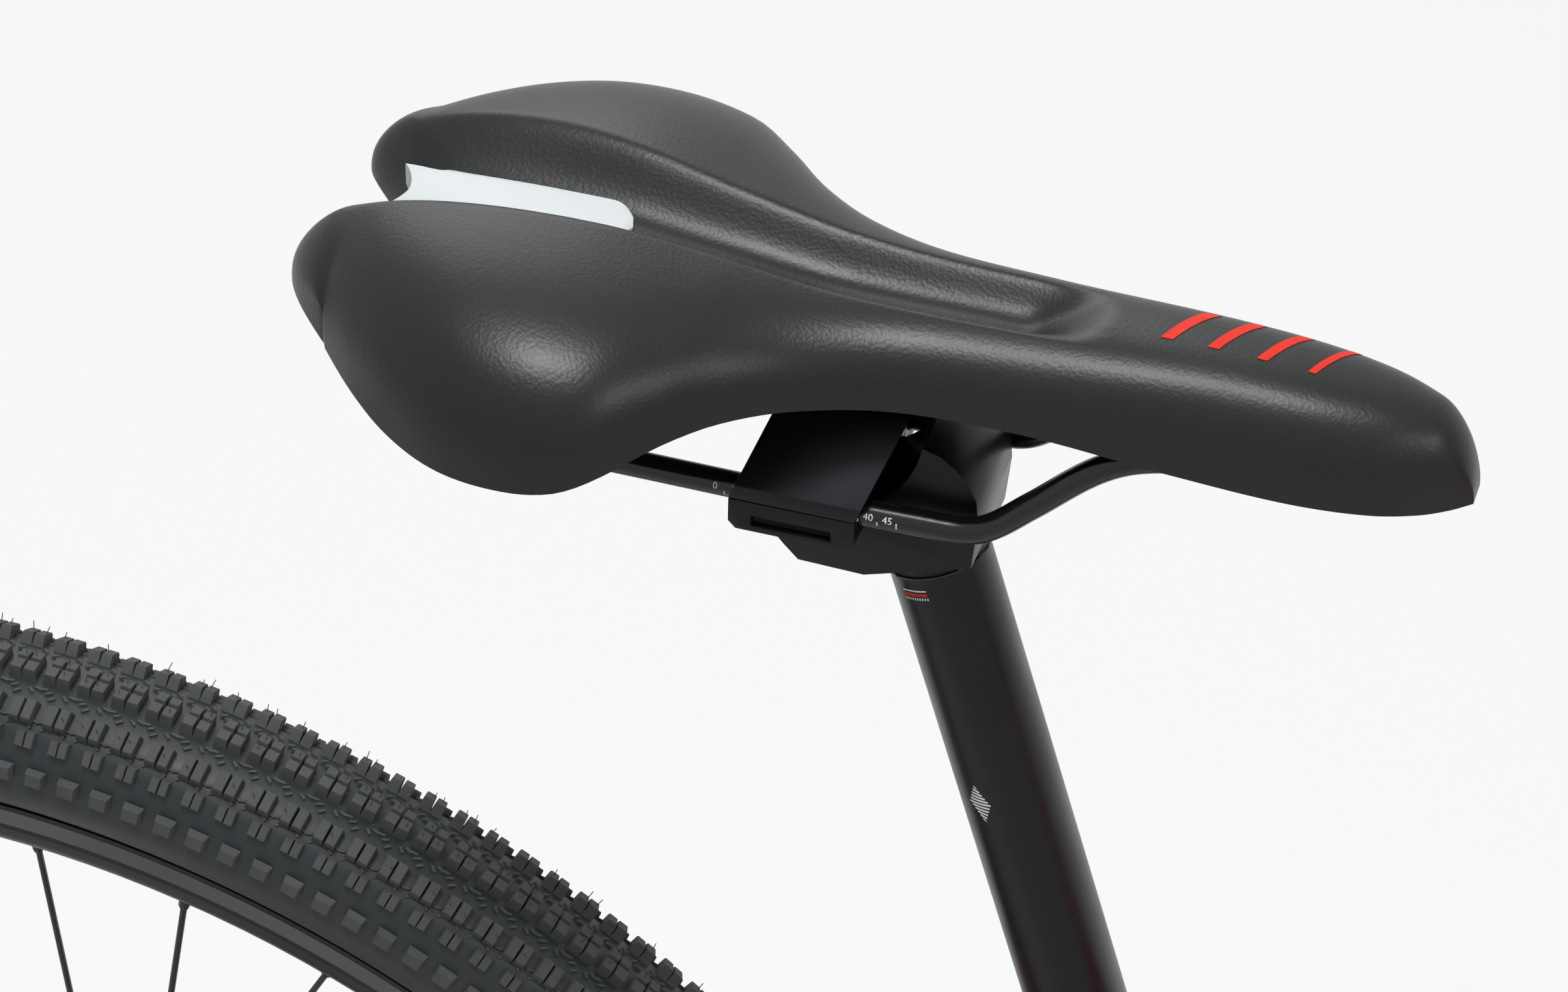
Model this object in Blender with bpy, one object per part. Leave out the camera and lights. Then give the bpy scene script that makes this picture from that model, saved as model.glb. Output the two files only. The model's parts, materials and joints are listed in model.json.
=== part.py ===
"""Hardtail mountain bike, modelled piece by piece.

X points forward, Y to the rider's left and Z up. The origin is on the ground, midway between the axles.
Sizes are in millimetres and are turned to metres where a mesh is made.
"""
import math

import bmesh
import bpy
from mathutils import Matrix, Vector

MM = 0.001
GAP = 0.3  # clearance between pieces that touch on the real bike
RUN = 0.6  # clearance between a shaft and what turns on it

# Driving sizes of the bike
WHEELBASE = 1090.0
WHEEL_RADIUS = 344.0
CHAINSTAY = 440.0
BB_DROP = 30.0
SEAT_ANGLE = math.radians(72.1)
HEAD_ANGLE = math.radians(70.0)
FORK_OFFSET = 43.0
AXLE_TO_CROWN = 483.0
FORK_TRAVEL = 100.0
SEAT_TUBE_LENGTH = 330.0
RAIL_HEIGHT = 526.7  # from the bottom bracket to the saddle rails, along the seatpost

# Tubes of the frame
HEAD_TUBE_LENGTH = 115.0
HEAD_TUBE_RADIUS = 22.0
TOP_TUBE_RADIUS = 17.0
DOWN_TUBE_RADIUS = 21.0
SEAT_TUBE_RADIUS = 17.0
POST_RADIUS = 13.6
POST_LENGTH = 350.0
BB_RADIUS = 20.0
BB_HALF_WIDTH = 36.5
CUP_RADIUS = 21.5
CUP_WIDTH = 7.5
DROPOUT_INNER = 67.8
DROPOUT_THICKNESS = 7.0
SPINDLE_RADIUS = 12.0

# Steering and fork
STEERER_RADIUS = 14.3
CUP_STACK = 12.0
UPPER_STACK = 22.4
STANCHION_RADIUS = 15.0
LEG_SPREAD = 66.0
LEG_FORWARD = 28.0
LEG_RADIUS = 18.5
CROWN_HEIGHT = 38.0
SEAL_DROP = 155.0
STEM_HEIGHT = 40.0
STEM_LENGTH = 70.0
STEM_RISE = math.radians(6.0)
BAR_RADIUS = 15.9
BAR_END_RADIUS = 11.1
BAR_HALF_WIDTH = 340.0
BAR_RISE = 18.0
GRIP_RADIUS = 15.5
GRIP_STRAIGHT = 190.0
GRIP_BEND = BAR_HALF_WIDTH - GRIP_STRAIGHT
BACKSWEEP = math.radians(9)
LEVER_DROP = math.radians(25)
LEVER_REACH = 34.0
LEVER_PIVOT = 46.0

# Wheels
WHEEL_SEGMENTS = 32
TYRE_HALF_WIDTH = 26.0
TYRE_CROWN = 5.0  # thickness of casing and tread at the middle
TYRE_HEIGHT = 46.0  # from the rim's edge to the tread
RIM_WELL = 8.0
RIM_DEPTH = 18.3
RIM_OUTER = WHEEL_RADIUS - TYRE_HEIGHT
RIM_BED = RIM_OUTER - RIM_WELL
RIM_INNER = RIM_OUTER - RIM_DEPTH
RIM_HALF_WIDTH = 13.6
FLANGE_WALL = 1.4
SPOKES = 36
SPOKE_CROSS = 3
SPOKE_SIZE = 1.1
FIRST_SPOKE = math.radians(86.4)
FLANGE_RADIUS = 29.0
SPOKE_CIRCLE = 26.0
FLANGE_HALF = 1.5
SPOKE_OFFSET = 2.2  # how far a spoke stands off its flange's middle, out or in
AXLE_RADIUS = 7.0
AXLE_END_RADIUS = 5.0
REAR_HALF_AXLE = 67.5
FRONT_HALF_AXLE = 50.0
ROTOR_RADIUS = 80.0
ROTOR_THICKNESS = 2.0
REAR_ROTOR_Y = 51.0
FRONT_ROTOR_Y = 38.6

# Drivetrain
CHAIN_PITCH = 12.7
CHAIN_PLANE = -46.7
CHAIN_HALF_HEIGHT = 4.2
CHAIN_HALF_WIDTH = 3.4
RING_TEETH = 32
SPROCKET_TEETH = (12, 14, 16, 18, 21, 24, 28)
SPROCKET_STEP = 5.0
ENGAGED = 3
JOCKEY_TEETH = 11
JOCKEY_SPACING = 57.0
CRANK_LENGTH = 170.0
CRANK_FACE = 80.0
PEDAL_WIDTH = 90.0
PEDAL_LENGTH = 94.0
PEDAL_THICKNESS = 16.0
LINK_LENGTH = 38.0

# Saddle and its clamp
RAIL_RADIUS = 3.5
RAIL_SPREAD = 22.0
CLAMP_REAR = -40.1
CLAMP_FRONT = -7.1
CLAMP_LEAN = 0.37
CLAMP_HALF_WIDTH = 28.0
BRIDGE_HEIGHT = 23.0
SEAT_ARC_RADIUS = 29.5
SEAT_ARC_CENTRE = (-23.1, 22.0)
CRADLE_DEPTH = 9.0
HEAD_HALF_WIDTH = 16.0
SADDLE_REAR = -156.1
SADDLE_NOSE = 140.9
SADDLE_NOTCH = 20.0
CHANNEL_END = 46.0
SHELL_CLEARANCE = 2.4
PLATE_CLEARANCE = 1.9
PLATE_ROWS = [0.012, 0.035, 0.07, 0.12, 0.17, 0.21]
PLATE_ANGLE = 7.0
CABLE_RADIUS = 2.5
CABLE_EXIT = (11, 35, -25)

# Places worked out from the driving sizes
REAR_AXLE = Vector((-WHEELBASE / 2, 0, WHEEL_RADIUS))
FRONT_AXLE = Vector((WHEELBASE / 2, 0, WHEEL_RADIUS))
BB = REAR_AXLE + Vector((math.sqrt(CHAINSTAY ** 2 - BB_DROP ** 2), 0, -BB_DROP))
SEAT_UP = Vector((-math.cos(SEAT_ANGLE), 0, math.sin(SEAT_ANGLE)))
STEER_UP = Vector((-math.cos(HEAD_ANGLE), 0, math.sin(HEAD_ANGLE)))
STEER_FORWARD = Vector((math.sin(HEAD_ANGLE), 0, math.cos(HEAD_ANGLE)))
CROWN = FRONT_AXLE - STEER_FORWARD * FORK_OFFSET + STEER_UP * AXLE_TO_CROWN
RAIL_POINT = BB + SEAT_UP * RAIL_HEIGHT
HEAD_BOTTOM = CUP_STACK
HEAD_TOP = CUP_STACK + HEAD_TUBE_LENGTH
STEM_BOTTOM = HEAD_TOP + UPPER_STACK + GAP
BAR_CENTRE = (CROWN + STEER_UP * (STEM_BOTTOM + STEM_HEIGHT / 2 + STEM_LENGTH * math.sin(STEM_RISE))
              + STEER_FORWARD * STEM_LENGTH * math.cos(STEM_RISE))

# Turned places
CRANK_ANGLE = math.radians(-25)
REAR_CALIPER_ANGLE = math.radians(105)
FRONT_CALIPER_ANGLE = math.radians(125)
LEG_TAB_INNER = 52.0

# Derailleur places, from the rear axle in X and Z
HANGER_HOLE = (6.0, 0.0, -28.0)
LINK_TOP = REAR_AXLE + Vector((6.0, -83.0, -47.0))
LINK_BOTTOM = LINK_TOP - Vector((0, 0, LINK_LENGTH))
JOCKEY_UPPER = REAR_AXLE + Vector((12.0, CHAIN_PLANE, -88.0))
CAGE_LEAN = math.radians(25)
JOCKEY_LOWER = JOCKEY_UPPER + Vector((math.sin(CAGE_LEAN), 0, -math.cos(CAGE_LEAN))) * JOCKEY_SPACING


def pitch_radius(teeth):
    """Radius of the chain's pins on a sprocket."""
    return CHAIN_PITCH / (2 * math.sin(math.pi / teeth))


def finish(name, colour, roughness, metallic=0.0):
    """A plain material with an sRGB colour from 0 to 1."""
    material = bpy.data.materials.new(name)
    material.use_nodes = True
    shader = material.node_tree.nodes["Principled BSDF"]
    linear = [c ** 2.2 for c in colour]
    shader.inputs["Base Color"].default_value = (*linear, 1.0)
    shader.inputs["Roughness"].default_value = roughness
    shader.inputs["Metallic"].default_value = metallic
    material.diffuse_color = (*linear, 1.0)
    return material


def frame_at(origin, along=(0, 0, 1), ahead=(1, 0, 0)):
    """A frame whose Z runs along a direction and whose X leans towards another, in metres."""
    z_axis = Vector(along).normalized()
    x_axis = Vector(ahead)
    x_axis = (x_axis - z_axis * x_axis.dot(z_axis)).normalized()
    y_axis = z_axis.cross(x_axis)
    turn = Matrix((x_axis, y_axis, z_axis)).transposed().to_4x4()
    return Matrix.Translation(Vector(origin) * MM) @ turn


def crossways(origin):
    """A frame whose Z runs forward and X to the left."""
    return frame_at(origin, (1, 0, 0), (0, 1, 0))


def upright(origin):
    """A frame with X forward, Y up and Z to the right."""
    return frame_at(origin, (0, -1, 0), (1, 0, 0))


def sideways(origin):
    """A frame whose Z runs along the bike's Y axis, X forward and Y down."""
    return frame_at(origin, (0, 1, 0), (1, 0, 0))


def add_piece(name, verts, faces, frame, material):
    """Make an object from corners in millimetres and faces, with its faces turned outwards."""
    mesh = bpy.data.meshes.new(name)
    mesh.from_pydata([[c * MM for c in v] for v in verts], [], faces)
    work = bmesh.new()
    work.from_mesh(mesh)
    bmesh.ops.recalc_face_normals(work, faces=work.faces)
    work.to_mesh(mesh)
    work.free()
    mesh.materials.append(material)
    mesh.shade_smooth()
    mesh.set_sharp_from_angle(angle=math.radians(35))
    piece = bpy.data.objects.new(name, mesh)
    bpy.context.scene.collection.objects.link(piece)
    piece.matrix_world = frame
    return piece


def lathe(name, profile, frame, material, sides=24):
    """Turn (radius, height) points round the frame's Z: a ring, or a solid if it ends on the axis."""
    verts = []
    rings = []
    for radius, height in profile:
        count = sides if radius > 0 else 1
        rings.append([len(verts) + k for k in range(count)])
        for k in range(count):
            turn = 2 * math.pi * k / sides
            verts.append((radius * math.cos(turn), radius * math.sin(turn), height))
    following = rings[1:] + rings[:1] if min(r for r, _ in profile) > 0 else rings[1:]
    faces = []
    for low, high in zip(rings, following):
        for k in range(sides):
            corners = [low[k % len(low)], low[(k + 1) % len(low)],
                       high[(k + 1) % len(high)], high[k % len(high)]]
            faces.append(list(dict.fromkeys(corners)))
    return add_piece(name, verts, faces, frame, material)


def rod(name, radius, low, high, frame, material, sides=24):
    """A plain round bar along the frame's Z."""
    return lathe(name, [(0, low), (radius, low), (radius, high), (0, high)], frame, material, sides)


def bush(name, bore, radius, low, high, frame, material, sides=24):
    """A plain round sleeve along the frame's Z."""
    profile = [(bore, low), (radius, low), (radius, high), (bore, high)]
    return lathe(name, profile, frame, material, sides)


def prism(name, outline, low, high, frame, material):
    """An outline in the frame's XY, drawn along its Z."""
    count = len(outline)
    verts = [(x, y, low) for x, y in outline] + [(x, y, high) for x, y in outline]
    faces = [list(range(count)), list(range(count, 2 * count))]
    for k in range(count):
        after = (k + 1) % count
        faces.append([k, after, count + after, count + k])
    return add_piece(name, verts, faces, frame, material)


def block(name, low, high, frame, material):
    """A box from its two opposite corners."""
    outline = [(low[0], low[1]), (high[0], low[1]), (high[0], high[1]), (low[0], high[1])]
    return prism(name, outline, low[2], high[2], frame, material)


def sweep(name, points, sizes, frame, material, sides=12, up=(0, 0, 1)):
    """A tube through points. A size is a radius, or a pair: across and along the up direction."""
    path = [Vector(p) for p in points]
    verts = []
    for k, centre in enumerate(path):
        ahead = path[min(k + 1, len(path) - 1)]
        behind = path[max(k - 1, 0)]
        tangent = (ahead - behind).normalized()
        across = tangent.cross(Vector(up)).normalized()
        top = across.cross(tangent)
        size = sizes[k] if isinstance(sizes, (list, tuple)) else sizes
        wide, tall = size if isinstance(size, tuple) else (size, size)
        for j in range(sides):
            turn = 2 * math.pi * (j + 0.5) / sides
            verts.append(centre + across * wide * math.cos(turn) + top * tall * math.sin(turn))
    faces = [list(range(sides)), list(range(len(verts) - sides, len(verts)))]
    for k in range(len(path) - 1):
        for j in range(sides):
            after = (j + 1) % sides
            faces.append([k * sides + j, k * sides + after,
                          (k + 1) * sides + after, (k + 1) * sides + j])
    return add_piece(name, verts, faces, frame, material)


def smooth_path(points, steps):
    """A curve through hand-placed points, with a number of steps between each two."""
    path = [Vector(p) for p in points]
    ends = [path[0] * 2 - path[1]] + path + [path[-1] * 2 - path[-2]]
    curve = []
    for k in range(len(path) - 1):
        before, start, end, after = ends[k:k + 4]
        for j in range(steps):
            t = j / steps
            curve.append(0.5 * ((2 * start) + (end - before) * t
                                + (2 * before - 5 * start + 4 * end - after) * t ** 2
                                + (3 * start - before - 3 * end + after) * t ** 3))
    return curve + [path[-1]]


def along_knots(knots, place):
    """A smooth value between (place, value) knots, level beyond the first and last."""
    if place <= knots[0][0]:
        return knots[0][1]
    if place >= knots[-1][0]:
        return knots[-1][1]
    k = max(j for j, (start, _) in enumerate(knots) if start <= place)
    (start, low), (end, high) = knots[k:k + 2]
    span = end - start
    first = knots[max(k - 1, 0)]
    last = knots[min(k + 2, len(knots) - 1)]
    leaving = (high - first[1]) / (end - first[0]) * span
    arriving = (last[1] - low) / (last[0] - start) * span
    t = (place - start) / span
    return (low * (2 * t ** 3 - 3 * t ** 2 + 1) + leaving * (t ** 3 - 2 * t ** 2 + t)
            + high * (3 * t ** 2 - 2 * t ** 3) + arriving * (t ** 3 - t ** 2))


def combine(piece, tool, operation):
    """Add or cut a helper shape, which then stays hidden."""
    change = piece.modifiers.new(tool.name, "BOOLEAN")
    change.operation = operation
    change.object = tool
    tool.hide_render = True
    tool.display_type = "WIRE"


def unite(piece, *tools):
    """Weld helper shapes onto a piece."""
    for tool in tools:
        combine(piece, tool, "UNION")


def carve(piece, *tools):
    """Cut helper shapes out of a piece."""
    for tool in tools:
        combine(piece, tool, "DIFFERENCE")


def mirrored(point):
    """The same place on the other side of the bike."""
    return Vector((point[0], -point[1], point[2]))


def make_finishes():
    """One finish for each kind of surface."""
    return {
        "frame": finish("frame_paint", (0.05, 0.05, 0.055), 0.35),
        "accent": finish("red_paint", (0.72, 0.08, 0.06), 0.4),
        "alloy": finish("black_anodised", (0.06, 0.06, 0.065), 0.32, 0.6),
        "silver": finish("silver_alloy", (0.72, 0.72, 0.74), 0.3, 1.0),
        "rim": finish("dark_alloy", (0.16, 0.16, 0.165), 0.35, 0.9),
        "steel": finish("steel", (0.55, 0.55, 0.56), 0.35, 1.0),
        "rubber": finish("tyre_rubber", (0.13, 0.135, 0.145), 0.75),
        "grip": finish("grip_rubber", (0.07, 0.07, 0.07), 0.85),
        "plastic": finish("black_plastic", (0.05, 0.05, 0.05), 0.5),
        "cover": finish("saddle_cover", (0.085, 0.088, 0.09), 0.45),
        "plate": finish("pale_plate", (0.86, 0.88, 0.89), 0.4),
        "rail": finish("black_steel", (0.05, 0.05, 0.055), 0.3, 0.5),
    }


def down_tube_path():
    """The down tube leaves the head tube shallow, to clear the fork crown, then runs to the crank."""
    start = CROWN + STEER_UP * 48 + STEER_FORWARD * 4
    return [start, start + Vector((-58, 0, -32)), start + Vector((-105, 0, -72)),
            start + Vector((-150, 0, -124)), BB.copy()]


def make_frame(looks):
    """The welded frame, as its tubes."""
    paint = looks["frame"]
    bb_frame = sideways(BB)
    steer = frame_at(CROWN, STEER_UP, STEER_FORWARD)
    seat = frame_at(BB, SEAT_UP)
    cup_end = BB_HALF_WIDTH + CUP_WIDTH
    shell_bore = SPINDLE_RADIUS + 2 * RUN
    lathe("bottom_bracket_shell",
          [(shell_bore, -cup_end), (CUP_RADIUS, -cup_end), (CUP_RADIUS, -BB_HALF_WIDTH),
           (BB_RADIUS, -BB_HALF_WIDTH), (BB_RADIUS, BB_HALF_WIDTH), (CUP_RADIUS, BB_HALF_WIDTH),
           (CUP_RADIUS, cup_end), (shell_bore, cup_end)], bb_frame, paint, 18)
    bush("head_tube", STEERER_RADIUS + 2.7, HEAD_TUBE_RADIUS, HEAD_BOTTOM, HEAD_TOP, steer, paint, 16)
    bush("seat_tube", POST_RADIUS + 0.4, SEAT_TUBE_RADIUS, 5, SEAT_TUBE_LENGTH, seat, paint, 18)
    top_start = BB + SEAT_UP * (SEAT_TUBE_LENGTH - 45)
    top_end = CROWN + STEER_UP * (HEAD_TOP - 24)
    sweep("top_tube", [top_start, top_end], TOP_TUBE_RADIUS, Matrix(), looks["accent"], 16)
    sweep("down_tube", down_tube_path(), DOWN_TUBE_RADIUS, Matrix(), paint, 12)

    shell_cut = rod("shell_cut", BB_RADIUS + GAP, -60, 60, bb_frame, paint, 18)
    cup_cut_right = rod("cup_cut_right", CUP_RADIUS + GAP, -60, GAP - BB_HALF_WIDTH, bb_frame, paint, 18)
    cup_cut_left = rod("cup_cut_left", CUP_RADIUS + GAP, BB_HALF_WIDTH - GAP, 60, bb_frame, paint, 18)
    seat_cut = rod("seat_cut", SEAT_TUBE_RADIUS + GAP, -20, SEAT_TUBE_LENGTH + 40, seat, paint, 18)
    head_cut = rod("head_cut", HEAD_TUBE_RADIUS + GAP, HEAD_BOTTOM - 60, HEAD_TOP + 40, steer, paint, 16)
    carve(bpy.data.objects["seat_tube"], shell_cut)
    carve(bpy.data.objects["top_tube"], seat_cut, head_cut)
    down_tube = bpy.data.objects["down_tube"]
    add_bottle_bosses(down_tube, paint)
    carve(down_tube, shell_cut, seat_cut, head_cut)

    cuts = (shell_cut, cup_cut_right, cup_cut_left)
    make_chainstay("chainstay_right", -1, looks, cuts)
    make_chainstay("chainstay_left", 1, looks, cuts)
    make_seatstay("seatstay_right", -1, looks, seat_cut)
    make_seatstay("seatstay_left", 1, looks, seat_cut)
    make_seat_collar(looks, seat)


def add_bottle_bosses(down_tube, paint):
    """Two round bosses 64 mm apart on the down tube's upper face."""
    bend = down_tube_path()[3]
    run = (bend - BB).normalized()
    normal = run.cross(Vector((0, 1, 0))).normalized()
    if normal.z < 0:
        normal = -normal
    for name, place in (("boss_low", 190), ("boss_high", 254)):
        base = frame_at(BB + run * place, normal)
        unite(down_tube, rod(name, 5.5, 10, DOWN_TUBE_RADIUS + 2.5, base, paint, 12))


def dropout_outline(side):
    """Outline of a rear dropout in X and Z from the axle; the right one carries the hanger."""
    upper = [(-15, -12), (-16, 8), (-6, 22), (10, 50), (24, 46), (30, 22), (56, 8), (56, -8)]
    if side < 0:
        return upper + [(24, -16), (18, -34), (8, -41), (-4, -39), (-10, -30)]
    return upper + [(24, -16), (4, -20)]


def make_chainstay(name, side, looks, cuts):
    """A chainstay that slips between chainring and tyre, welded to its dropout."""
    points = []
    for reach, spread in ((6, 29), (44, 31), (79, 34), (124, 41), (194, 50), (294, 61), (364, 67.5),
                          (391, 70.5)):
        share = reach / (BB.x - REAR_AXLE.x)
        points.append((BB.x - reach, side * spread, BB.z + BB_DROP * share))
    sizes = [(8.5, 11), (8.5, 11.5), (7.6, 12), (7.8, 11), (8, 9.5), (7.5, 8.5), (7, 8), (6.5, 7.5)]
    stay = sweep(name, points, sizes, Matrix(), looks["frame"], 10)
    plate = frame_at(REAR_AXLE, (0, side, 0))
    flip = 1 if side < 0 else -1
    outline = [(x, z * flip) for x, z in dropout_outline(side)]
    inner = DROPOUT_INNER
    dropout = prism(name + "_dropout", outline, inner, inner + DROPOUT_THICKNESS,
                    frame_at(REAR_AXLE, (0, side, 0), (1, 0, 0)), looks["frame"])
    hole = rod(name + "_axle_hole", AXLE_END_RADIUS + GAP * 2, inner - 5, inner + 20, plate,
               looks["frame"], 12)
    unite(stay, dropout)
    carve(stay, hole)
    if side < 0:
        hanger = REAR_AXLE + Vector(HANGER_HOLE)
        carve(stay, rod("hanger_hole", 5.2, inner - 5, inner + 20, frame_at(hanger, (0, -1, 0)),
                        looks["frame"], 12))
    carve(stay, *cuts)


def make_seatstay(name, side, looks, seat_cut):
    """A slim stay from the seat tube down to the dropout, bowed round the tyre."""
    start = BB + SEAT_UP * (SEAT_TUBE_LENGTH - 32)
    end = REAR_AXLE + Vector((19, 0, 52))
    points = []
    for share, spread in ((0, 12), (0.1, 22), (0.2, 33), (0.3, 39.5), (0.5, 47), (0.75, 60), (0.92, 68),
                          (1, 70.5)):
        place = start.lerp(end, share)
        points.append((place.x, side * spread, place.z))
    sizes = [9, 8.5, 8, 7.5, 7, 6.8, 6.5, 6]
    stay = sweep(name, points, sizes, Matrix(), looks["accent"], 10)
    tab_cut = block(name + "_tab_cut", (-20, -60, DROPOUT_INNER - GAP),
                    (60, 60, DROPOUT_INNER + DROPOUT_THICKNESS + GAP), frame_at(REAR_AXLE, (0, side, 0)), looks["frame"])
    carve(stay, seat_cut, tab_cut)


def make_seat_collar(looks, seat):
    """The clamp ring at the top of the seat tube, with two ears and its slit at the rear."""
    bore = SEAT_TUBE_RADIUS + GAP
    collar = bush("seat_collar", bore, bore + 3.5, SEAT_TUBE_LENGTH - 14, SEAT_TUBE_LENGTH, seat,
                  looks["alloy"], 18)
    ears = block("collar_ears", (-29, -7, SEAT_TUBE_LENGTH - 12), (-SEAT_TUBE_RADIUS - 1, 7, SEAT_TUBE_LENGTH - 2),
                 seat, looks["alloy"])
    slit = block("collar_slit", (-40, -1.2, SEAT_TUBE_LENGTH - 20), (-5, 1.2, SEAT_TUBE_LENGTH - 6),
                 seat, looks["alloy"])
    unite(collar, ears)
    carve(collar, slit, rod("collar_bore", bore, SEAT_TUBE_LENGTH - 20, SEAT_TUBE_LENGTH + 5, seat,
                            looks["alloy"], 18))


def disc_radius(teeth):
    """Radius of a toothed wheel below the chain that lies on it."""
    return pitch_radius(teeth) * 0.985 - CHAIN_HALF_HEIGHT - GAP


def arc(centre, radius, start, end, count):
    """Points on a round stretch, from one angle to another in degrees."""
    angles = [math.radians(start + (end - start) * k / (count - 1)) for k in range(count)]
    return [(centre[0] + radius * math.cos(a), centre[1] + radius * math.sin(a)) for a in angles]


def stadium(length, radius, count=5):
    """A bar with round ends, from the origin along X."""
    return arc((0, 0), radius, 90, 270, count) + arc((length, 0), radius, -90, 90, count)


def make_tyre(name, axle, looks):
    """A tyre: tread, shoulders and sidewalls outside, hollow inside, its beads held by the rim."""
    bead = RIM_HALF_WIDTH - FLANGE_WALL - GAP
    wide = TYRE_HALF_WIDTH
    outer = [(RIM_BED + GAP + 0.2, bead), (RIM_OUTER + 1.5, bead), (RIM_OUTER + 17, wide),
             (WHEEL_RADIUS - 10, wide - 3), (WHEEL_RADIUS, wide * 0.25)]
    inner = [(WHEEL_RADIUS - TYRE_CROWN - 3, wide * 0.4), (WHEEL_RADIUS - 18, wide - 4.5), (RIM_OUTER + 5, bead - 2),
             (RIM_BED + GAP + 0.2, bead - 3)]
    profile = outer + [(r, -y) for r, y in reversed(outer)] + [(r, -y) for r, y in reversed(inner)] + inner
    lathe(name, profile, sideways(axle), looks["rubber"], WHEEL_SEGMENTS)


def make_rim(name, axle, looks):
    """A rim: a box section with two flanges that hold the tyre's beads."""
    wide = RIM_HALF_WIDTH
    half = [(RIM_INNER, 6), (RIM_BED - 2.5, wide), (RIM_OUTER, wide), (RIM_OUTER, wide - FLANGE_WALL),
            (RIM_BED, wide - FLANGE_WALL)]
    profile = half + [(r, -y) for r, y in reversed(half)]
    lathe(name, profile, sideways(axle), looks["rim"], WHEEL_SEGMENTS)


def make_spokes(name, axle, flanges, material):
    """All the spokes of a wheel, laced three cross, as one helper shape."""
    verts = []
    faces = []
    reach = RIM_INNER * math.cos(math.pi / WHEEL_SEGMENTS) - GAP
    for k in range(SPOKES):
        hole = -(FIRST_SPOKE - 2 * math.pi * k / SPOKES)
        flange = flanges[(k + 1) % 2]
        trailing = -1 if (k // 2) % 2 else 1
        turn = hole + trailing * 2 * math.pi * SPOKE_CROSS / (SPOKES / 2)
        start = Vector((SPOKE_CIRCLE * math.cos(turn), SPOKE_CIRCLE * math.sin(turn),
                        flange + trailing * SPOKE_OFFSET))
        end = Vector((reach * math.cos(hole), reach * math.sin(hole), 0))
        tangent = (end - start).normalized()
        across = tangent.cross(Vector((0, 0, 1))).normalized()
        top = across.cross(tangent)
        first = len(verts)
        for centre in (start, end):
            for a, b in ((-1, -0.6), (1, -0.6), (0, 1.2)):
                verts.append(centre + (across * a + top * b) * SPOKE_SIZE)
        for corners in ((0, 1, 2), (3, 4, 5), (0, 1, 4, 3), (1, 2, 5, 4), (2, 0, 3, 5)):
            faces.append([first + c for c in corners])
    return add_piece(name, verts, faces, sideways(axle), material)


def make_hub(name, axle, ends, flanges, rotor_y, looks):
    """A hub shell with two spoke flanges and a seat for the brake rotor, and the spokes fixed in it."""
    bore = AXLE_RADIUS + RUN
    low, high = ends
    right, left = flanges
    profile = [(bore, low), (13, low), (FLANGE_RADIUS, right - FLANGE_HALF), (FLANGE_RADIUS, right + FLANGE_HALF),
               (14, right + 5), (14, left - 5), (FLANGE_RADIUS, left - FLANGE_HALF), (FLANGE_RADIUS, left + FLANGE_HALF),
               (20, left + FLANGE_HALF + 1), (20, rotor_y - 1.3), (15.5, rotor_y - 1.3), (13, high), (bore, high)]
    shell = lathe(name, profile, sideways(axle), looks["alloy"], 10)
    unite(shell, make_spokes(name + "_spokes", axle, flanges, looks["steel"]))


def make_rotor(name, axle, rotor_y, looks):
    """A brake disc with windows between its arms."""
    low = rotor_y - ROTOR_THICKNESS / 2
    high = rotor_y + ROTOR_THICKNESS / 2
    rotor = bush(name, 16.3, ROTOR_RADIUS, low, high, sideways(axle), looks["steel"], 24)
    for k in range(4):
        turn = 90 * k
        outline = arc((0, 0), 61, turn, turn + 66, 4) + arc((0, 0), 26, turn + 74, turn + 8, 3)
        carve(rotor, prism(f"{name}_window_{k + 1}", outline, low - 5, high + 5, sideways(axle), looks["steel"]))


def make_wheels(looks):
    """Both wheels with their axles and brake discs."""
    for end, axle in (("front", FRONT_AXLE), ("rear", REAR_AXLE)):
        make_tyre("tyre_" + end, axle, looks)
        make_rim("rim_" + end, axle, looks)
    make_hub("spoked_hub_front", FRONT_AXLE, (-44, 46), (-30, 30), FRONT_ROTOR_Y, looks)
    make_hub("spoked_hub_rear", REAR_AXLE, (-23.5, 58), (-20, 33), REAR_ROTOR_Y, looks)
    make_rotor("rotor_front", FRONT_AXLE, FRONT_ROTOR_Y, looks)
    make_rotor("rotor_rear", REAR_AXLE, REAR_ROTOR_Y, looks)
    thick = AXLE_RADIUS
    thin = AXLE_END_RADIUS
    edge = FRONT_HALF_AXLE
    lathe("axle_front", [(0, -edge - 15), (thin, -edge - 15), (thin, -edge), (9, -edge), (9, -edge + 5.4),
                         (thick, -edge + 5.4), (thick, edge - 3.4), (9, edge - 3.4), (9, edge),
                         (thin, edge), (thin, edge + 15), (0, edge + 15)],
          sideways(FRONT_AXLE), looks["steel"], 12)
    edge = REAR_HALF_AXLE
    out = DROPOUT_INNER + DROPOUT_THICKNESS + GAP
    rear = lathe("axle_rear", [(0, -out - 9), (9, -out - 9), (9, -out), (thin, -out), (thin, -edge),
                               (thick, -edge), (thick, edge - 9), (9, edge - 9), (9, edge), (thin, edge),
                               (thin, out), (9, out), (9, out + 11), (0, out + 11)],
                 sideways(REAR_AXLE), looks["steel"], 12)
    bends = ((0, out + 7, 0), (-10, out + 9, 0), (-24, out + 6, 0), (-46, out + 3, 0))
    lever = sweep("skewer_lever", [REAR_AXLE + Vector(p) for p in bends],
                  [(5, 3.5), (5, 3.5), (5, 2.5), (6, 2)], Matrix(), looks["alloy"], 8, (0, 1, 0))
    unite(rear, lever)


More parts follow.
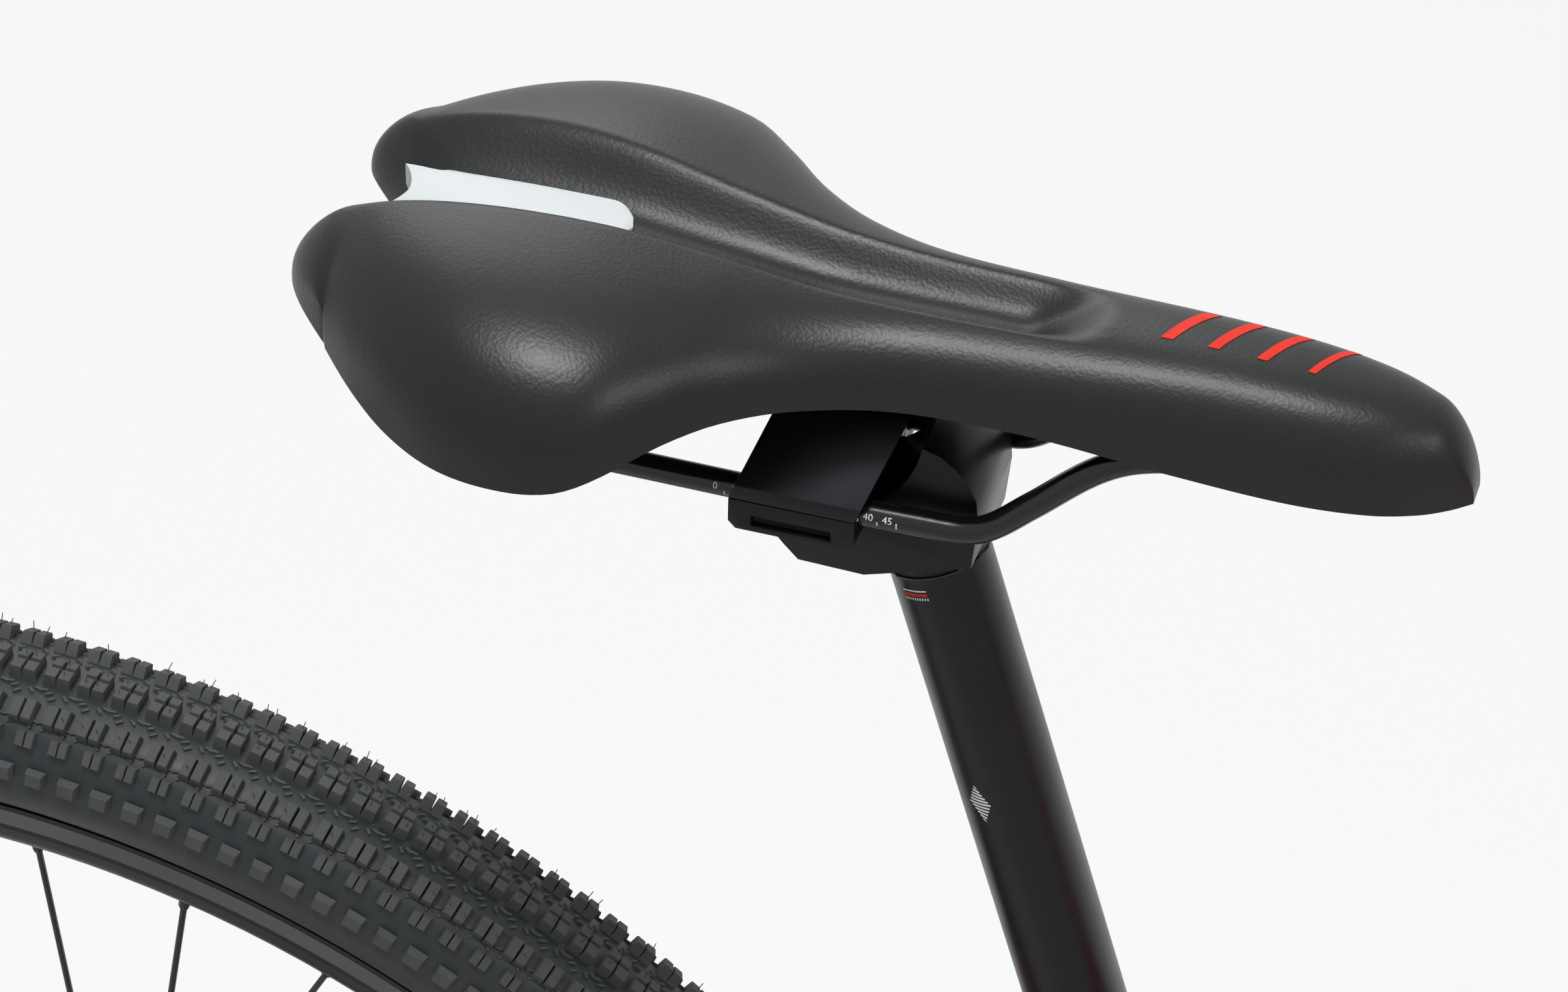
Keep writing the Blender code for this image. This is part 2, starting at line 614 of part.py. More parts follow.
def make_cassette(looks):
    """The rear sprockets on their freehub, as one stack."""
    bore = AXLE_RADIUS + RUN
    radii = [disc_radius(teeth) if k == ENGAGED else pitch_radius(teeth) + 1
             for k, teeth in enumerate(SPROCKET_TEETH)]
    profile = [(bore, -25), (17, -25)]
    floor = 17
    for k in range(len(SPROCKET_TEETH) - 1, -1, -1):
        middle = CHAIN_PLANE - (ENGAGED - k) * SPROCKET_STEP
        if floor != radii[k]:
            profile += [(floor, middle + 0.9), (radii[k], middle + 0.9)]
        grooved = k in (0, ENGAGED, ENGAGED + 1)
        floor = pitch_radius(SPROCKET_TEETH[max(k - 1, 0)]) - 8 if grooved else radii[k - 1]
        profile += [(radii[k], middle - 0.9), (floor, middle - 0.9)]
    profile += [(floor, -65.8), (bore, -65.8)]
    lathe("cassette", profile, sideways(REAR_AXLE), looks["steel"], 12)


def chain_path():
    """The chain's centre line in X and Z, over the chainring, sprocket and both jockey wheels."""
    wheels = [(BB, pitch_radius(RING_TEETH), 1), (REAR_AXLE, pitch_radius(SPROCKET_TEETH[ENGAGED]), 1),
              (JOCKEY_UPPER, pitch_radius(JOCKEY_TEETH), -1), (JOCKEY_LOWER, pitch_radius(JOCKEY_TEETH), 1)]
    runs = []
    for k, (centre, radius, sign) in enumerate(wheels):
        after, after_radius, after_sign = wheels[(k + 1) % len(wheels)]
        dx, dz = after.x - centre.x, after.z - centre.z
        square = dx * dx + dz * dz
        gain = after_sign * after_radius - sign * radius
        length = math.sqrt(square - gain * gain)
        tx, tz = (length * dx + gain * dz) / square, (length * dz - gain * dx) / square
        runs.append((-tz, tx))
    path = []
    for k, (centre, radius, sign) in enumerate(wheels):
        entry = math.atan2(-sign * runs[k - 1][1], -sign * runs[k - 1][0])
        leave = math.atan2(-sign * runs[k][1], -sign * runs[k][0])
        swing = (leave - entry) * sign % (2 * math.pi)
        count = max(2, math.ceil(swing / math.radians(14)) + 1)
        for j in range(count):
            a = entry + sign * swing * j / (count - 1)
            path.append((centre.x + radius * math.cos(a), centre.z + radius * math.sin(a)))
    return path


def make_chain(looks):
    """The chain as one closed band."""
    path = chain_path()
    verts = []
    faces = []
    count = len(path)
    for k, (x, z) in enumerate(path):
        ahead = path[(k + 1) % count]
        behind = path[k - 1]
        along = Vector((ahead[0] - behind[0], 0, ahead[1] - behind[1])).normalized()
        normal = Vector((-along.z, 0, along.x))
        for side, out in ((-1, -1), (1, -1), (1, 1), (-1, 1)):
            verts.append(Vector((x, CHAIN_PLANE + side * CHAIN_HALF_WIDTH, z)) + normal * out * CHAIN_HALF_HEIGHT)
        for j in range(4):
            after = (k + 1) % count
            faces.append([4 * k + j, 4 * k + (j + 1) % 4, 4 * after + (j + 1) % 4, 4 * after + j])
    add_piece("chain", verts, faces, Matrix(), looks["steel"])


def make_cranks(looks):
    """Cranks on their spindle, with the chainring and both pedals."""
    for name, side in (("crank_right", -1), ("crank_left", 1)):
        base = frame_at(BB, (0, side, 0), (math.cos(CRANK_ANGLE) * -side, 0, math.sin(CRANK_ANGLE) * -side))
        cup_end = BB_HALF_WIDTH + CUP_WIDTH
        arm = prism(name, arc((0, 0), 17, 120, 240, 6) + arc((CRANK_LENGTH, 0), 12, -90, 90, 6),
                    CRANK_FACE - 13, CRANK_FACE, base, looks["alloy"])
        boss = rod(name + "_boss", 16, cup_end + RUN, CRANK_FACE - 5, base, looks["alloy"], 20)
        tip = frame_at(pedal_place(side), (0, side, 0))
        pin = rod(name + "_pedal_axle", 5, CRANK_FACE - 6, CRANK_FACE + 2 + PEDAL_WIDTH - 6, tip, looks["steel"], 12)
        unite(arm, boss, pin)
        if side < 0:
            spindle = rod("spindle", SPINDLE_RADIUS, -CRANK_FACE + 12, CRANK_FACE - 8, base, looks["steel"], 20)
            unite(arm, spindle)
            ring_face = -CHAIN_PLANE + 1.5 + GAP
            for k in range(4):
                turn = math.pi * (k / 2 + 0.25)
                spread = frame_at(BB, (0, side, 0), (math.cos(turn), 0, math.sin(turn)))
                unite(arm, prism(f"spider_{k + 1}", stadium(48, 7, 4), ring_face, ring_face + 4, spread,
                                 looks["alloy"]))
        else:
            carve(arm, rod("spindle_socket", SPINDLE_RADIUS + 0.4, cup_end - 5, CRANK_FACE - 11.4, base, looks["alloy"], 20))
        make_pedal("pedal_right" if side < 0 else "pedal_left", side, looks)
    bush("chainring", 42, disc_radius(RING_TEETH), CHAIN_PLANE - 1.5, CHAIN_PLANE + 1.5, sideways(BB), looks["alloy"], 32)


def pedal_place(side):
    """The middle of a pedal axle's line, at Y 0."""
    reach = -side * CRANK_LENGTH
    return BB + Vector((reach * math.cos(CRANK_ANGLE), 0, reach * math.sin(CRANK_ANGLE)))


def make_pedal(name, side, looks):
    """A flat pedal with two windows, on the axle that the crank carries."""
    base = frame_at(pedal_place(side))
    low, high = CRANK_FACE + 2, CRANK_FACE + 2 + PEDAL_WIDTH
    half = PEDAL_LENGTH / 2
    cut = 12
    outline = [(-half, -PEDAL_WIDTH / 2 + cut), (-half + cut, -PEDAL_WIDTH / 2), (half - cut, -PEDAL_WIDTH / 2),
               (half, -PEDAL_WIDTH / 2 + cut), (half, PEDAL_WIDTH / 2 - cut), (half - cut, PEDAL_WIDTH / 2),
               (-half + cut, PEDAL_WIDTH / 2), (-half, PEDAL_WIDTH / 2 - cut)]
    shift = frame_at(pedal_place(side) + Vector((0, side * (low + high) / 2, 0)))
    pedal = prism(name, outline, -PEDAL_THICKNESS / 2, PEDAL_THICKNESS / 2, shift, looks["plastic"])
    for k, (near, far) in enumerate(((-38, -17), (17, 38))):
        window = block(f"{name}_window_{k + 1}", (near, -PEDAL_WIDTH / 2 + 12, -20), (far, PEDAL_WIDTH / 2 - 12, 20),
                       shift, looks["plastic"])
        carve(pedal, window)
    axle_cut = rod(name + "_bore", 5 + RUN, low - 5, high - 5, frame_at(pedal_place(side), (0, side, 0)),
                   looks["plastic"], 16)
    carve(pedal, axle_cut)


def make_derailleur(looks):
    """Rear derailleur: a knuckle on the hanger, a swinging link, a knuckle that stays upright, and the cage."""
    alloy = looks["alloy"]
    axle = frame_at(REAR_AXLE)
    hanger = frame_at(REAR_AXLE + Vector(HANGER_HOLE), (0, -1, 0))
    face = DROPOUT_INNER + DROPOUT_THICKNESS + GAP
    upper = rod("derailleur_knuckle", 11, face, 90, hanger, alloy, 16)
    unite(upper, rod("knuckle_bolt", 4.6, DROPOUT_INNER, face + 3, hanger, alloy, 12))
    top = LINK_TOP - REAR_AXLE
    bottom = LINK_BOTTOM - REAR_AXLE
    for side in (-1, 1):
        ends = sorted((top.x + side * 8.6, top.x + side * 12))
        unite(upper, block(f"upper_cheek_{side + 2}", (ends[0], -89, top.z - 6), (ends[1], -77, HANGER_HOLE[2]), axle, alloy))
    unite(upper, rod("upper_pin", 2.6, -10, 10, crossways(LINK_TOP), alloy, 8))
    link = prism("derailleur_link", stadium(LINK_LENGTH, 5.5, 6), -8, 8,
                 frame_at(LINK_TOP, (1, 0, 0), (0, 0, -1)), alloy)
    for name, place in (("link_bore_top", LINK_TOP), ("link_bore_bottom", LINK_BOTTOM)):
        carve(link, rod(name, 2.7 + RUN, -20, 20, crossways(place), alloy, 8))
    pivot = frame_at(REAR_AXLE + Vector((JOCKEY_UPPER.x - REAR_AXLE.x, 0, JOCKEY_UPPER.z - REAR_AXLE.z)), (0, -1, 0))
    lower = rod("derailleur_moving_knuckle", 10, 61, 71, pivot, alloy, 16)
    unite(lower, rod("cage_stud", 4, 56, 63, pivot, alloy, 12))
    for side in (-1, 1):
        ends = sorted((bottom.x + side * 8.6, bottom.x + side * 12))
        unite(lower, block(f"lower_cheek_{side + 2}", (ends[0], -89, bottom.z - 7), (ends[1], -66, bottom.z + 6), axle, alloy))
    unite(lower, rod("lower_pin", 2.6, -10, 10, crossways(LINK_BOTTOM), alloy, 8))
    make_cage(pivot, looks)


def make_cage(pivot, looks):
    """The spring cage with its two pins, and the jockey wheels that turn on them."""
    alloy = looks["alloy"]
    plane = -CHAIN_PLANE
    lean = (math.sin(CAGE_LEAN), 0, -math.cos(CAGE_LEAN))
    low_pivot = frame_at(Vector((JOCKEY_LOWER.x, 0, JOCKEY_LOWER.z)), (0, -1, 0))
    plates = frame_at(Vector((JOCKEY_UPPER.x, 0, JOCKEY_UPPER.z)), (0, -1, 0), lean)
    cage = prism("derailleur_cage", stadium(JOCKEY_SPACING, 11, 6), plane + 6.5, plane + 8.5, plates, alloy)
    inner = prism("inner_plate", stadium(JOCKEY_SPACING, 9, 6), plane - 8, plane - 6.5, plates, alloy)
    unite(cage, inner, rod("cage_boss", 9, plane + 8, 60.4, pivot, alloy, 16))
    for name, place in (("jockey_upper", pivot), ("jockey_lower", low_pivot)):
        unite(cage, rod(name + "_pin", 3, plane - 7, plane + 7, place, alloy, 12))
        radius = disc_radius(JOCKEY_TEETH)
        lathe(name, [(3 + RUN, plane - 4), (7, plane - 4), (7, plane - 1.2), (radius, plane - 1.2), (radius, plane + 1.2),
                     (7, plane + 1.2), (7, plane + 4), (3 + RUN, plane + 4)], place, looks["plastic"], 12)
    carve(cage, rod("stud_bore", 4 + RUN, 55.6, 70, pivot, alloy, 12))


def make_calipers(looks):
    """A brake caliper over the edge of each disc."""
    rear = frame_at(REAR_AXLE, (0, 1, 0), (math.cos(REAR_CALIPER_ANGLE), 0, math.sin(REAR_CALIPER_ANGLE)))
    lug = DROPOUT_INNER - GAP
    make_caliper("caliper_rear", REAR_ROTOR_Y, lug, rear, looks)
    ahead = STEER_FORWARD * math.cos(FRONT_CALIPER_ANGLE) + STEER_UP * math.sin(FRONT_CALIPER_ANGLE)
    front = frame_at(FRONT_AXLE, (0, 1, 0), ahead)
    make_caliper("caliper_front", FRONT_ROTOR_Y, LEG_TAB_INNER - GAP, front, looks)


def make_caliper(name, rotor_y, lug, base, looks):
    """A caliper body with a slot for the disc and a foot that reaches its mount."""
    body = block(name, (58, -17, rotor_y - 9), (90, 17, rotor_y + 9), base, looks["alloy"])
    foot = block(name + "_foot", (66, -17, rotor_y + 8), (84, 17, lug), base, looks["alloy"])
    slot = block(name + "_slot", (50, -30, rotor_y - 2), (ROTOR_RADIUS + 2, 30, rotor_y + 2), base, looks["alloy"])
    unite(body, foot)
    carve(body, slot)


def on_fork(ahead, across, up):
    """A place in the steering frame: ahead of the steering axis, to the left and up from the crown."""
    return CROWN + STEER_FORWARD * ahead + Vector((0, across, 0)) + STEER_UP * up


def make_fork(looks):
    """Suspension fork: steerer, crown and inner legs as one piece, and the outer legs that slide on them."""
    steer = frame_at(CROWN, STEER_UP, STEER_FORWARD)
    half = [(-22, 16), (-6, 42), (8, 82), (18, 87), (38, 87), (48, 80), (48, 50), (34, 28)]
    outline = half + [(x, -y) for x, y in reversed(half)]
    crown = prism("fork_crown", outline, -CROWN_HEIGHT, 0, steer, looks["alloy"])
    unite(crown, rod("steerer", STEERER_RADIUS, -20, STEM_BOTTOM + STEM_HEIGHT - 4, steer, looks["alloy"], 16))
    lowers = None
    for side, end in ((-1, "right"), (1, "left")):
        leg = frame_at(on_fork(LEG_FORWARD, side * LEG_SPREAD, 0), STEER_UP, STEER_FORWARD)
        unite(crown, rod("stanchion_" + end, STANCHION_RADIUS, -AXLE_TO_CROWN + 208, -10, leg, looks["silver"], 12))
        bore = STANCHION_RADIUS + RUN + 0.1
        foot = AXLE_TO_CROWN + 14
        profile = [(0, -foot), (11, -foot), (15, -foot + 12), (15, -AXLE_TO_CROWN + 53), (LEG_RADIUS, -AXLE_TO_CROWN + 183),
                   (LEG_RADIUS, -SEAL_DROP),
                   (bore, -SEAL_DROP), (bore, -AXLE_TO_CROWN + 95), (0, -AXLE_TO_CROWN + 95)]
        name = "fork_lowers" if side < 0 else "left_lower_leg"
        outer = lathe(name, profile, leg, looks["alloy"], 12)
        bosses = rod("axle_boss_" + end, 13, FRONT_HALF_AXLE + GAP, LEG_SPREAD + 3, frame_at(FRONT_AXLE, (0, side, 0)),
                     looks["alloy"], 12)
        hole = rod("axle_hole_" + end, AXLE_END_RADIUS + RUN, 40, FRONT_HALF_AXLE + 15.5,
                   frame_at(FRONT_AXLE, (0, side, 0)), looks["alloy"], 10)
        if side < 0:
            lowers = outer
            unite(lowers, bosses)
            carve(lowers, hole)
        else:
            arch_half = [(53, 66, -192), (57, 64, -168), (60, 54, -142), (61, 34, -120)]
            points = [on_fork(x, -y, z) for x, y, z in arch_half] + [on_fork(61, 0, -113)]
            points += [on_fork(x, y, z) for x, y, z in reversed(arch_half)]
            arch = sweep("fork_arch", points, 8, Matrix(), looks["alloy"], 8, (1, 0, 0.3))
            ahead = STEER_FORWARD * math.cos(FRONT_CALIPER_ANGLE) + STEER_UP * math.sin(FRONT_CALIPER_ANGLE)
            tab = block("caliper_tab", (66, -17, LEG_TAB_INNER), (84, 30, LEG_SPREAD), frame_at(FRONT_AXLE, (0, 1, 0), ahead),
                        looks["alloy"])
            unite(lowers, arch, outer, bosses, tab)
            carve(lowers, hole)
    bore = STEERER_RADIUS + RUN
    lathe("headset_lower", [(bore, GAP), (HEAD_TUBE_RADIUS + 1, GAP), (HEAD_TUBE_RADIUS + 1, HEAD_BOTTOM - 3),
                            (HEAD_TUBE_RADIUS, HEAD_BOTTOM - GAP), (bore, HEAD_BOTTOM - GAP)], steer, looks["alloy"], 16)
    lathe("headset_upper", [(bore, HEAD_TOP + GAP), (HEAD_TUBE_RADIUS + 1, HEAD_TOP + GAP), (HEAD_TUBE_RADIUS + 1, HEAD_TOP + 8),
                            (18, HEAD_TOP + UPPER_STACK), (bore, HEAD_TOP + UPPER_STACK)], steer, looks["alloy"], 16)


def make_stem(looks):
    """The stem: a clamp round the steerer, an arm and a clamp round the handlebar."""
    steer = frame_at(CROWN, STEER_UP, STEER_FORWARD)
    top = STEM_BOTTOM + STEM_HEIGHT
    stem = rod("stem", 20, STEM_BOTTOM, top + 4, steer, looks["alloy"], 16)
    middle = CROWN + STEER_UP * (STEM_BOTTOM + STEM_HEIGHT / 2)
    arm = sweep("stem_arm", [middle.lerp(BAR_CENTRE, 0.15), middle.lerp(BAR_CENTRE, 0.9)], [(16, 17), (17, 14)], Matrix(),
                looks["alloy"], 12)
    front = rod("bar_clamp", BAR_RADIUS + 5, -24, 24, sideways(BAR_CENTRE), looks["alloy"], 16)
    unite(stem, arm, front)
    carve(stem, rod("steerer_bore", STEERER_RADIUS + 0.5, STEM_BOTTOM - 5, top - 3, steer, looks["alloy"], 16))
    carve(stem, rod("bar_bore", BAR_RADIUS + 0.6, -40, 40, sideways(BAR_CENTRE), looks["alloy"], 16))


def bar_end(side):
    """The bend where a handlebar end becomes straight, and the frame's three directions there."""
    bend = BAR_CENTRE + Vector((-8, side * GRIP_BEND, BAR_RISE))
    out = Vector((-math.sin(BACKSWEEP), side * math.cos(BACKSWEEP), 0))
    up = Vector((math.sin(LEVER_DROP), 0, math.cos(LEVER_DROP)))
    up = (up - out * up.dot(out)).normalized()
    ahead = (out * side).cross(up)
    return bend, out, up, ahead


def on_bar(side, ahead_by, out_by, up_by):
    """A place near a handlebar end: ahead of the bar, outwards along it and above it."""
    bend, out, up, ahead = bar_end(side)
    return bend + ahead * ahead_by + out * out_by + up * up_by


def make_cockpit(looks):
    """Handlebar, grips, brake levers and the twist shifter."""
    tip = (BAR_HALF_WIDTH - GRIP_BEND) / math.cos(BACKSWEEP)
    half = [BAR_CENTRE + Vector((0, 30, 0)), BAR_CENTRE + Vector((0, 52, 1)),
            BAR_CENTRE + Vector((-3, GRIP_BEND * 0.6, BAR_RISE * 0.5)),
            BAR_CENTRE + Vector((-6, GRIP_BEND - 22, BAR_RISE * 0.96)), on_bar(1, 0, 10, 0), on_bar(1, 0, tip, 0)]
    radii = [BAR_RADIUS, BAR_RADIUS, 13.5, BAR_END_RADIUS, BAR_END_RADIUS, BAR_END_RADIUS]
    points = [mirrored(p) for p in reversed(half)] + half
    sweep("handlebar", points, list(reversed(radii)) + radii, Matrix(), looks["alloy"], 12)
    bore = BAR_END_RADIUS + 0.5
    for name, side, start in (("right", -1, 93), ("left", 1, 62)):
        bend, out, up, ahead = bar_end(side)
        along = frame_at(bend, out, ahead)
        lathe("grip_" + name, [(0, tip + GAP), (bore, tip + GAP), (bore, start), (GRIP_RADIUS + 1.5, start),
                               (GRIP_RADIUS + 1.5, start + 4), (GRIP_RADIUS, start + 6), (GRIP_RADIUS, tip - 2),
                               (GRIP_RADIUS - 2, tip + 4), (0, tip + 4)], along, looks["grip"], 12)
        make_brake_lever(name, side, along, looks)
    bend, out, up, ahead = bar_end(-1)
    along = frame_at(bend, out, ahead)
    housing = bush("shifter_body", bore, 19, 34, 54, along, looks["plastic"], 16)
    outlet = sweep("cable_outlet", [on_bar(-1, 7, 44, -15.4), on_bar(-1, *CABLE_EXIT)], 4.5, Matrix(), looks["plastic"], 6)
    unite(housing, outlet)
    bush("twist_shifter", BAR_END_RADIUS + RUN + 0.2, 17.5, 54.6, 92.4, along, looks["grip"], 16)


def make_brake_lever(name, side, along, looks):
    """A brake's master cylinder, clamped on the bar, and its lever."""
    bend, out, up, ahead = bar_end(side)
    square = frame_at(bend, up, ahead)
    alloy = looks["alloy"]
    body = bush("brake_body_" + name, BAR_END_RADIUS + 0.5, 15.5, 18, 32, along, alloy, 12)
    cylinder = rod("cylinder_" + name, 8.5, -12, 36, frame_at(on_bar(side, LEVER_REACH - 6, 0, 0), out, ahead), alloy, 10)

    def bar_block(label, near, far):
        ends = sorted((side * near[1], side * far[1]))
        return block(f"{label}_{name}", (near[0], ends[0], near[2]), (far[0], ends[1], far[2]), square, alloy)

    unite(body, cylinder, bar_block("bridge", (13, 19, -6), (26, 31, 6)))
    unite(body, bar_block("cheek_up", (LEVER_REACH - 8, 28, 6), (LEVER_REACH + 6, LEVER_PIVOT + 6, 9)))
    unite(body, bar_block("cheek_down", (LEVER_REACH - 8, 28, -9), (LEVER_REACH + 6, LEVER_PIVOT + 6, -6)))
    pivot = on_bar(side, LEVER_REACH, LEVER_PIVOT, 0)
    swing = frame_at(pivot, up, ahead)
    unite(body, rod("lever_pin_" + name, 2.6, -8, 8, swing, alloy, 8))
    outline = [(-5, -3), (0, -6), (6, -4), (13, 6), (20, 30), (23, 70), (23, 92), (18, 99), (14, 93), (15, 68), (12, 34),
               (5, 12), (-3, 6)]
    lever = prism("brake_lever_" + name, [(x, side * y) for x, y in outline], -5, 5, swing, alloy)
    carve(lever, rod("lever_bore_" + name, 2.7 + RUN, -20, 20, swing, alloy, 8))


def on_seat(ahead, across, up):
    """A place measured from where the seatpost's line meets the rails' height."""
    return RAIL_POINT + Vector((ahead, across, up))


def make_seatpost(looks):
    """The post and its set-back head, whose round seat lets the saddle tilt."""
    post = rod("seatpost", POST_RADIUS, RAIL_HEIGHT - POST_LENGTH, RAIL_HEIGHT - 16, frame_at(BB, SEAT_UP), looks["alloy"], 20)
    outline = arc(SEAT_ARC_CENTRE, SEAT_ARC_RADIUS, -8, -122, 9)
    outline += [(-38, -10), (-29, -20), (-25, -24), (-7.5, -24.5), (20.3, -15.6), (21.5, -2), (20.8, 5), (18.5, 9.5), (15, 13.5),
                (11, 16.5)]
    head = prism("post_head", outline, -HEAD_HALF_WIDTH, HEAD_HALF_WIDTH, upright(RAIL_POINT), looks["alloy"])
    slot = block("bolt_slot", (-36.5, -60, -4), (-10.5, 0, 4), upright(RAIL_POINT), looks["alloy"])
    unite(post, head)
    carve(post, slot)


def rail_path(longer=0.0):
    """One bent wire: up to the shell behind, straight through the clamp, and a loop under the nose."""
    half = [(-134 - longer, -31, 26 + longer * 0.25), (-124, -30.5, 23), (-108, -28, 14), (-94, -24.5, 4.5), (-86, -23, 1), (-77, -RAIL_SPREAD, 0),
            (16, -RAIL_SPREAD, 0), (25, -21.5, 2), (36, -20.5, 11), (50, -18.5, 23), (60, -17, 28), (74, -15, 30),
            (104, -11, 30), (113, -9, 30), (118, -5, 30)]
    return [on_seat(*p) for p in half] + [on_seat(x, -y, z) for x, y, z in reversed(half)]


def make_clamp(looks):
    """The cradle under the rails, the bridge over them and the bolt through both."""
    flat = upright(RAIL_POINT)
    alloy = looks["alloy"]
    seat_arc = arc(SEAT_ARC_CENTRE, SEAT_ARC_RADIUS - GAP, -124, -57, 7)
    cradle = prism("clamp_cradle", [(CLAMP_REAR, -GAP)] + seat_arc + [(CLAMP_FRONT, -GAP)], -CLAMP_HALF_WIDTH,
                   CLAMP_HALF_WIDTH, flat, alloy)
    for side in (-1, 1):
        ends = sorted((side * (HEAD_HALF_WIDTH + GAP), side * CLAMP_HALF_WIDTH))
        wing = [(CLAMP_REAR, -GAP), (CLAMP_REAR, -CRADLE_DEPTH + 2), (CLAMP_REAR + 2, -CRADLE_DEPTH),
                (CLAMP_FRONT - 2, -CRADLE_DEPTH), (CLAMP_FRONT, -CRADLE_DEPTH + 2), (CLAMP_FRONT, -GAP)]
        unite(cradle, prism(f"cradle_wing_{side + 2}", wing, ends[0], ends[1], flat, alloy))
    section = [(-CLAMP_HALF_WIDTH, 0), (CLAMP_HALF_WIDTH, 0), (CLAMP_HALF_WIDTH, 4), (12, BRIDGE_HEIGHT),
               (-12, BRIDGE_HEIGHT), (-CLAMP_HALF_WIDTH, 4)]
    verts = [(x + CLAMP_LEAN * z, y, z) for x in (CLAMP_REAR, CLAMP_FRONT) for y, z in section]
    faces = [list(range(6)), list(range(6, 12))] + [[k, (k + 1) % 6, (k + 1) % 6 + 6, k + 6] for k in range(6)]
    bridge = add_piece("clamp_bridge", verts, faces, frame_at(RAIL_POINT), alloy)
    middle = (CLAMP_REAR + CLAMP_FRONT) / 2
    diamond = prism("bridge_window", [(middle - 4, 11.5), (middle + 4, 5), (middle + 12, 11.5), (middle + 4, 18)], -40, 40,
                    flat, alloy)
    wire = sweep("rail_cut", rail_path(GAP), RAIL_RADIUS + GAP, Matrix(), alloy, 8)
    for piece in (cradle, bridge):
        carve(piece, wire)
        carve(piece, rod("bolt_hole_" + piece.name, 3.7, -40, 60, frame_at(on_seat(middle, 0, 0)), alloy, 12))
    carve(bridge, diamond)
    bolt = rod("clamp_bolt", 3, -24, BRIDGE_HEIGHT + 2, frame_at(on_seat(middle, 0, 0)), looks["steel"], 12)
    unite(bolt, rod("bolt_head", 5.5, BRIDGE_HEIGHT + GAP, BRIDGE_HEIGHT + 5.5, frame_at(on_seat(middle, 0, 0)),
                    looks["steel"], 12))
    sweep("saddle_rails", rail_path(), RAIL_RADIUS, Matrix(), looks["rail"], 8)


def half_width(x):
    """Half the saddle's width at a place along it."""
    return along_knots([(-140, 47), (-128, 58), (-116, 67), (-102, 74), (-88, 77), (-74, 76.5), (-62, 72), (-50, 60),
                        (-38, 47), (-22, 36), (0, 28), (30, 25), (70, 23), (100, 21.5), (118, 18.5), (129, 14),
                        (136, 9), (141, 4)], x)


def saddle_rear(share):
    """The rear outline: two lobes with a notch between them. The share runs from -1 to 1 across."""
    return SADDLE_REAR + SADDLE_NOTCH * (1 - math.exp(-((abs(share) - 0.55) / 0.3) ** 2))


def edge_height(x):
    """Height of the saddle's lower edge."""
    return along_knots([(-156, 42), (-146, 38), (-135, 33), (-118, 28), (-102, 25.5), (-85, 25), (-70, 26), (-58, 30),
                        (-46, 34), (-20, 35.5), (30, 34.5), (70, 30), (100, 27.5), (141, 26)], x)


def crown_line(x):
    """Height of the saddle's top along its middle, as if the channel were filled."""
    return along_knots([(-156, 58), (-130, 66), (-105, 69), (-80, 68), (-50, 63), (-20, 58.5), (30, 57), (80, 56.5),
                        (115, 53), (141, 46)], x)


def crown_height(x, y):
    """Height of the saddle's top before its edges roll off, with the channel along the middle."""
    share = y / half_width(x)
    wide = along_knots([(-156, 20), (-100, 18), (-50, 13), (46, 10)], x)
    deep = along_knots([(-156, 11), (-130, 13), (-100, 14.5), (-76, 13.5), (-50, 11.5), (-10, 10), (46, 9)], x)
    fade = min(1.0, max(0.0, (CHANNEL_END - x) / 18))
    channel = deep * fade * (1 - min(1.0, abs(y) / wide) ** 4) ** 2
    return crown_line(x) - 5 * share * share - channel


def pad_top(x, y, rear):
    """Height of the cover's upper side."""
    share = min(1.0, abs(y) / half_width(x))
    side_roll = (1 - share ** 4) ** (1 / 3)
    rear_roll = math.sqrt(max(0.0, 1 - (1 - min(1.0, max(0.0, x - rear) / 13)) ** 2))
    nose_roll = math.sqrt(max(0.0, 1 - (1 - min(1.0, max(0.0, SADDLE_NOSE - x) / 12)) ** 2))
    edge = edge_height(x)
    return edge + (crown_height(x, y) - edge) * side_roll * rear_roll * nose_roll


def pad_bottom(x, y, rear):
    """Height of the cover's hollow underside."""
    share = min(1.0, abs(y) / half_width(x))
    ramp = min(1.0, max(0.0, x - rear) / 34) * min(1.0, max(0.0, SADDLE_NOSE - x) / 14)
    edge = edge_height(x)
    roof = crown_line(x) - 19.5 + 7.5 * min(1.0, max(0.0, (x + 20) / 130))
    return edge + max(0.0, roof - edge) * (1 - share ** 4) * ramp


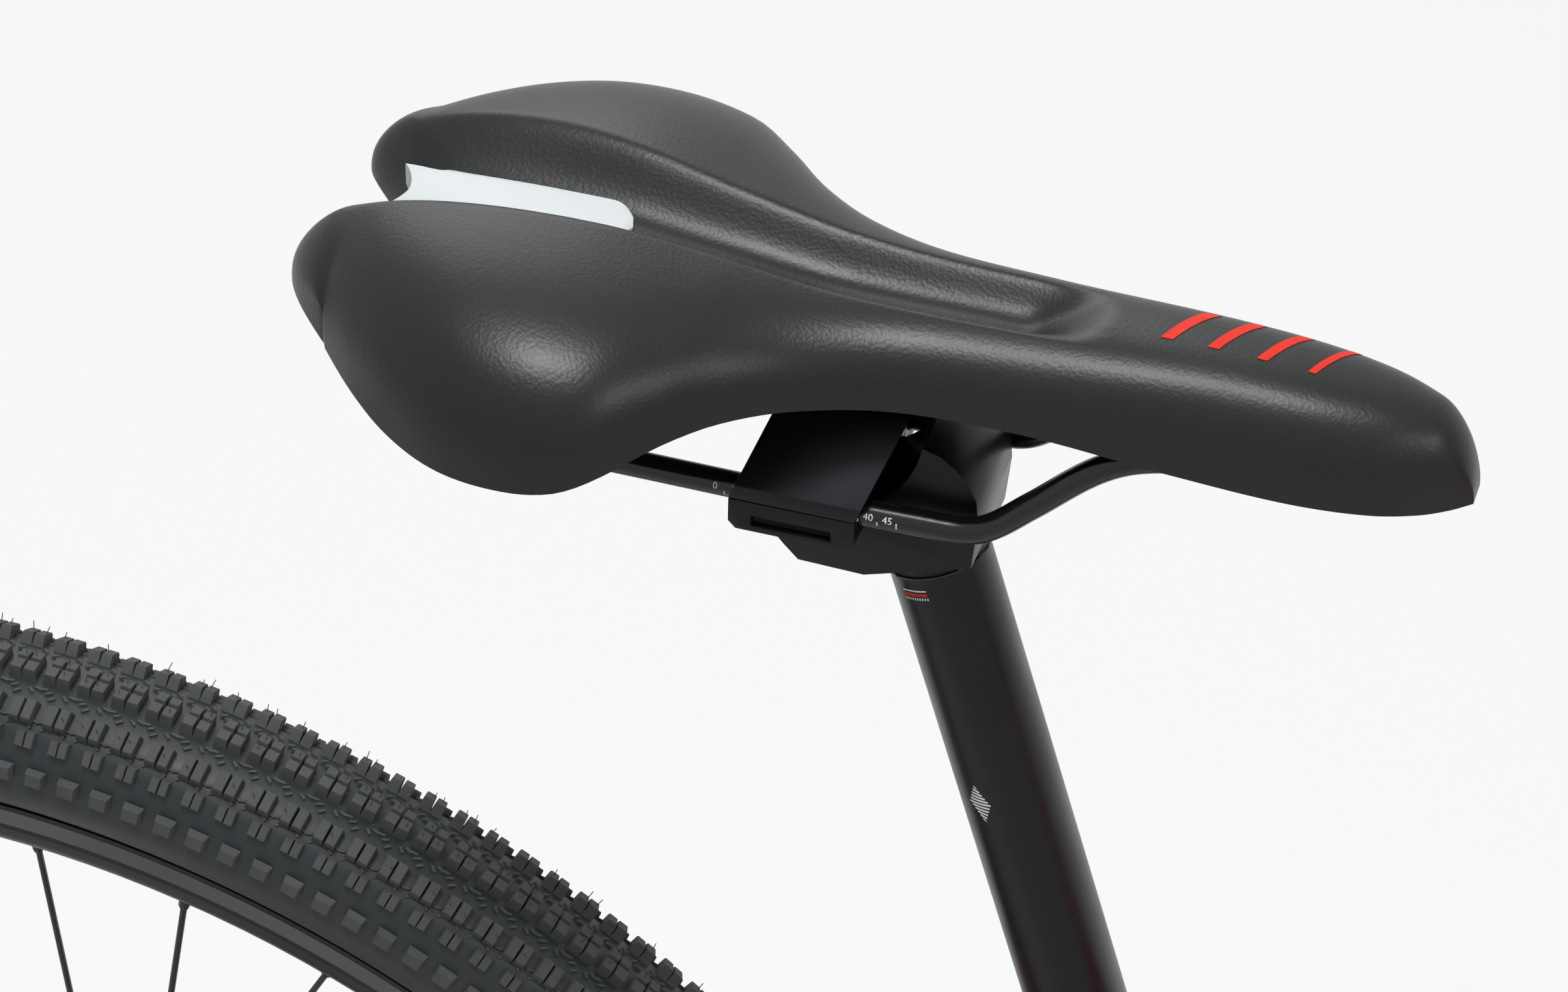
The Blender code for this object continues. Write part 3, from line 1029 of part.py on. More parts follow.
def skin(name, lengths, shares, inset, upper, lower, material):
    """A closed sheet over the saddle's plan between an upper and a lower surface."""
    rows = len(lengths)
    across = len(shares)
    tops = []
    bottoms = []
    for t in lengths:
        for share in shares:
            rear = saddle_rear(share)
            x = rear + inset + (SADDLE_NOSE - inset - rear - inset) * t
            y = share * (half_width(x) - inset)
            rear = saddle_rear(y / half_width(x))
            tops.append(tuple(on_seat(x, y, upper(x, y, rear)) - RAIL_POINT))
            bottoms.append(tuple(on_seat(x, y, lower(x, y, rear)) - RAIL_POINT))
    shared = inset == 0
    verts = list(tops)
    below = {}
    for k, place in enumerate(bottoms):
        row, column = divmod(k, across)
        rim = row in (0, rows - 1) or column in (0, across - 1)
        if shared and rim:
            below[k] = k
        else:
            below[k] = len(verts)
            verts.append(place)
    faces = []
    for row in range(rows - 1):
        for column in range(across - 1):
            corners = [row * across + column, row * across + column + 1, (row + 1) * across + column + 1,
                       (row + 1) * across + column]
            faces.append(corners)
            faces.append([below[c] for c in reversed(corners)])
    if not shared:
        loop = [c for c in range(across)] + [r * across + across - 1 for r in range(1, rows)]
        loop += [(rows - 1) * across + c for c in range(across - 2, -1, -1)] + [r * across for r in range(rows - 2, 0, -1)]
        for k, corner in enumerate(loop):
            after = loop[(k + 1) % len(loop)]
            faces.append([corner, after, below[after], below[corner]])
    return add_piece(name, verts, faces, frame_at(RAIL_POINT), material)


def make_saddle(looks):
    """The padded cover, the shell below it that takes the rails, and the pale plate at the rear."""
    lengths = [0] + PLATE_ROWS + [0.27, 0.34, 0.42, 0.51, 0.6, 0.7, 0.8, 0.88, 0.94, 0.975, 1]
    shares = [math.sin(math.radians(a)) for a in (-90, -74, -57, -40, -25, -14, -PLATE_ANGLE, 0, PLATE_ANGLE, 14, 25,
                                                  40, 57, 74, 90)]
    skin("saddle_pad", lengths, shares, 0, pad_top, pad_bottom, looks["cover"])
    shell = skin("saddle_shell", [0, 0.05, 0.1, 0.17, 0.25, 0.36, 0.51, 0.75, 1],
                 [-1, -0.84, -0.6, -0.3, 0, 0.3, 0.6, 0.84, 1], 15,
                 lambda x, y, rear: pad_bottom(x, y, rear) - SHELL_CLEARANCE,
                 lambda x, y, rear: pad_bottom(x, y, rear) - SHELL_CLEARANCE - 2.6, looks["plastic"])
    base = frame_at(RAIL_POINT)
    for side in (-1, 1):
        ends = sorted((side * 25, side * 37))
        unite(shell, block(f"rear_socket_{side + 2}", (-138, ends[0], 21), (-122, ends[1], 36.6), base, looks["plastic"]))
    unite(shell, block("nose_socket", (110, -9, 25), (123, 9, 35), base, looks["plastic"]))
    carve(shell, sweep("socket_cut", rail_path(GAP), RAIL_RADIUS + GAP, Matrix(), looks["plastic"], 8))
    make_plate(looks)


def make_plate(looks):
    """The pale shield at the rear of the channel, which follows the cover."""
    verts = []
    columns = 5
    rows = len(PLATE_ROWS)
    widths = [0.8, 0.95, 1, 1, 0.9, 0.5]
    for lift in (PLATE_CLEARANCE, PLATE_CLEARANCE + 1.4):
        for t, wide in zip(PLATE_ROWS, widths):
            for j in range(columns):
                share = wide * math.sin(math.radians(PLATE_ANGLE)) * (2 * j / (columns - 1) - 1)
                rear = saddle_rear(share)
                x = rear + (SADDLE_NOSE - rear) * t
                y = share * half_width(x)
                verts.append((x, y, pad_top(x, y, rear) + lift))
    size = rows * columns
    faces = []
    for row in range(rows - 1):
        for column in range(columns - 1):
            k = row * columns + column
            faces.append([k, k + 1, k + columns + 1, k + columns])
            faces.append([size + k, size + k + 1, size + k + columns + 1, size + k + columns])
    loop = list(range(columns)) + [r * columns + columns - 1 for r in range(1, rows)]
    loop += [(rows - 1) * columns + c for c in range(columns - 2, -1, -1)] + [r * columns for r in range(rows - 2, 0, -1)]
    for k, corner in enumerate(loop):
        after = loop[(k + 1) % len(loop)]
        faces.append([corner, after, size + after, size + corner])
    add_piece("saddle_plate", verts, faces, frame_at(RAIL_POINT), looks["plate"])


def stay_top(reach, side, lift):
    """A place on top of a chainstay, at a distance behind the bottom bracket."""
    spread = along_knots([(6, 29), (44, 31), (79, 34), (124, 41), (194, 50), (294, 61), (364, 67.5)], reach)
    share = reach / (BB.x - REAR_AXLE.x)
    tall = along_knots([(44, 11.5), (79, 12), (124, 11), (194, 9.5), (294, 8.5), (364, 8)], reach)
    return Vector((BB.x - reach, side * spread, BB.z + BB_DROP * share + tall + CABLE_RADIUS + lift))


def make_cables(looks):
    """The two brake hoses and the shift cable, each one free-lying run."""
    caliper = STEER_FORWARD * math.cos(FRONT_CALIPER_ANGLE) + STEER_UP * math.sin(FRONT_CALIPER_ANGLE)
    front = [on_bar(1, LEVER_REACH - 6, -12 - GAP, 0), on_bar(1, LEVER_REACH - 6, -18, 0),
             on_bar(1, LEVER_REACH - 6, -26, 0), on_fork(84, 96, 120),
             on_fork(66, 96, 50), on_fork(40, 97, -60), on_fork(10, 94, -180), on_fork(-10, 84, -300),
             FRONT_AXLE + caliper * 128 + Vector((0, 50, 0)), FRONT_AXLE + caliper * 102 + Vector((0, FRONT_ROTOR_Y, 0)),
             FRONT_AXLE + caliper * 96 + Vector((0, FRONT_ROTOR_Y, 0)),
             FRONT_AXLE + caliper * (90 + GAP) + Vector((0, FRONT_ROTOR_Y, 0))]
    sweep("brake_hose_front", smooth_path(front, 2), CABLE_RADIUS, Matrix(), looks["plastic"], 6, (1, 0.2, 0))
    tube = down_tube_path()
    beside = DOWN_TUBE_RADIUS + CABLE_RADIUS + 0.8
    rear_caliper = Vector((math.cos(REAR_CALIPER_ANGLE), 0, math.sin(REAR_CALIPER_ANGLE)))
    rear_front = Vector((rear_caliper.z, 0, -rear_caliper.x))
    runs = {1: [on_bar(-1, LEVER_REACH - 6, -12 - GAP, 0), on_bar(-1, LEVER_REACH - 6, -18, 0),
                on_bar(-1, LEVER_REACH - 6, -26, 0), on_fork(82, -58, 136), on_fork(70, 6, 100), on_fork(34, 34, 72)],
            -1: [on_bar(-1, 11.1, 34.8, -25.2), on_bar(-1, 12.7, 31.2, -29), on_bar(-1, 15, 26, -34.5),
                 on_fork(60, -92, 100), on_fork(34, -50, 62)]}
    for side, name in ((1, "brake_hose_rear"), (-1, "shift_cable")):
        across = Vector((0, side * beside, 0))
        points = runs[side] + [tube[1] + across * 1.15, tube[2] + across, tube[3] + across]
        points += [tube[3].lerp(tube[4], 0.35) + across, tube[3].lerp(tube[4], 0.72) + across,
                   BB + Vector((8, side * 27, 35)), BB + Vector((-20, side * 29, 28))]
        points += [stay_top(reach, side, 1.5) for reach in (44, 79, 124, 194, 294)]
        if side > 0:
            points += [REAR_AXLE + Vector((92, 61, 22)), REAR_AXLE + Vector((56, 59, 66)), REAR_AXLE + Vector((30, 55, 84))]
            points += [REAR_AXLE + rear_caliper * 86 + rear_front * away + Vector((0, REAR_ROTOR_Y, 0))
                       for away in (29, 23, 17 + GAP)]
        else:
            points += [REAR_AXLE + Vector((106, -68, 13)), REAR_AXLE + Vector((72, -84, 0)), REAR_AXLE + Vector((44, -85, -22))]
            points += [REAR_AXLE + Vector((HANGER_HOLE[0] + away, -84, HANGER_HOLE[2])) for away in (25, 19, 12 + GAP)]
        sweep(name, smooth_path(points, 2), CABLE_RADIUS, Matrix(), looks["plastic"], 5, (0.1, 0, 1))


def main():
    """Build the whole bike."""
    for old in list(bpy.data.objects):
        bpy.data.objects.remove(old, do_unlink=True)
    looks = make_finishes()
    make_frame(looks)
    make_wheels(looks)
    make_cassette(looks)
    make_chain(looks)
    make_cranks(looks)
    make_derailleur(looks)
    make_calipers(looks)
    make_fork(looks)
    make_stem(looks)
    make_cockpit(looks)
    make_seatpost(looks)
    make_clamp(looks)
    make_saddle(looks)
    make_cables(looks)


main()
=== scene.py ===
"""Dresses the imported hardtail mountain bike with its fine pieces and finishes, and sets up the studio.

X points forward, Y to the rider's left and Z up. Sizes are in millimetres and become metres where a mesh is made.
"""

import json
import random
from math import atan2, ceil, cos, exp, pi, radians, sin, sqrt

import bmesh
import bpy
from bpy.props import FloatVectorProperty, IntProperty, PointerProperty
from mathutils import Matrix, Vector

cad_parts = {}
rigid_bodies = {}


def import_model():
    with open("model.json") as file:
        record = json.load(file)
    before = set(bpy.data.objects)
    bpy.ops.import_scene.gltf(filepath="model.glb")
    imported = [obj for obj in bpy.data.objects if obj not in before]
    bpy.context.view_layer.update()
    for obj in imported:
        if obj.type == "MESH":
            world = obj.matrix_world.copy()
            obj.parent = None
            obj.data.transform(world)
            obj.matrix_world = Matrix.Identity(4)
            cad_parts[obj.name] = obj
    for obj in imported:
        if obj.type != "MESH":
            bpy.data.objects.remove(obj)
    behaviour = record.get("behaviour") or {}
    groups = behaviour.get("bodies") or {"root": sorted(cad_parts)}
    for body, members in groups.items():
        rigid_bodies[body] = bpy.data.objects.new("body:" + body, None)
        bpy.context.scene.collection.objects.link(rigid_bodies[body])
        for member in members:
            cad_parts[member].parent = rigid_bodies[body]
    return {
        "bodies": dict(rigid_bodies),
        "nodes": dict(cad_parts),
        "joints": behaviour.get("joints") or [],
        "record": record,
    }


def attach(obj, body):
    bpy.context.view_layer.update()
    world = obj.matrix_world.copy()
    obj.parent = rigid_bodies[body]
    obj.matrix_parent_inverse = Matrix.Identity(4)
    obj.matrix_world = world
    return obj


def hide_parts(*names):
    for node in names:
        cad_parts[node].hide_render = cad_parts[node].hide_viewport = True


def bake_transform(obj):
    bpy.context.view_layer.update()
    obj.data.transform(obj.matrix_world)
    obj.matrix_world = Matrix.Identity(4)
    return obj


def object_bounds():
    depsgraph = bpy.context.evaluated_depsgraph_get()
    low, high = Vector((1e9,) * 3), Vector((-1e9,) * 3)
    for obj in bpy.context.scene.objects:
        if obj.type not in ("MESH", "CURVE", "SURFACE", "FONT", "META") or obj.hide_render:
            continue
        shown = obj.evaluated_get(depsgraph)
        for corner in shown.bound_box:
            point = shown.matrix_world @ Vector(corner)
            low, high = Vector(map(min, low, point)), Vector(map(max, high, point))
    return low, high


bl_info = {"name": "Hardtail mountain bike", "version": (1, 0, 0), "blender": (4, 5, 0),
    "location": "View3D > Sidebar > Bike",
    "description": "Builds the fine pieces, finishes and studio of a hardtail mountain bike", "category": "Add Mesh",}

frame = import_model()
CAD_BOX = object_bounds()
BODY_OF = {node: body for body, nodes in frame["record"]["behaviour"]["bodies"].items() for node in nodes}
MADE = {}
FINISHES = {}
HELPERS = []
ROUND = 3  # how many times rounder the fine pieces are than the plain solids

MM = 0.001
SHARP = radians(38)  # the least angle of an edge that stays sharp
GAP = 0.3  # clearance between pieces that touch on the real bike
RUN = 0.6  # clearance between a shaft and what turns on it

# Driving sizes of the bike
WHEELBASE = 1090.0
WHEEL_RADIUS = 344.0
CHAINSTAY = 440.0
BB_DROP = 30.0
SEAT_ANGLE = radians(72.1)
HEAD_ANGLE = radians(70.0)
FORK_OFFSET = 43.0
AXLE_TO_CROWN = 483.0
SEAT_TUBE_LENGTH = 330.0
RAIL_HEIGHT = 526.7  # from the bottom bracket to the saddle rails, along the seatpost

# Tubes of the frame
HEAD_TUBE_LENGTH = 115.0
HEAD_TUBE_RADIUS = 22.0
TOP_TUBE_RADIUS = 17.0
DOWN_TUBE_RADIUS = 21.0
SEAT_TUBE_RADIUS = 17.0
POST_RADIUS = 13.6
POST_LENGTH = 350.0
BB_RADIUS = 20.0
BB_HALF_WIDTH = 36.5
CUP_RADIUS = 21.5
CUP_WIDTH = 7.5
DROPOUT_INNER = 67.8
DROPOUT_THICKNESS = 7.0
SPINDLE_RADIUS = 12.0

# How far out a chainstay runs, by its reach behind the crank.
STAY_SPREAD = [(6, 29), (44, 31), (79, 34), (124, 41), (194, 50), (294, 61), (364, 67.5)]

# Steering and fork
STEERER_RADIUS = 14.3
CUP_STACK = 12.0
UPPER_STACK = 22.4
STANCHION_RADIUS = 15.0
LEG_SPREAD = 66.0
LEG_FORWARD = 28.0
LEG_RADIUS = 18.5
CROWN_HEIGHT = 38.0
SEAL_DROP = 155.0
STEM_HEIGHT = 40.0
STEM_LENGTH = 70.0
STEM_RISE = radians(6.0)
BAR_RADIUS = 15.9
BAR_END_RADIUS = 11.1
BAR_HALF_WIDTH = 340.0
BAR_RISE = 18.0
GRIP_RADIUS = 15.5
GRIP_STRAIGHT = 190.0
GRIP_BEND = BAR_HALF_WIDTH - GRIP_STRAIGHT
BACKSWEEP = radians(9)
LEVER_DROP = radians(25)
LEVER_REACH = 34.0
LEVER_PIVOT = 46.0

# Wheels
TYRE_HEIGHT = 46.0  # from the rim's edge to the tread
RIM_WELL = 8.0
RIM_DEPTH = 18.3
RIM_OUTER = WHEEL_RADIUS - TYRE_HEIGHT
RIM_BED = RIM_OUTER - RIM_WELL
RIM_INNER = RIM_OUTER - RIM_DEPTH
RIM_HALF_WIDTH = 13.6
FLANGE_WALL = 1.4
SPOKES = 36
SPOKE_CROSS = 3
FIRST_SPOKE = radians(86.4)
FLANGE_RADIUS = 29.0
SPOKE_CIRCLE = 26.0
FLANGE_HALF = 1.5
SPOKE_OFFSET = 2.2  # how far a spoke stands off its flange's middle, out or in
AXLE_RADIUS = 7.0
AXLE_END_RADIUS = 5.0
REAR_HALF_AXLE = 67.5
FRONT_HALF_AXLE = 50.0
ROTOR_RADIUS = 80.0
ROTOR_THICKNESS = 2.0
REAR_ROTOR_Y = 51.0
FRONT_ROTOR_Y = 38.6

# Drivetrain
CHAIN_PITCH = 12.7
CHAIN_PLANE = -46.7
RING_TEETH = 32
SPROCKET_TEETH = (12, 14, 16, 18, 21, 24, 28)
SPROCKET_STEP = 5.0
ENGAGED = 3
JOCKEY_TEETH = 11
JOCKEY_SPACING = 57.0
CRANK_LENGTH = 170.0
CRANK_FACE = 80.0
PEDAL_WIDTH = 90.0
PEDAL_LENGTH = 94.0
PEDAL_THICKNESS = 16.0
LINK_LENGTH = 38.0

# Saddle and its clamp
RAIL_RADIUS = 3.5
RAIL_SPREAD = 22.0
CLAMP_REAR = -40.1
CLAMP_FRONT = -7.1
CLAMP_LEAN = 0.37
CLAMP_HALF_WIDTH = 28.0
BRIDGE_HEIGHT = 23.0
SEAT_ARC_RADIUS = 29.5
SEAT_ARC_CENTRE = (-23.1, 22.0)
CRADLE_DEPTH = 9.0
HEAD_HALF_WIDTH = 16.0
SADDLE_REAR = -156.1
SADDLE_NOSE = 140.9
SADDLE_NOTCH = 20.0
CORNER_SHARE = 0.45  # share of the half width that a rear corner takes
CORNER_CUT = 17.0  # how much shorter the saddle is at its widest edge
REAR_ROLL = 13.0  # how far in the cover's rear edge is rounded
NOSE_ROLL = 12.0
CHANNEL_END = 46.0
SHELL_CLEARANCE = 2.4
PLATE_CLEARANCE = 1.9
CABLE_RADIUS = 2.5
CABLE_EXIT = (11, 35, -25)

# Places worked out from the driving sizes
REAR_AXLE = Vector((-WHEELBASE / 2, 0, WHEEL_RADIUS))
FRONT_AXLE = Vector((WHEELBASE / 2, 0, WHEEL_RADIUS))
BB = REAR_AXLE + Vector((sqrt(CHAINSTAY ** 2 - BB_DROP ** 2), 0, -BB_DROP))
SEAT_UP = Vector((-cos(SEAT_ANGLE), 0, sin(SEAT_ANGLE)))
STEER_UP = Vector((-cos(HEAD_ANGLE), 0, sin(HEAD_ANGLE)))
STEER_FORWARD = Vector((sin(HEAD_ANGLE), 0, cos(HEAD_ANGLE)))
CROWN = FRONT_AXLE - STEER_FORWARD * FORK_OFFSET + STEER_UP * AXLE_TO_CROWN
RAIL_POINT = BB + SEAT_UP * RAIL_HEIGHT
HEAD_BOTTOM = CUP_STACK
HEAD_TOP = CUP_STACK + HEAD_TUBE_LENGTH
STEM_BOTTOM = HEAD_TOP + UPPER_STACK + GAP
BAR_CENTRE = (CROWN + STEER_UP * (STEM_BOTTOM + STEM_HEIGHT / 2 + STEM_LENGTH * sin(STEM_RISE)) + STEER_FORWARD
    * STEM_LENGTH * cos(STEM_RISE))

# Turned places
CRANK_ANGLE = radians(-25)
REAR_CALIPER_UP = Vector((cos(radians(105)), 0, sin(radians(105))))
FRONT_CALIPER_UP = STEER_FORWARD * cos(radians(125)) + STEER_UP * sin(radians(125))
LEG_TAB_INNER = 52.0

# Derailleur places, from the rear axle in X and Z
HANGER_HOLE = (6.0, 0.0, -28.0)
LINK_TOP = REAR_AXLE + Vector((6.0, -83.0, -47.0))
LINK_BOTTOM = LINK_TOP - Vector((0, 0, LINK_LENGTH))
JOCKEY_UPPER = REAR_AXLE + Vector((12.0, CHAIN_PLANE, -88.0))
CAGE_LEAN = radians(25)
JOCKEY_LOWER = JOCKEY_UPPER + Vector((sin(CAGE_LEAN), 0, -cos(CAGE_LEAN))) * JOCKEY_SPACING

# Details that only the fine pieces have
HAIR_LENGTH = 3.4  # of the hairs that the mould leaves on the tyre
PLATE_FRONT = -75.5  # where the saddle's plate ends
MARK_TURN = -18.0  # which way the seatpost's marks face, from straight right
SCALE_START = -42.0  # where the rails' setting scale begins
SCALE_STEP = 5
SCALE_MARKS = 10
BARS = [(61.2, 3.0), (72.8, 2.8), (85.0, 2.6), (97.6, 1.9)]  # start and width of the saddle's red bars


def hex_colour(code):
    """A linear colour from an sRGB hex value. One that is linear already, from a colour property, passes through."""
    if not isinstance(code, str):
        return tuple(code)[:3] + (1.0,)
    channels = [int(code[k:k + 2], 16) / 255 for k in (1, 3, 5)]
    return tuple(c / 12.92 if c <= 0.04045 else ((c + 0.055) / 1.055) ** 2.4 for c in channels) + (1.0,)


def add(tree, kind, values=None):
    """Add a node. A value sets an input or a property; a socket, or a node's first output, is linked to an input."""
    made = tree.nodes.new(kind)
    for key, value in (values or {}).items():
        if isinstance(value, bpy.types.Node):
            value = value.outputs[0]
        if isinstance(value, bpy.types.NodeSocket):
            tree.links.new(value, made.inputs[key])
        elif isinstance(key, int) or key in made.inputs:
            made.inputs[key].default_value = value
        else:
            setattr(made, key, value)
    return made


def maths(tree, operation, *values):
    """A math node on one value after the other."""
    return add(tree, "ShaderNodeMath", {"operation": operation, **dict(enumerate(values))})


def noise(tree, scale, detail, place, **own):
    """A noise texture at a place."""
    return add(tree, "ShaderNodeTexNoise", {"Scale": scale, "Detail": detail, "Vector": place, **own})


def bumps(tree, strength, distance, height):
    """A relief from a height."""
    return add(tree, "ShaderNodeBump", {"Strength": strength, "Distance": distance, "Height": height})


def surface(name, slot, tones, drift, grain, gloss, relief, stretch=(1, 1, 1), **own):
    """A finish: two tones that drift into each other, and a grain in millimetres that moves gloss and relief."""
    material = bpy.data.materials.new(name)
    material.use_nodes = True
    material["slot"] = slot
    tree = material.node_tree
    shader = tree.nodes["Principled BSDF"]
    place = add(tree, "ShaderNodeTexCoord").outputs["Object"]
    spread = add(tree, "ShaderNodeMapping", {"Scale": stretch, "Vector": place})
    cloud = noise(tree, 1000 / drift, 4.0, place)
    tone = add(tree, "ShaderNodeMix",
        {"data_type": "RGBA", 0: cloud, 6: hex_colour(tones[0]), 7: hex_colour(tones[1])})
    fine = noise(tree, 1000 / grain, 3.0, spread)
    worn = maths(tree, "MULTIPLY_ADD", fine, 0.5, cloud)
    shine = add(tree, "ShaderNodeMapRange", {"From Min": 0.3, "From Max": 1.1, "To Min": gloss[0], "To Max": gloss[1],
        "Value": worn})
    bump = bumps(tree, relief[0], relief[1] * MM, fine)
    for source, socket in ((tone.outputs[2], "Base Color"), (shine.outputs[0], "Roughness"),
            (bump.outputs[0], "Normal")):
        tree.links.new(source, shader.inputs[socket])
    for key, value in own.items():
        shader.inputs[key.replace("_", " ").title().replace("Ior", "IOR")].default_value = value
    material.diffuse_color = hex_colour(tones[0])
    return material


def make_finishes(paints):
    """One finish for each kind of surface on the bike."""
    return {
        # Gloss black enamel, sprayed: sharp highlights that wander a little over a faint orange peel.
        "frame": surface("gloss_black_enamel", "frame_paint", ("#0b0b0c", "#101112"), 60, 2.5, (0.2, 0.3),
                         (0.12, 0.05), specular_ior_level=0.3, coat_weight=0.25, coat_roughness=0.06),
        # Gloss red enamel, sprayed over a primer: the same peel, with a slightly deeper red in places.
        "accent": surface("gloss_red_enamel", "red_paint", (paints.accent, "#a8180f"), 70, 2.5, (0.22, 0.32),
                          (0.12, 0.05), coat_weight=0.6, coat_roughness=0.06),
        # Black anodised aluminium, bead blasted: a soft grey sheen with a sandy sparkle.
        "alloy": surface("black_anodised_aluminium", "black_anodised", ("#191a1c", "#222326"), 30, 0.7, (0.28, 0.42),
                         (0.18, 0.04), metallic=0.85),
        # Hard-chromed steel tube, ground: nearly a mirror with very fine rings round it.
        "silver": surface("hard_chromed_steel", "steel", ("#9c9da0", "#8c8d90"), 50, 1.2, (0.12, 0.2), (0.05, 0.02),
                          stretch=(1, 1, 8), metallic=1.0),
        # Dark anodised extruded rim: dull grey metal with faint dust.
        "rim": surface("dark_anodised_extrusion", "dark_alloy", ("#34332f", "#2a2928"), 45, 1.0, (0.36, 0.5),
                       (0.15, 0.04), metallic=0.8),
        # Turned aluminium sidewall: brighter, with fine lathe lines.
        "machined": surface("turned_aluminium", "dark_alloy", ("#5c5a58", "#4d4b4a"), 35, 0.8, (0.28, 0.4),
                            (0.2, 0.03), stretch=(1, 4, 1), metallic=1.0),
        # Zinc-plated steel: grey with a slightly mottled shine.
        "steel": surface("zinc_plated_steel", "steel", ("#8b8c8f", "#737478"), 18, 0.9, (0.26, 0.42), (0.15, 0.03),
                         metallic=1.0),
        # Drawn black spokes and nipples: dark wire with a dull shine.
        "wire": surface("blackened_wire", "steel", ("#3a3b3d", "#2c2d2f"), 20, 0.8, (0.34, 0.46), (0.1, 0.02),
                        metallic=0.8),
        # Vulcanised tyre casing: dark grey, matt, with a fine cloth print and dull patches.
        "rubber": surface("vulcanised_casing", "tyre_rubber", ("#1c2022", "#262b2d"), 40, 0.8, (0.42, 0.6),
                          (0.35, 0.08), specular_ior_level=0.4),
        # Tread blocks: paler grey than the casing between them, a painted highlight that stands for the light falling
        # on the blocks' tops.
        "knob": surface("dusted_tread_rubber", "tyre_rubber", ("#3e3f3f", "#565757"), 9, 0.9, (0.7, 0.9), (0.4, 0.1),
                        specular_ior_level=0.3),
        # Soft moulded grip rubber: almost black, with a dry bloom.
        "grip": surface("moulded_grip_rubber", "grip_rubber", ("#151516", "#202021"), 22, 1.1, (0.7, 0.9),
                        (0.4, 0.1)),
        # Injection-moulded ABS with a spark-eroded grain.
        "plastic": surface("grained_abs", "black_plastic", ("#121213", "#1a1a1b"), 45, 0.6, (0.4, 0.55),
                           (0.25, 0.05)),
        # Coated saddle cloth: charcoal, with a pebbled grain about 0.9 mm across that breaks up every highlight.
        "cover": leather(paints),
        # Gloss-moulded pale ABS: smooth, a little uneven in its white.
        "plate": surface("gloss_moulded_abs", "pale_plate", (paints.plate, "#c1c7c8"), 40, 6, (0.3, 0.4),
                         (0.05, 0.03), specular_ior_level=0.3),
        # Gloss black paint on bent wire: wet highlights with small dimples.
        "rail": surface("gloss_black_wire_paint", "black_steel", ("#070707", "#0d0d0d"), 20, 1.8, (0.16, 0.26),
                        (0.3, 0.06), specular_ior_level=0.3, coat_weight=0.15, coat_roughness=0.05),
        # Pad-printed white and red ink: flat colour with slightly broken cover.
        "ink": surface("white_print", "pale_plate", ("#eef1f2", "#dfe3e5"), 6, 0.5, (0.35, 0.5), (0.1, 0.01)),
        "red_ink": surface("red_print", "red_paint", ("#dc3120", "#cc2a1a"), 6, 0.5, (0.45, 0.6), (0.1, 0.01),
                           specular_ior_level=0.2),
    }


def leather(paints):
    """Coated saddle cloth whose pebbles and creases both move its relief."""
    material = surface("coated_saddle_cloth", "saddle_cover", (paints.cover, "#151717"), 55, 0.95, (0.32, 0.4),
        (0, 0.05), specular_ior_level=0.3)
    tree = material.node_tree
    place = add(tree, "ShaderNodeTexCoord").outputs["Object"]
    bend = noise(tree, 420.0, 2.0, place)
    push = add(tree, "ShaderNodeVectorMath", {"operation": "MULTIPLY_ADD", 0: bend.outputs["Color"],
        1: (0.0009, 0.0009, 0.0009), 2: place})
    pebble = add(tree, "ShaderNodeTexVoronoi", {"feature": "SMOOTH_F1", "Scale": 1050.0, "Smoothness": 0.6,
        "Vector": push})
    crease = noise(tree, 700.0, 5.0, place, Roughness=0.65)
    height = maths(tree, "MULTIPLY_ADD", crease, 0.8, pebble)
    grain = bumps(tree, 0.3, 0.00014, height)
    tree.links.new(grain.outputs[0], tree.nodes["Principled BSDF"].inputs["Normal"])
    return material


def show(piece):
    """Put an object into the scene."""
    bpy.context.scene.collection.objects.link(piece)
    return piece


def add_piece(name, verts, faces, frame, material):
    """Make an object from corners in millimetres and faces, with its place in its mesh and its faces outwards."""
    mesh = bpy.data.meshes.new(name)
    mesh.from_pydata([frame @ (Vector(v) * MM) for v in verts], [], faces)
    work = bmesh.new()
    work.from_mesh(mesh)
    bmesh.ops.recalc_face_normals(work, faces=work.faces)
    work.to_mesh(mesh)
    work.free()
    mesh.materials.append(FINISHES[material])
    smooth(mesh)
    MADE[name] = show(bpy.data.objects.new(name, mesh))
    return MADE[name]


def smooth(mesh):
    """Smooth shading that keeps real edges sharp."""
    mesh.shade_smooth()
    mesh.set_sharp_from_angle(angle=SHARP)


def bake(piece):
    """Turn a piece with its modifiers into a plain mesh."""
    view = bpy.context.evaluated_depsgraph_get()
    view.update()
    mesh = bpy.data.meshes.new_from_object(piece.evaluated_get(view))
    piece.modifiers.clear()
    piece.data = mesh


def lathe(name, profile, frame, sides=24, material="alloy", small=False):
    """Turn (radius, height) points round the frame's Z: a ring, or a solid if it ends on the axis. A small shape that
    is repeated keeps few sides."""
    sides *= 1 if small else ROUND
    verts = []
    rings = []
    for radius, height in profile:
        count = sides if radius > 0 else 1
        rings.append(range(len(verts), len(verts) + count))
        verts += [(*spot(radius, 2 * pi * (k + 0.5 * small) / sides), height) for k in range(count)]
    closed = not small and min(radius for radius, _ in profile) > 0
    faces = []
    for low, high in zip(rings, rings[1:] + rings[:1] if closed else rings[1:]):
        for k in range(sides):
            corners = [low[k % len(low)], low[(k + 1) % len(low)], high[(k + 1) % len(high)], high[k % len(high)]]
            faces.append(list(dict.fromkeys(corners)))
    return add_piece(name, verts, faces, frame, material)


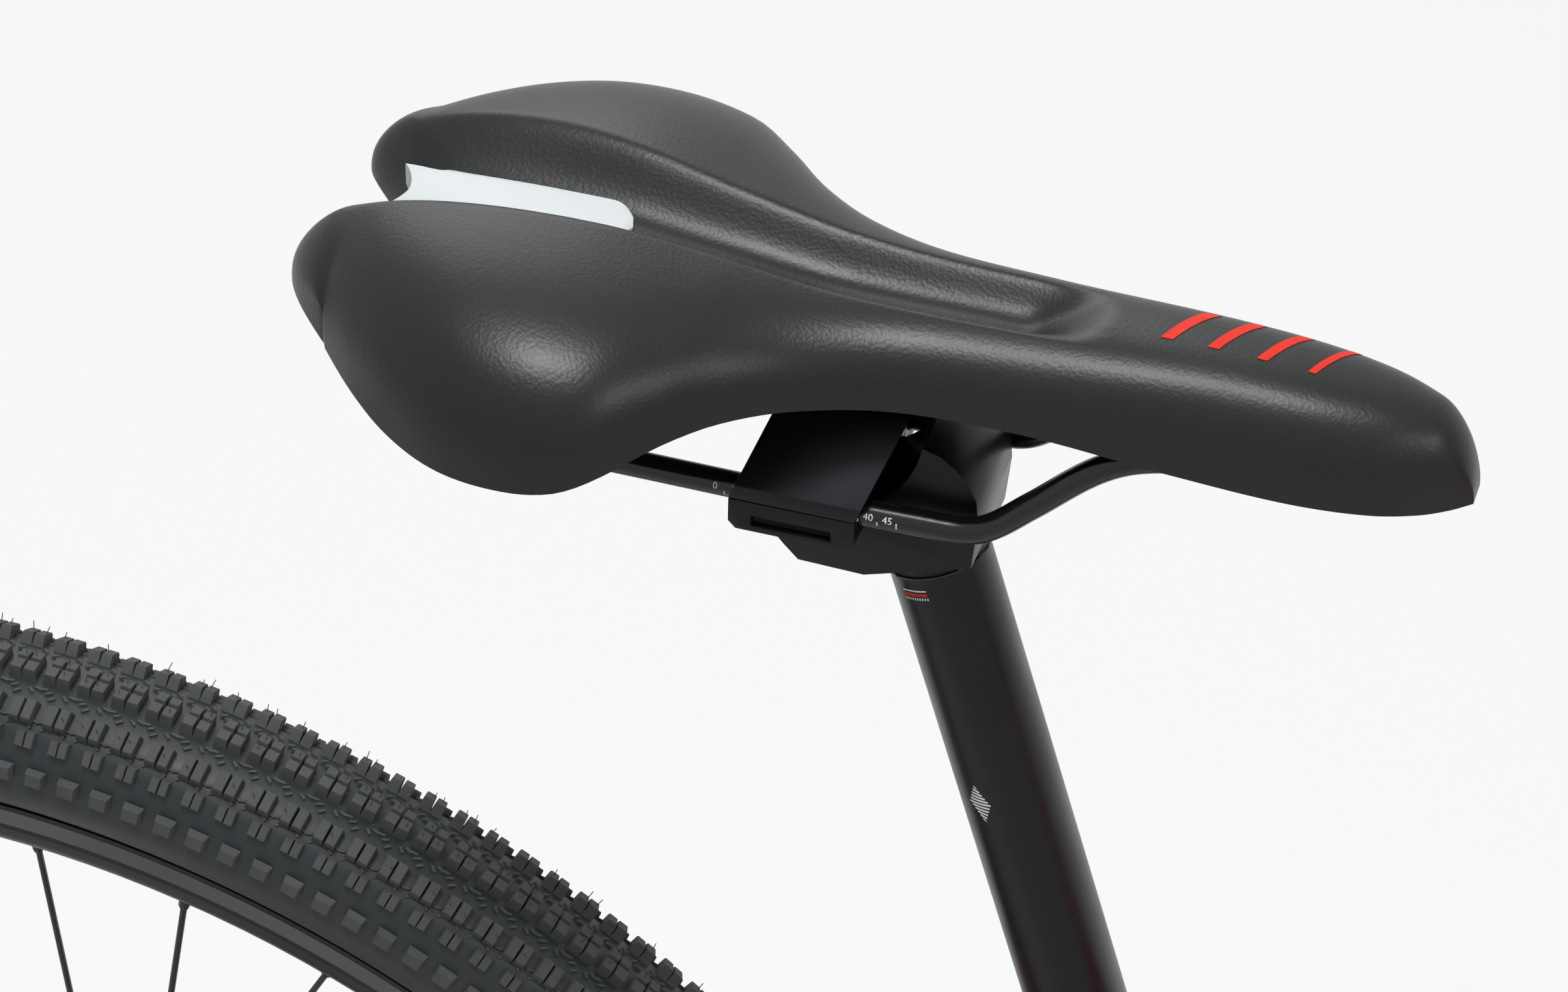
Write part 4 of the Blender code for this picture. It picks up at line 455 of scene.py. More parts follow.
def finer(points, sizes, steps):
    """More points and sizes along a path, on one smooth curve through the given ones."""
    path = [Vector(p) for p in points]
    if not isinstance(sizes, list):
        sizes = [sizes] * len(path)
    pairs = [size if isinstance(size, tuple) else (size, size) for size in sizes]
    if len(path) == 2:
        return path, pairs
    run = [0.0]
    for before, after in zip(path, path[1:]):
        run.append(run[-1] + (after - before).length)
    curve = []
    widths = []
    for k in range(len(path) - 1):
        for j in range(steps + (k == len(path) - 2)):
            place = run[k] + (run[k + 1] - run[k]) * j / steps
            curve.append(Vector([along_knots([(s, p[c]) for s, p in zip(run, path)], place) for c in range(3)]))
            share = j / steps
            widths.append(tuple(pairs[k][c] * (1 - share) + pairs[k + 1][c] * share for c in range(2)))
    return curve, widths


def sweep(name, points, sizes, sides=12, material="alloy", up=(0, 0, 1), steps=5):
    """A tube through points. A size is a radius, or a pair: across and along the up direction."""
    sides *= ROUND
    path, widths = finer(points, sizes, steps)
    verts = []
    for k, centre in enumerate(path):
        tangent = (path[min(k + 1, len(path) - 1)] - path[max(k - 1, 0)]).normalized()
        across = tangent.cross(Vector(up)).normalized()
        top = across.cross(tangent)
        wide, tall = widths[k]
        for j in range(sides):
            turn = 2 * pi * (j + 0.5) / sides
            verts.append(centre + across * wide * cos(turn) + top * tall * sin(turn))
    faces = [list(range(sides)), list(range(len(verts) - sides, len(verts)))]
    for k in range(0, len(verts) - sides, sides):
        faces += walls(range(k, k + sides), range(k + sides, k + 2 * sides))
    return add_piece(name, verts, faces, Matrix(), material)


def spot(radius, angle):
    """A point on a circle round the origin."""
    return radius * cos(angle), radius * sin(angle)


def walls(low, high):
    """Faces between two closed loops of corners."""
    return [[a, b, d, c] for a, b, c, d in zip(low, [*low[1:], low[0]], high, [*high[1:], high[0]])]


def arc(centre, radius, start, end, count):
    """Points on a round stretch, from one angle to another in degrees."""
    count = ROUND * (count - 1) + 1
    angles = [radians(start + (end - start) * k / (count - 1)) for k in range(count)]
    return [(centre[0] + radius * cos(a), centre[1] + radius * sin(a)) for a in angles]


def combine(piece, tool, operation):
    """Add or cut a helper shape, which is cleared away once its group is done."""
    change = piece.modifiers.new(tool.name, "BOOLEAN")
    change.operation = operation
    change.object = tool
    change.solver = "EXACT"
    if tool not in HELPERS:
        HELPERS.append(tool)


def soften(piece, width):
    """Round off a piece's edges."""
    change = piece.modifiers.new("edges", "BEVEL")
    change.width = width * MM
    change.segments = 2
    change.limit_method = "ANGLE"
    change.angle_limit = radians(40)
    change.harden_normals = False
    bake(piece)


def settle(pieces, body=None, edge=0.0, nodes=()):
    """Finish pieces and let them ride with a body, in place of the nodes of the same name."""
    for name in pieces:
        piece = MADE.pop(name)
        if edge:
            soften(piece, edge)
        elif piece.modifiers:
            bake(piece)
        smooth(piece.data)
        piece.name = piece.data.name = "fine_" + name
        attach(piece, body or BODY_OF[name])
        stands_for = nodes or ([name] if name in BODY_OF else [])
        if stands_for:
            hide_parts(*stands_for)


def clear_helpers():
    """Remove the shapes that were only used to add or cut."""
    for name in [name for name, piece in MADE.items() if piece in HELPERS]:
        del MADE[name]
    for tool in HELPERS:
        bpy.data.objects.remove(tool, do_unlink=True)
    HELPERS.clear()


def repeat_tree():
    """The node tree that puts one shape at every point, turned and stretched by what the point stores."""
    if "repeated_shape" in bpy.data.node_groups:
        return bpy.data.node_groups["repeated_shape"]
    tree = bpy.data.node_groups.new("repeated_shape", "GeometryNodeTree")
    for label, kind in (("Places", "Geometry"), ("Shape", "Object"), ("Size", "Float"), ("Unevenness", "Float"),
            ("Seed", "Int"), ("Finish", "Material")):
        tree.interface.new_socket(label, in_out="INPUT", socket_type="NodeSocket" + kind)
    tree.interface.new_socket("Pieces", in_out="OUTPUT", socket_type="NodeSocketGeometry")
    given = add(tree, "NodeGroupInput").outputs
    shape = add(tree, "GeometryNodeObjectInfo", {"As Instance": True, "Object": given["Shape"]})
    turn, stretch = (add(tree, "GeometryNodeInputNamedAttribute", {"data_type": "FLOAT_VECTOR", "Name": name})
        .outputs["Attribute"] for name in ("turn", "stretch"))
    least, most = (maths(tree, kind, 1.0, given["Unevenness"]) for kind in ("SUBTRACT", "ADD"))
    chance = add(tree, "FunctionNodeRandomValue", {"data_type": "FLOAT", 2: least, 3: most, "Seed": given["Seed"]})
    size = maths(tree, "MULTIPLY", chance.outputs[1], given["Size"])
    scale = add(tree, "ShaderNodeVectorMath", {"operation": "SCALE", 0: stretch, "Scale": size})
    spread = add(tree, "GeometryNodeInstanceOnPoints", {"Points": given["Places"],
        "Instance": shape.outputs["Geometry"], "Rotation": turn, "Scale": scale})
    real = add(tree, "GeometryNodeRealizeInstances", {"Geometry": spread})
    dressed = add(tree, "GeometryNodeSetMaterial", {"Geometry": real, "Material": given["Finish"]})
    add(tree, "NodeGroupOutput", {"Pieces": dressed})
    return tree


def repeat(name, shape, places, material, uneven=0.0, seed=7):
    """Put a shape at many places with Geometry Nodes. A place is a frame and how far it is stretched each way."""
    places = [place if isinstance(place, tuple) else (place, (1, 1, 1)) for place in places]
    mesh = bpy.data.meshes.new(name)
    mesh.from_pydata([place.to_translation() for place, _ in places], [], [])
    turn = mesh.attributes.new("turn", "FLOAT_VECTOR", "POINT")
    stretch = mesh.attributes.new("stretch", "FLOAT_VECTOR", "POINT")
    for k, (place, scale) in enumerate(places):
        turn.data[k].vector = place.to_euler()
        stretch.data[k].vector = scale
    piece = show(bpy.data.objects.new(name, mesh))
    tree = repeat_tree()
    change = piece.modifiers.new("repeat", "NODES")
    change.node_group = tree
    values = {"Shape": shape, "Size": 1.0, "Unevenness": uneven, "Seed": seed, "Finish": FINISHES[material]}
    for item in tree.interface.items_tree:
        if item.in_out == "INPUT" and item.name in values:
            change[item.identifier] = values[item.name]
    bake(piece)
    piece.data.materials.clear()
    piece.data.materials.append(FINISHES[material])
    MADE.pop(shape.name, None)
    bpy.data.objects.remove(shape, do_unlink=True)
    MADE[name] = piece
    return piece


def scatter(name, profile, places, sides=6, material="steel", uneven=0.0, seed=7):
    """Repeat a small turned shape at many places."""
    return repeat(name, lathe("small_shape", profile, Matrix(), sides, material, True), places, material, uneven,
        seed)


def ring_solid(name, outer, inner, low, high, frame, material):
    """A flat ring between two outlines with as many points."""
    verts = [(x, y, z) for z in (low, high) for loop in (outer, inner) for x, y in loop]
    a, b, c, d = (range(k * len(outer), (k + 1) * len(outer)) for k in range(4))
    faces = [face for group in zip(walls(a, b), walls(c, d), walls(a, c), walls(b, d)) for face in group]
    return add_piece(name, verts, faces, frame, material)


def toothed_ring(name, teeth, bore, low, high, frame, material, turn=0.0):
    """A sprocket plate: its teeth stand up between the chain's rollers."""
    pitch = pitch_radius(teeth)
    outer = []
    inner = []
    for k in range(teeth):
        for share, radius in ((-0.5, pitch - 3.6), (-0.3, pitch - 2.6), (-0.14, pitch + 1.8), (-0.05, pitch + 3.2),
                (0.05, pitch + 3.2), (0.14, pitch + 1.8), (0.3, pitch - 2.6)):
            a = turn + 2 * pi * (k + share) / teeth
            outer.append(spot(radius, a))
            inner.append(spot(bore, a))
    return ring_solid(name, outer, inner, low, high, frame, material)


def drill(piece, frame, places, radius, low, high, material):
    """Cut many small round holes along a frame's Z in one go."""
    verts = []
    faces = []
    for x, y in places:
        ends = [range(len(verts) + k, len(verts) + k + 10) for k in (0, 10)]
        verts += [(x + radius * cos(pi * k / 5), y + radius * sin(pi * k / 5), z) for z in (low, high)
            for k in range(10)]
        faces += [list(ends[0]), list(ends[1])] + walls(*ends)
    carve(piece, add_piece(piece.name + "_holes", verts, faces, frame, material))


def pitch_radius(teeth):
    """Radius of the chain's pins on a sprocket."""
    return CHAIN_PITCH / (2 * sin(pi / teeth))


def frame_at(origin, along=(0, 0, 1), ahead=(1, 0, 0)):
    """A frame whose Z runs along a direction and whose X leans towards another, in metres."""
    z_axis = Vector(along).normalized()
    x_axis = Vector(ahead)
    x_axis = (x_axis - z_axis * x_axis.dot(z_axis)).normalized()
    y_axis = z_axis.cross(x_axis)
    turn = Matrix((x_axis, y_axis, z_axis)).transposed().to_4x4()
    return Matrix.Translation(Vector(origin) * MM) @ turn


def crossways(origin):
    """A frame whose Z runs forward and X to the left."""
    return frame_at(origin, (1, 0, 0), (0, 1, 0))


def upright(origin):
    """A frame with X forward, Y up and Z to the right."""
    return frame_at(origin, (0, -1, 0), (1, 0, 0))


def sideways(origin):
    """A frame whose Z runs along the bike's Y axis, X forward and Y down."""
    return frame_at(origin, (0, 1, 0), (1, 0, 0))


STEER = frame_at(CROWN, STEER_UP, STEER_FORWARD)
SEAT = frame_at(BB, SEAT_UP)
RAILS = frame_at(RAIL_POINT)
RAILS_UPRIGHT = upright(RAIL_POINT)


def rod(name, radius, low, high, frame, sides=24, material="alloy"):
    """A plain round bar along the frame's Z."""
    return lathe(name, [(0, low), (radius, low), (radius, high), (0, high)], frame, sides, material)


def bush(name, bore, radius, low, high, frame, sides=24, material="alloy"):
    """A plain round sleeve along the frame's Z."""
    profile = [(bore, low), (radius, low), (radius, high), (bore, high)]
    return lathe(name, profile, frame, sides, material)


def prism(name, outline, low, high, frame, material="alloy"):
    """An outline in the frame's XY, drawn along its Z."""
    ends = [list(range(k, k + len(outline))) for k in (0, len(outline))]
    return add_piece(name, [(x, y, z) for z in (low, high) for x, y in outline], ends + walls(*ends), frame, material)


def block(name, low, high, frame, material="alloy"):
    """A box from its two opposite corners."""
    outline = [(low[0], low[1]), (high[0], low[1]), (high[0], high[1]), (low[0], high[1])]
    return prism(name, outline, low[2], high[2], frame, material)


def smooth_path(points, steps):
    """A curve through given points, with a number of steps between each two."""
    path = [Vector(p) for p in points]
    ends = [path[0] * 2 - path[1]] + path + [path[-1] * 2 - path[-2]]
    curve = []
    for k in range(len(path) - 1):
        before, start, end, after = ends[k:k + 4]
        for j in range(steps):
            t = j / steps
            curve.append(0.5 * ((2 * start) + (end - before) * t + (2 * before - 5 * start + 4 * end - after) * t ** 2
                + (3 * start - before - 3 * end + after) * t ** 3))
    return curve + [path[-1]]


def along_knots(knots, place):
    """A smooth value between (place, value) knots, level beyond the first and last."""
    if place <= knots[0][0]:
        return knots[0][1]
    if place >= knots[-1][0]:
        return knots[-1][1]
    k = max(j for j, (start, _) in enumerate(knots) if start <= place)
    (start, low), (end, high) = knots[k:k + 2]
    span = end - start
    first = knots[max(k - 1, 0)]
    last = knots[min(k + 2, len(knots) - 1)]
    leaving = (high - first[1]) / (end - first[0]) * span
    arriving = (last[1] - low) / (last[0] - start) * span
    t = (place - start) / span
    return (low * (2 * t ** 3 - 3 * t ** 2 + 1) + leaving * (t ** 3 - 2 * t ** 2 + t)
        + high * (3 * t ** 2 - 2 * t ** 3) + arriving * (t ** 3 - t ** 2))


def unite(piece, *tools):
    """Weld helper shapes onto a piece."""
    for tool in tools:
        combine(piece, tool, "UNION")


def carve(piece, *tools):
    """Cut helper shapes out of a piece."""
    for tool in tools:
        combine(piece, tool, "DIFFERENCE")


def mirrored(point):
    """The same place on the other side of the bike."""
    return Vector((point[0], -point[1], point[2]))


def down_tube_path():
    """The down tube leaves the head tube shallow, to clear the fork crown, then runs to the crank."""
    start = CROWN + STEER_UP * 48 + STEER_FORWARD * 4
    return [start, start + Vector((-58, 0, -32)), start + Vector((-105, 0, -72)), start + Vector((-150, 0, -124)),
        BB.copy()]


def dropout_outline(side):
    """Outline of a rear dropout in X and Z from the axle; the right one carries the hanger."""
    upper = [(-15, -12), (-16, 8), (-6, 22), (10, 50), (24, 46), (30, 22), (56, 8), (56, -8)]
    if side < 0:
        return upper + [(24, -16), (18, -34), (8, -41), (-4, -39), (-10, -30)]
    return upper + [(24, -16), (4, -20)]


def stadium(length, radius, count=5):
    """A bar with round ends, from the origin along X."""
    return arc((0, 0), radius, 90, 270, count) + arc((length, 0), radius, -90, 90, count)


def chain_path():
    """The chain's centre line in X and Z, over the chainring, sprocket and both jockey wheels."""
    wheels = [(BB, pitch_radius(RING_TEETH), 1), (REAR_AXLE, pitch_radius(SPROCKET_TEETH[ENGAGED]), 1),
        (JOCKEY_UPPER, pitch_radius(JOCKEY_TEETH), -1), (JOCKEY_LOWER, pitch_radius(JOCKEY_TEETH), 1)]
    runs = []
    for k, (centre, radius, sign) in enumerate(wheels):
        after, after_radius, after_sign = wheels[(k + 1) % len(wheels)]
        dx, dz = after.x - centre.x, after.z - centre.z
        square = dx * dx + dz * dz
        gain = after_sign * after_radius - sign * radius
        length = sqrt(square - gain * gain)
        tx, tz = (length * dx + gain * dz) / square, (length * dz - gain * dx) / square
        runs.append((-tz, tx))
    path = []
    for k, (centre, radius, sign) in enumerate(wheels):
        entry = atan2(-sign * runs[k - 1][1], -sign * runs[k - 1][0])
        leave = atan2(-sign * runs[k][1], -sign * runs[k][0])
        swing = (leave - entry) * sign % (2 * pi)
        count = max(2, ceil(swing / radians(4)) + 1)
        for j in range(count):
            a = entry + sign * swing * j / (count - 1)
            path.append((centre.x + radius * cos(a), centre.z + radius * sin(a)))
    return path


def pedal_place(side):
    """The middle of a pedal axle's line, at Y 0."""
    reach = -side * CRANK_LENGTH
    return BB + Vector((reach * cos(CRANK_ANGLE), 0, reach * sin(CRANK_ANGLE)))


def on_fork(ahead, across, up):
    """A place in the steering frame: ahead of the steering axis, to the left and up from the crown."""
    return CROWN + STEER_FORWARD * ahead + Vector((0, across, 0)) + STEER_UP * up


def bar_end(side):
    """The bend where a handlebar end becomes straight, and the frame's three directions there."""
    bend = BAR_CENTRE + Vector((-8, side * GRIP_BEND, BAR_RISE))
    out = Vector((-sin(BACKSWEEP), side * cos(BACKSWEEP), 0))
    up = Vector((sin(LEVER_DROP), 0, cos(LEVER_DROP)))
    up = (up - out * up.dot(out)).normalized()
    ahead = (out * side).cross(up)
    return bend, out, up, ahead


def on_bar(side, ahead_by, out_by, up_by):
    """A place near a handlebar end: ahead of the bar, outwards along it and above it."""
    bend, out, up, ahead = bar_end(side)
    return bend + ahead * ahead_by + out * out_by + up * up_by


def on_seat(ahead, across, up):
    """A place measured from where the seatpost's line meets the rails' height."""
    return RAIL_POINT + Vector((ahead, across, up))


def rail_path(longer=0.0):
    """One bent wire: up to the shell behind, straight through the clamp, and a loop under the nose."""
    half = [(-134 - longer, -31, 26 + longer * 0.25), (-124, -30.5, 23), (-108, -28, 14), (-94, -24.5, 4.5),
        (-86, -23, 1), (-77, -RAIL_SPREAD, 0), (16, -RAIL_SPREAD, 0), (25, -21.5, 2), (36, -20.5, 11),
        (50, -18.5, 23), (60, -17, 28), (74, -15, 30), (104, -11, 30), (113, -9, 30), (118, -5, 30)]
    return [on_seat(*p) for p in half] + [on_seat(x, -y, z) for x, y, z in reversed(half)]


def half_width(x):
    """Half the saddle's width at a place along it."""
    return along_knots([(-140, 47), (-128, 58), (-116, 67), (-102, 74), (-88, 77), (-74, 76.5), (-62, 72), (-50, 60),
        (-38, 47), (-22, 36), (0, 28), (30, 25), (70, 23), (100, 21.5), (118, 18.5), (129, 14), (136, 9), (141, 4)],
        x)


def saddle_rear(share):
    """The rear outline: two lobes with a notch between them. The share runs from -1 to 1 across."""
    beyond = abs(share) - (1 - CORNER_SHARE)
    if beyond > 0:
        return SADDLE_REAR + CORNER_CUT * (beyond / CORNER_SHARE) ** 1.8
    return SADDLE_REAR + SADDLE_NOTCH * (1 - exp(-(beyond / 0.3) ** 2))


def edge_height(x):
    """Height of the saddle's lower edge."""
    return along_knots([(-156, 42), (-146, 38), (-135, 33), (-118, 28), (-102, 25.5), (-85, 25), (-70, 26), (-58, 30),
        (-46, 34), (-20, 35.5), (30, 34.5), (70, 30), (100, 27.5), (141, 26)], x)


def crown_line(x):
    """Height of the saddle's top along its middle, as if the channel were filled."""
    return along_knots([(-156, 58), (-130, 66), (-105, 69), (-80, 68), (-50, 63), (-20, 58.5), (30, 57), (80, 56.5),
        (115, 53), (141, 46)], x)


def crown_height(x, y):
    """Height of the saddle's top before its edges roll off, with the channel along the middle."""
    share = y / half_width(x)
    wide = along_knots([(-156, 20), (-100, 18), (-50, 13), (46, 10)], x)
    deep = along_knots([(-156, 11), (-130, 13), (-100, 14.5), (-76, 13.5), (-50, 11.5), (-10, 10), (46, 9)], x)
    channel = deep * within((CHANNEL_END - x) / 18) * (1 - min(1.0, abs(y) / wide / 1.25) ** 2.5) ** 2
    return crown_line(x) - 5 * share * share - channel


def within(value):
    """A share, held between nothing and the whole."""
    return min(1.0, max(0.0, value))


def rolled(value):
    """How far a quarter round has risen at a share of its width."""
    return sqrt(max(0.0, 1 - (1 - within(value)) ** 2))


def pad_top(x, y, rear):
    """Height of the cover's upper side."""
    share = min(1.0, abs(y) / half_width(x))
    side_roll = (1 - share ** 4) ** (1 / 3)
    nose_roll = rolled((SADDLE_NOSE - x) / NOSE_ROLL)
    # The rear edge rolls less towards the corners, which the side edge rounds.
    rear_roll = rolled((x - rear) / REAR_ROLL) ** (1 - share ** 6)
    edge = edge_height(x)
    lowest = min(side_roll, rear_roll, nose_roll)
    full = (side_roll ** -3 + rear_roll ** -3 + nose_roll ** -3 - 2) ** (-1 / 3) if lowest > 0.001 else 0.0
    return edge + (crown_height(x, y) - edge) * full


def pad_bottom(x, y, rear):
    """Height of the cover's hollow underside."""
    share = min(1.0, abs(y) / half_width(x))
    ramp = within((x - rear) / 34) * within((SADDLE_NOSE - x) / 14)
    edge = edge_height(x)
    roof = crown_line(x) - 19.5 + 7.5 * within((x + 20) / 130)
    return edge + max(0.0, roof - edge) * (1 - share ** 4) * ramp


def shell_top(x, y, rear):
    """Height of the upper side of the shell below the cover."""
    return pad_bottom(x, y, rear) - SHELL_CLEARANCE


def stay_top(reach, side, lift):
    """A place on top of a chainstay, at a distance behind the bottom bracket."""
    spread = along_knots(STAY_SPREAD, reach)
    share = reach / (BB.x - REAR_AXLE.x)
    tall = along_knots([(44, 11.5), (79, 12), (124, 11), (194, 9.5), (294, 8.5), (364, 8)], reach)
    return Vector((BB.x - reach, side * spread, BB.z + BB_DROP * share + tall + CABLE_RADIUS + lift))


def make_frame():
    """The welded frame, with its tubes, stays, bosses, collar and weld beads."""
    bb_frame = sideways(BB)
    cup_end = BB_HALF_WIDTH + CUP_WIDTH
    bore = SPINDLE_RADIUS + 2 * RUN
    lathe("bottom_bracket_shell", [(bore, -cup_end), (CUP_RADIUS - 1, -cup_end), (CUP_RADIUS, -cup_end + 1),
        (CUP_RADIUS, -BB_HALF_WIDTH), (BB_RADIUS, -BB_HALF_WIDTH), (BB_RADIUS, BB_HALF_WIDTH),
        (CUP_RADIUS, BB_HALF_WIDTH), (CUP_RADIUS, cup_end - 1), (CUP_RADIUS - 1, cup_end), (bore, cup_end)], bb_frame,
        18, "frame")
    lathe("head_tube", [(STEERER_RADIUS + 2.7, HEAD_BOTTOM), (21, HEAD_BOTTOM), (22, HEAD_BOTTOM + 1),
        (22, HEAD_BOTTOM + 9), (21, HEAD_BOTTOM + 12), (21, HEAD_TOP - 12), (22, HEAD_TOP - 9), (22, HEAD_TOP - 1),
        (21, HEAD_TOP), (STEERER_RADIUS + 2.7, HEAD_TOP)], STEER, 16, "frame")
    seat_tube = bush("seat_tube", POST_RADIUS + 0.4, SEAT_TUBE_RADIUS, 5, SEAT_TUBE_LENGTH, SEAT, 18, "frame")
    top_start = BB + SEAT_UP * (SEAT_TUBE_LENGTH - 45)
    top_end = CROWN + STEER_UP * (HEAD_TOP - 24)
    top_tube = sweep("top_tube", [top_start, top_end], TOP_TUBE_RADIUS, 16, "accent")
    down_tube = sweep("down_tube", down_tube_path(), DOWN_TUBE_RADIUS, 12, "frame", steps=8)
    shell_cut = rod("shell_cut", BB_RADIUS + GAP, -60, 60, bb_frame, 18, "frame")
    cup_cut_right = rod("cup_cut_right", CUP_RADIUS + GAP, -60, GAP - BB_HALF_WIDTH, bb_frame, 18, "frame")
    cup_cut_left = rod("cup_cut_left", CUP_RADIUS + GAP, BB_HALF_WIDTH - GAP, 60, bb_frame, 18, "frame")
    seat_cut = rod("seat_cut", SEAT_TUBE_RADIUS + GAP, -20, SEAT_TUBE_LENGTH + 40, SEAT, 18, "frame")
    head_cut = rod("head_cut", HEAD_TUBE_RADIUS + GAP, HEAD_BOTTOM - 60, HEAD_TOP + 40, STEER, 16, "frame")
    carve(seat_tube, shell_cut)
    carve(top_tube, seat_cut, head_cut)
    add_bottle_bosses(down_tube)
    carve(down_tube, shell_cut, seat_cut, head_cut)
    cuts = (shell_cut, cup_cut_right, cup_cut_left)
    make_chainstay("chainstay_right", -1, cuts)
    make_chainstay("chainstay_left", 1, cuts)
    make_seatstay("seatstay_right", -1, seat_cut)
    make_seatstay("seatstay_left", 1, seat_cut)
    make_seat_collar()
    settle(["bottom_bracket_shell", "head_tube", "seat_tube", "top_tube", "down_tube"])
    settle(["chainstay_right", "chainstay_left", "seatstay_right", "seatstay_left", "seat_collar"], edge=0.7)
    clear_helpers()
    make_welds(top_start, top_end)


def seam(start, along, size, post, post_along, post_radius, count):
    """Places round a tube where its surface meets a round post."""
    along = Vector(along).normalized()
    across = along.cross(post_along).normalized()
    up = across.cross(along)
    places = []
    for k in range(count):
        turn = 2 * pi * k / count
        out = across * cos(turn) + up * sin(turn)
        rel = start + out * size - post
        rel = rel - post_along * rel.dot(post_along)
        way = along - post_along * along.dot(post_along)
        a, b, c = way.dot(way), 2 * rel.dot(way), rel.dot(rel) - post_radius ** 2
        root = b * b - 4 * a * c
        if root >= 0:
            places.append(frame_at(start + out * size + along * ((-b - sqrt(root)) / (2 * a)), out - along, along))
    return places


def make_welds(top_start, top_end):
    """Weld beads round every joint of the frame, one flat drop of metal beside the next."""
    run = (top_end - top_start).normalized()
    tube = down_tube_path()
    beads = seam(top_end - run * 80, run, TOP_TUBE_RADIUS, CROWN, STEER_UP, HEAD_TUBE_RADIUS - 0.6, 58)
    black = seam(tube[1] + (tube[1] - tube[0]) * 0.2, tube[0] - tube[1], DOWN_TUBE_RADIUS, CROWN, STEER_UP,
        HEAD_TUBE_RADIUS - 0.6, 70)
    black += seam(tube[3], tube[4] - tube[3], DOWN_TUBE_RADIUS, BB, Vector((0, 1, 0)), BB_RADIUS, 70)
    black += seam(BB + SEAT_UP * 60, -SEAT_UP, SEAT_TUBE_RADIUS, BB, Vector((0, 1, 0)), BB_RADIUS, 56)
    beads += seam(top_start + run * 80, -run, TOP_TUBE_RADIUS, BB, SEAT_UP, SEAT_TUBE_RADIUS, 58)
    drop = [(0, -0.6), (1.5, -0.2), (1.75, 0.3), (1.1, 1.0), (0, 1.2)]
    scatter("weld_beads_red", drop, beads, 7, "accent", 0.14, 3)
    scatter("weld_beads_black", drop, black, 7, "frame", 0.14, 5)
    settle(["weld_beads_red", "weld_beads_black"], "frame")


def add_bottle_bosses(down_tube):
    """Two round bosses 64 mm apart on the down tube's upper face."""
    bend = down_tube_path()[3]
    run = (bend - BB).normalized()
    normal = run.cross(Vector((0, 1, 0))).normalized()
    if normal.z < 0:
        normal = -normal
    for name, place in (("boss_low", 190), ("boss_high", 254)):
        base = frame_at(BB + run * place, normal)
        unite(down_tube, rod(name, 5.5, 10, DOWN_TUBE_RADIUS + 2.5, base, 12, "frame"))


def make_chainstay(name, side, cuts):
    """A chainstay that slips between chainring and tyre, welded to its dropout."""
    points = []
    for reach, spread in STAY_SPREAD + [(391, 70.5)]:
        share = reach / (BB.x - REAR_AXLE.x)
        points.append((BB.x - reach, side * spread, BB.z + BB_DROP * share))
    sizes = [(8.5, 11), (8.5, 11.5), (7.6, 12), (7.8, 11), (8, 9.5), (7.5, 8.5), (7, 8), (6.5, 7.5)]
    stay = sweep(name, points, sizes, 10, "frame")
    inner = DROPOUT_INNER
    plate = frame_at(REAR_AXLE, (0, side, 0))
    outline = [(x, -side * z) for x, z in dropout_outline(side)]
    unite(stay, prism(name + "_dropout", outline, inner, inner + DROPOUT_THICKNESS, plate, "frame"))
    carve(stay, rod(name + "_axle_hole", AXLE_END_RADIUS + GAP * 2, inner - 5, inner + 20, plate, 12, "frame"))
    if side < 0:
        hanger = REAR_AXLE + Vector(HANGER_HOLE)
        carve(stay, rod("hanger_hole", 5.2, inner - 5, inner + 20, frame_at(hanger, (0, -1, 0)), 12, "frame"))
    carve(stay, *cuts)


def make_seatstay(name, side, seat_cut):
    """A slim stay from the seat tube down to the dropout, bowed round the tyre."""
    start = BB + SEAT_UP * (SEAT_TUBE_LENGTH - 32)
    end = REAR_AXLE + Vector((19, 0, 52))
    points = []
    for share, spread in ((0, 12), (0.1, 22), (0.2, 33), (0.3, 39.5), (0.5, 47), (0.75, 60), (0.92, 68), (1, 70.5)):
        place = start.lerp(end, share)
        points.append((place.x, side * spread, place.z))
    sizes = [9, 8.5, 8, 7.5, 7, 6.8, 6.5, 6]
    stay = sweep(name, points, sizes, 10, "accent")
    tab_cut = block(name + "_tab_cut", (-20, -60, DROPOUT_INNER - GAP),
        (60, 60, DROPOUT_INNER + DROPOUT_THICKNESS + GAP), frame_at(REAR_AXLE, (0, side, 0)), "frame")
    carve(stay, seat_cut, tab_cut)


def make_seat_collar():
    """The clamp ring at the top of the seat tube, with two ears and its slit at the rear."""
    bore = SEAT_TUBE_RADIUS + GAP
    collar = bush("seat_collar", bore, bore + 3.5, SEAT_TUBE_LENGTH - 14, SEAT_TUBE_LENGTH, SEAT, 18)
    ears = block("collar_ears", (-29, -7, SEAT_TUBE_LENGTH - 12), (-SEAT_TUBE_RADIUS - 1, 7, SEAT_TUBE_LENGTH - 2),
        SEAT)
    slit = block("collar_slit", (-40, -1.2, SEAT_TUBE_LENGTH - 20), (-5, 1.2, SEAT_TUBE_LENGTH - 6), SEAT)
    unite(collar, ears)
    carve(collar, slit, rod("collar_bore", bore, SEAT_TUBE_LENGTH - 20, SEAT_TUBE_LENGTH + 5, SEAT, 18))


def casing_radius(y):
    """Radius of the tyre's casing at a distance from its middle."""
    return along_knots([(0, 340.2), (8, 339.4), (14, 337.4), (18, 334.4), (21, 330), (23, 323.5), (23.9, 315)],
        abs(y))


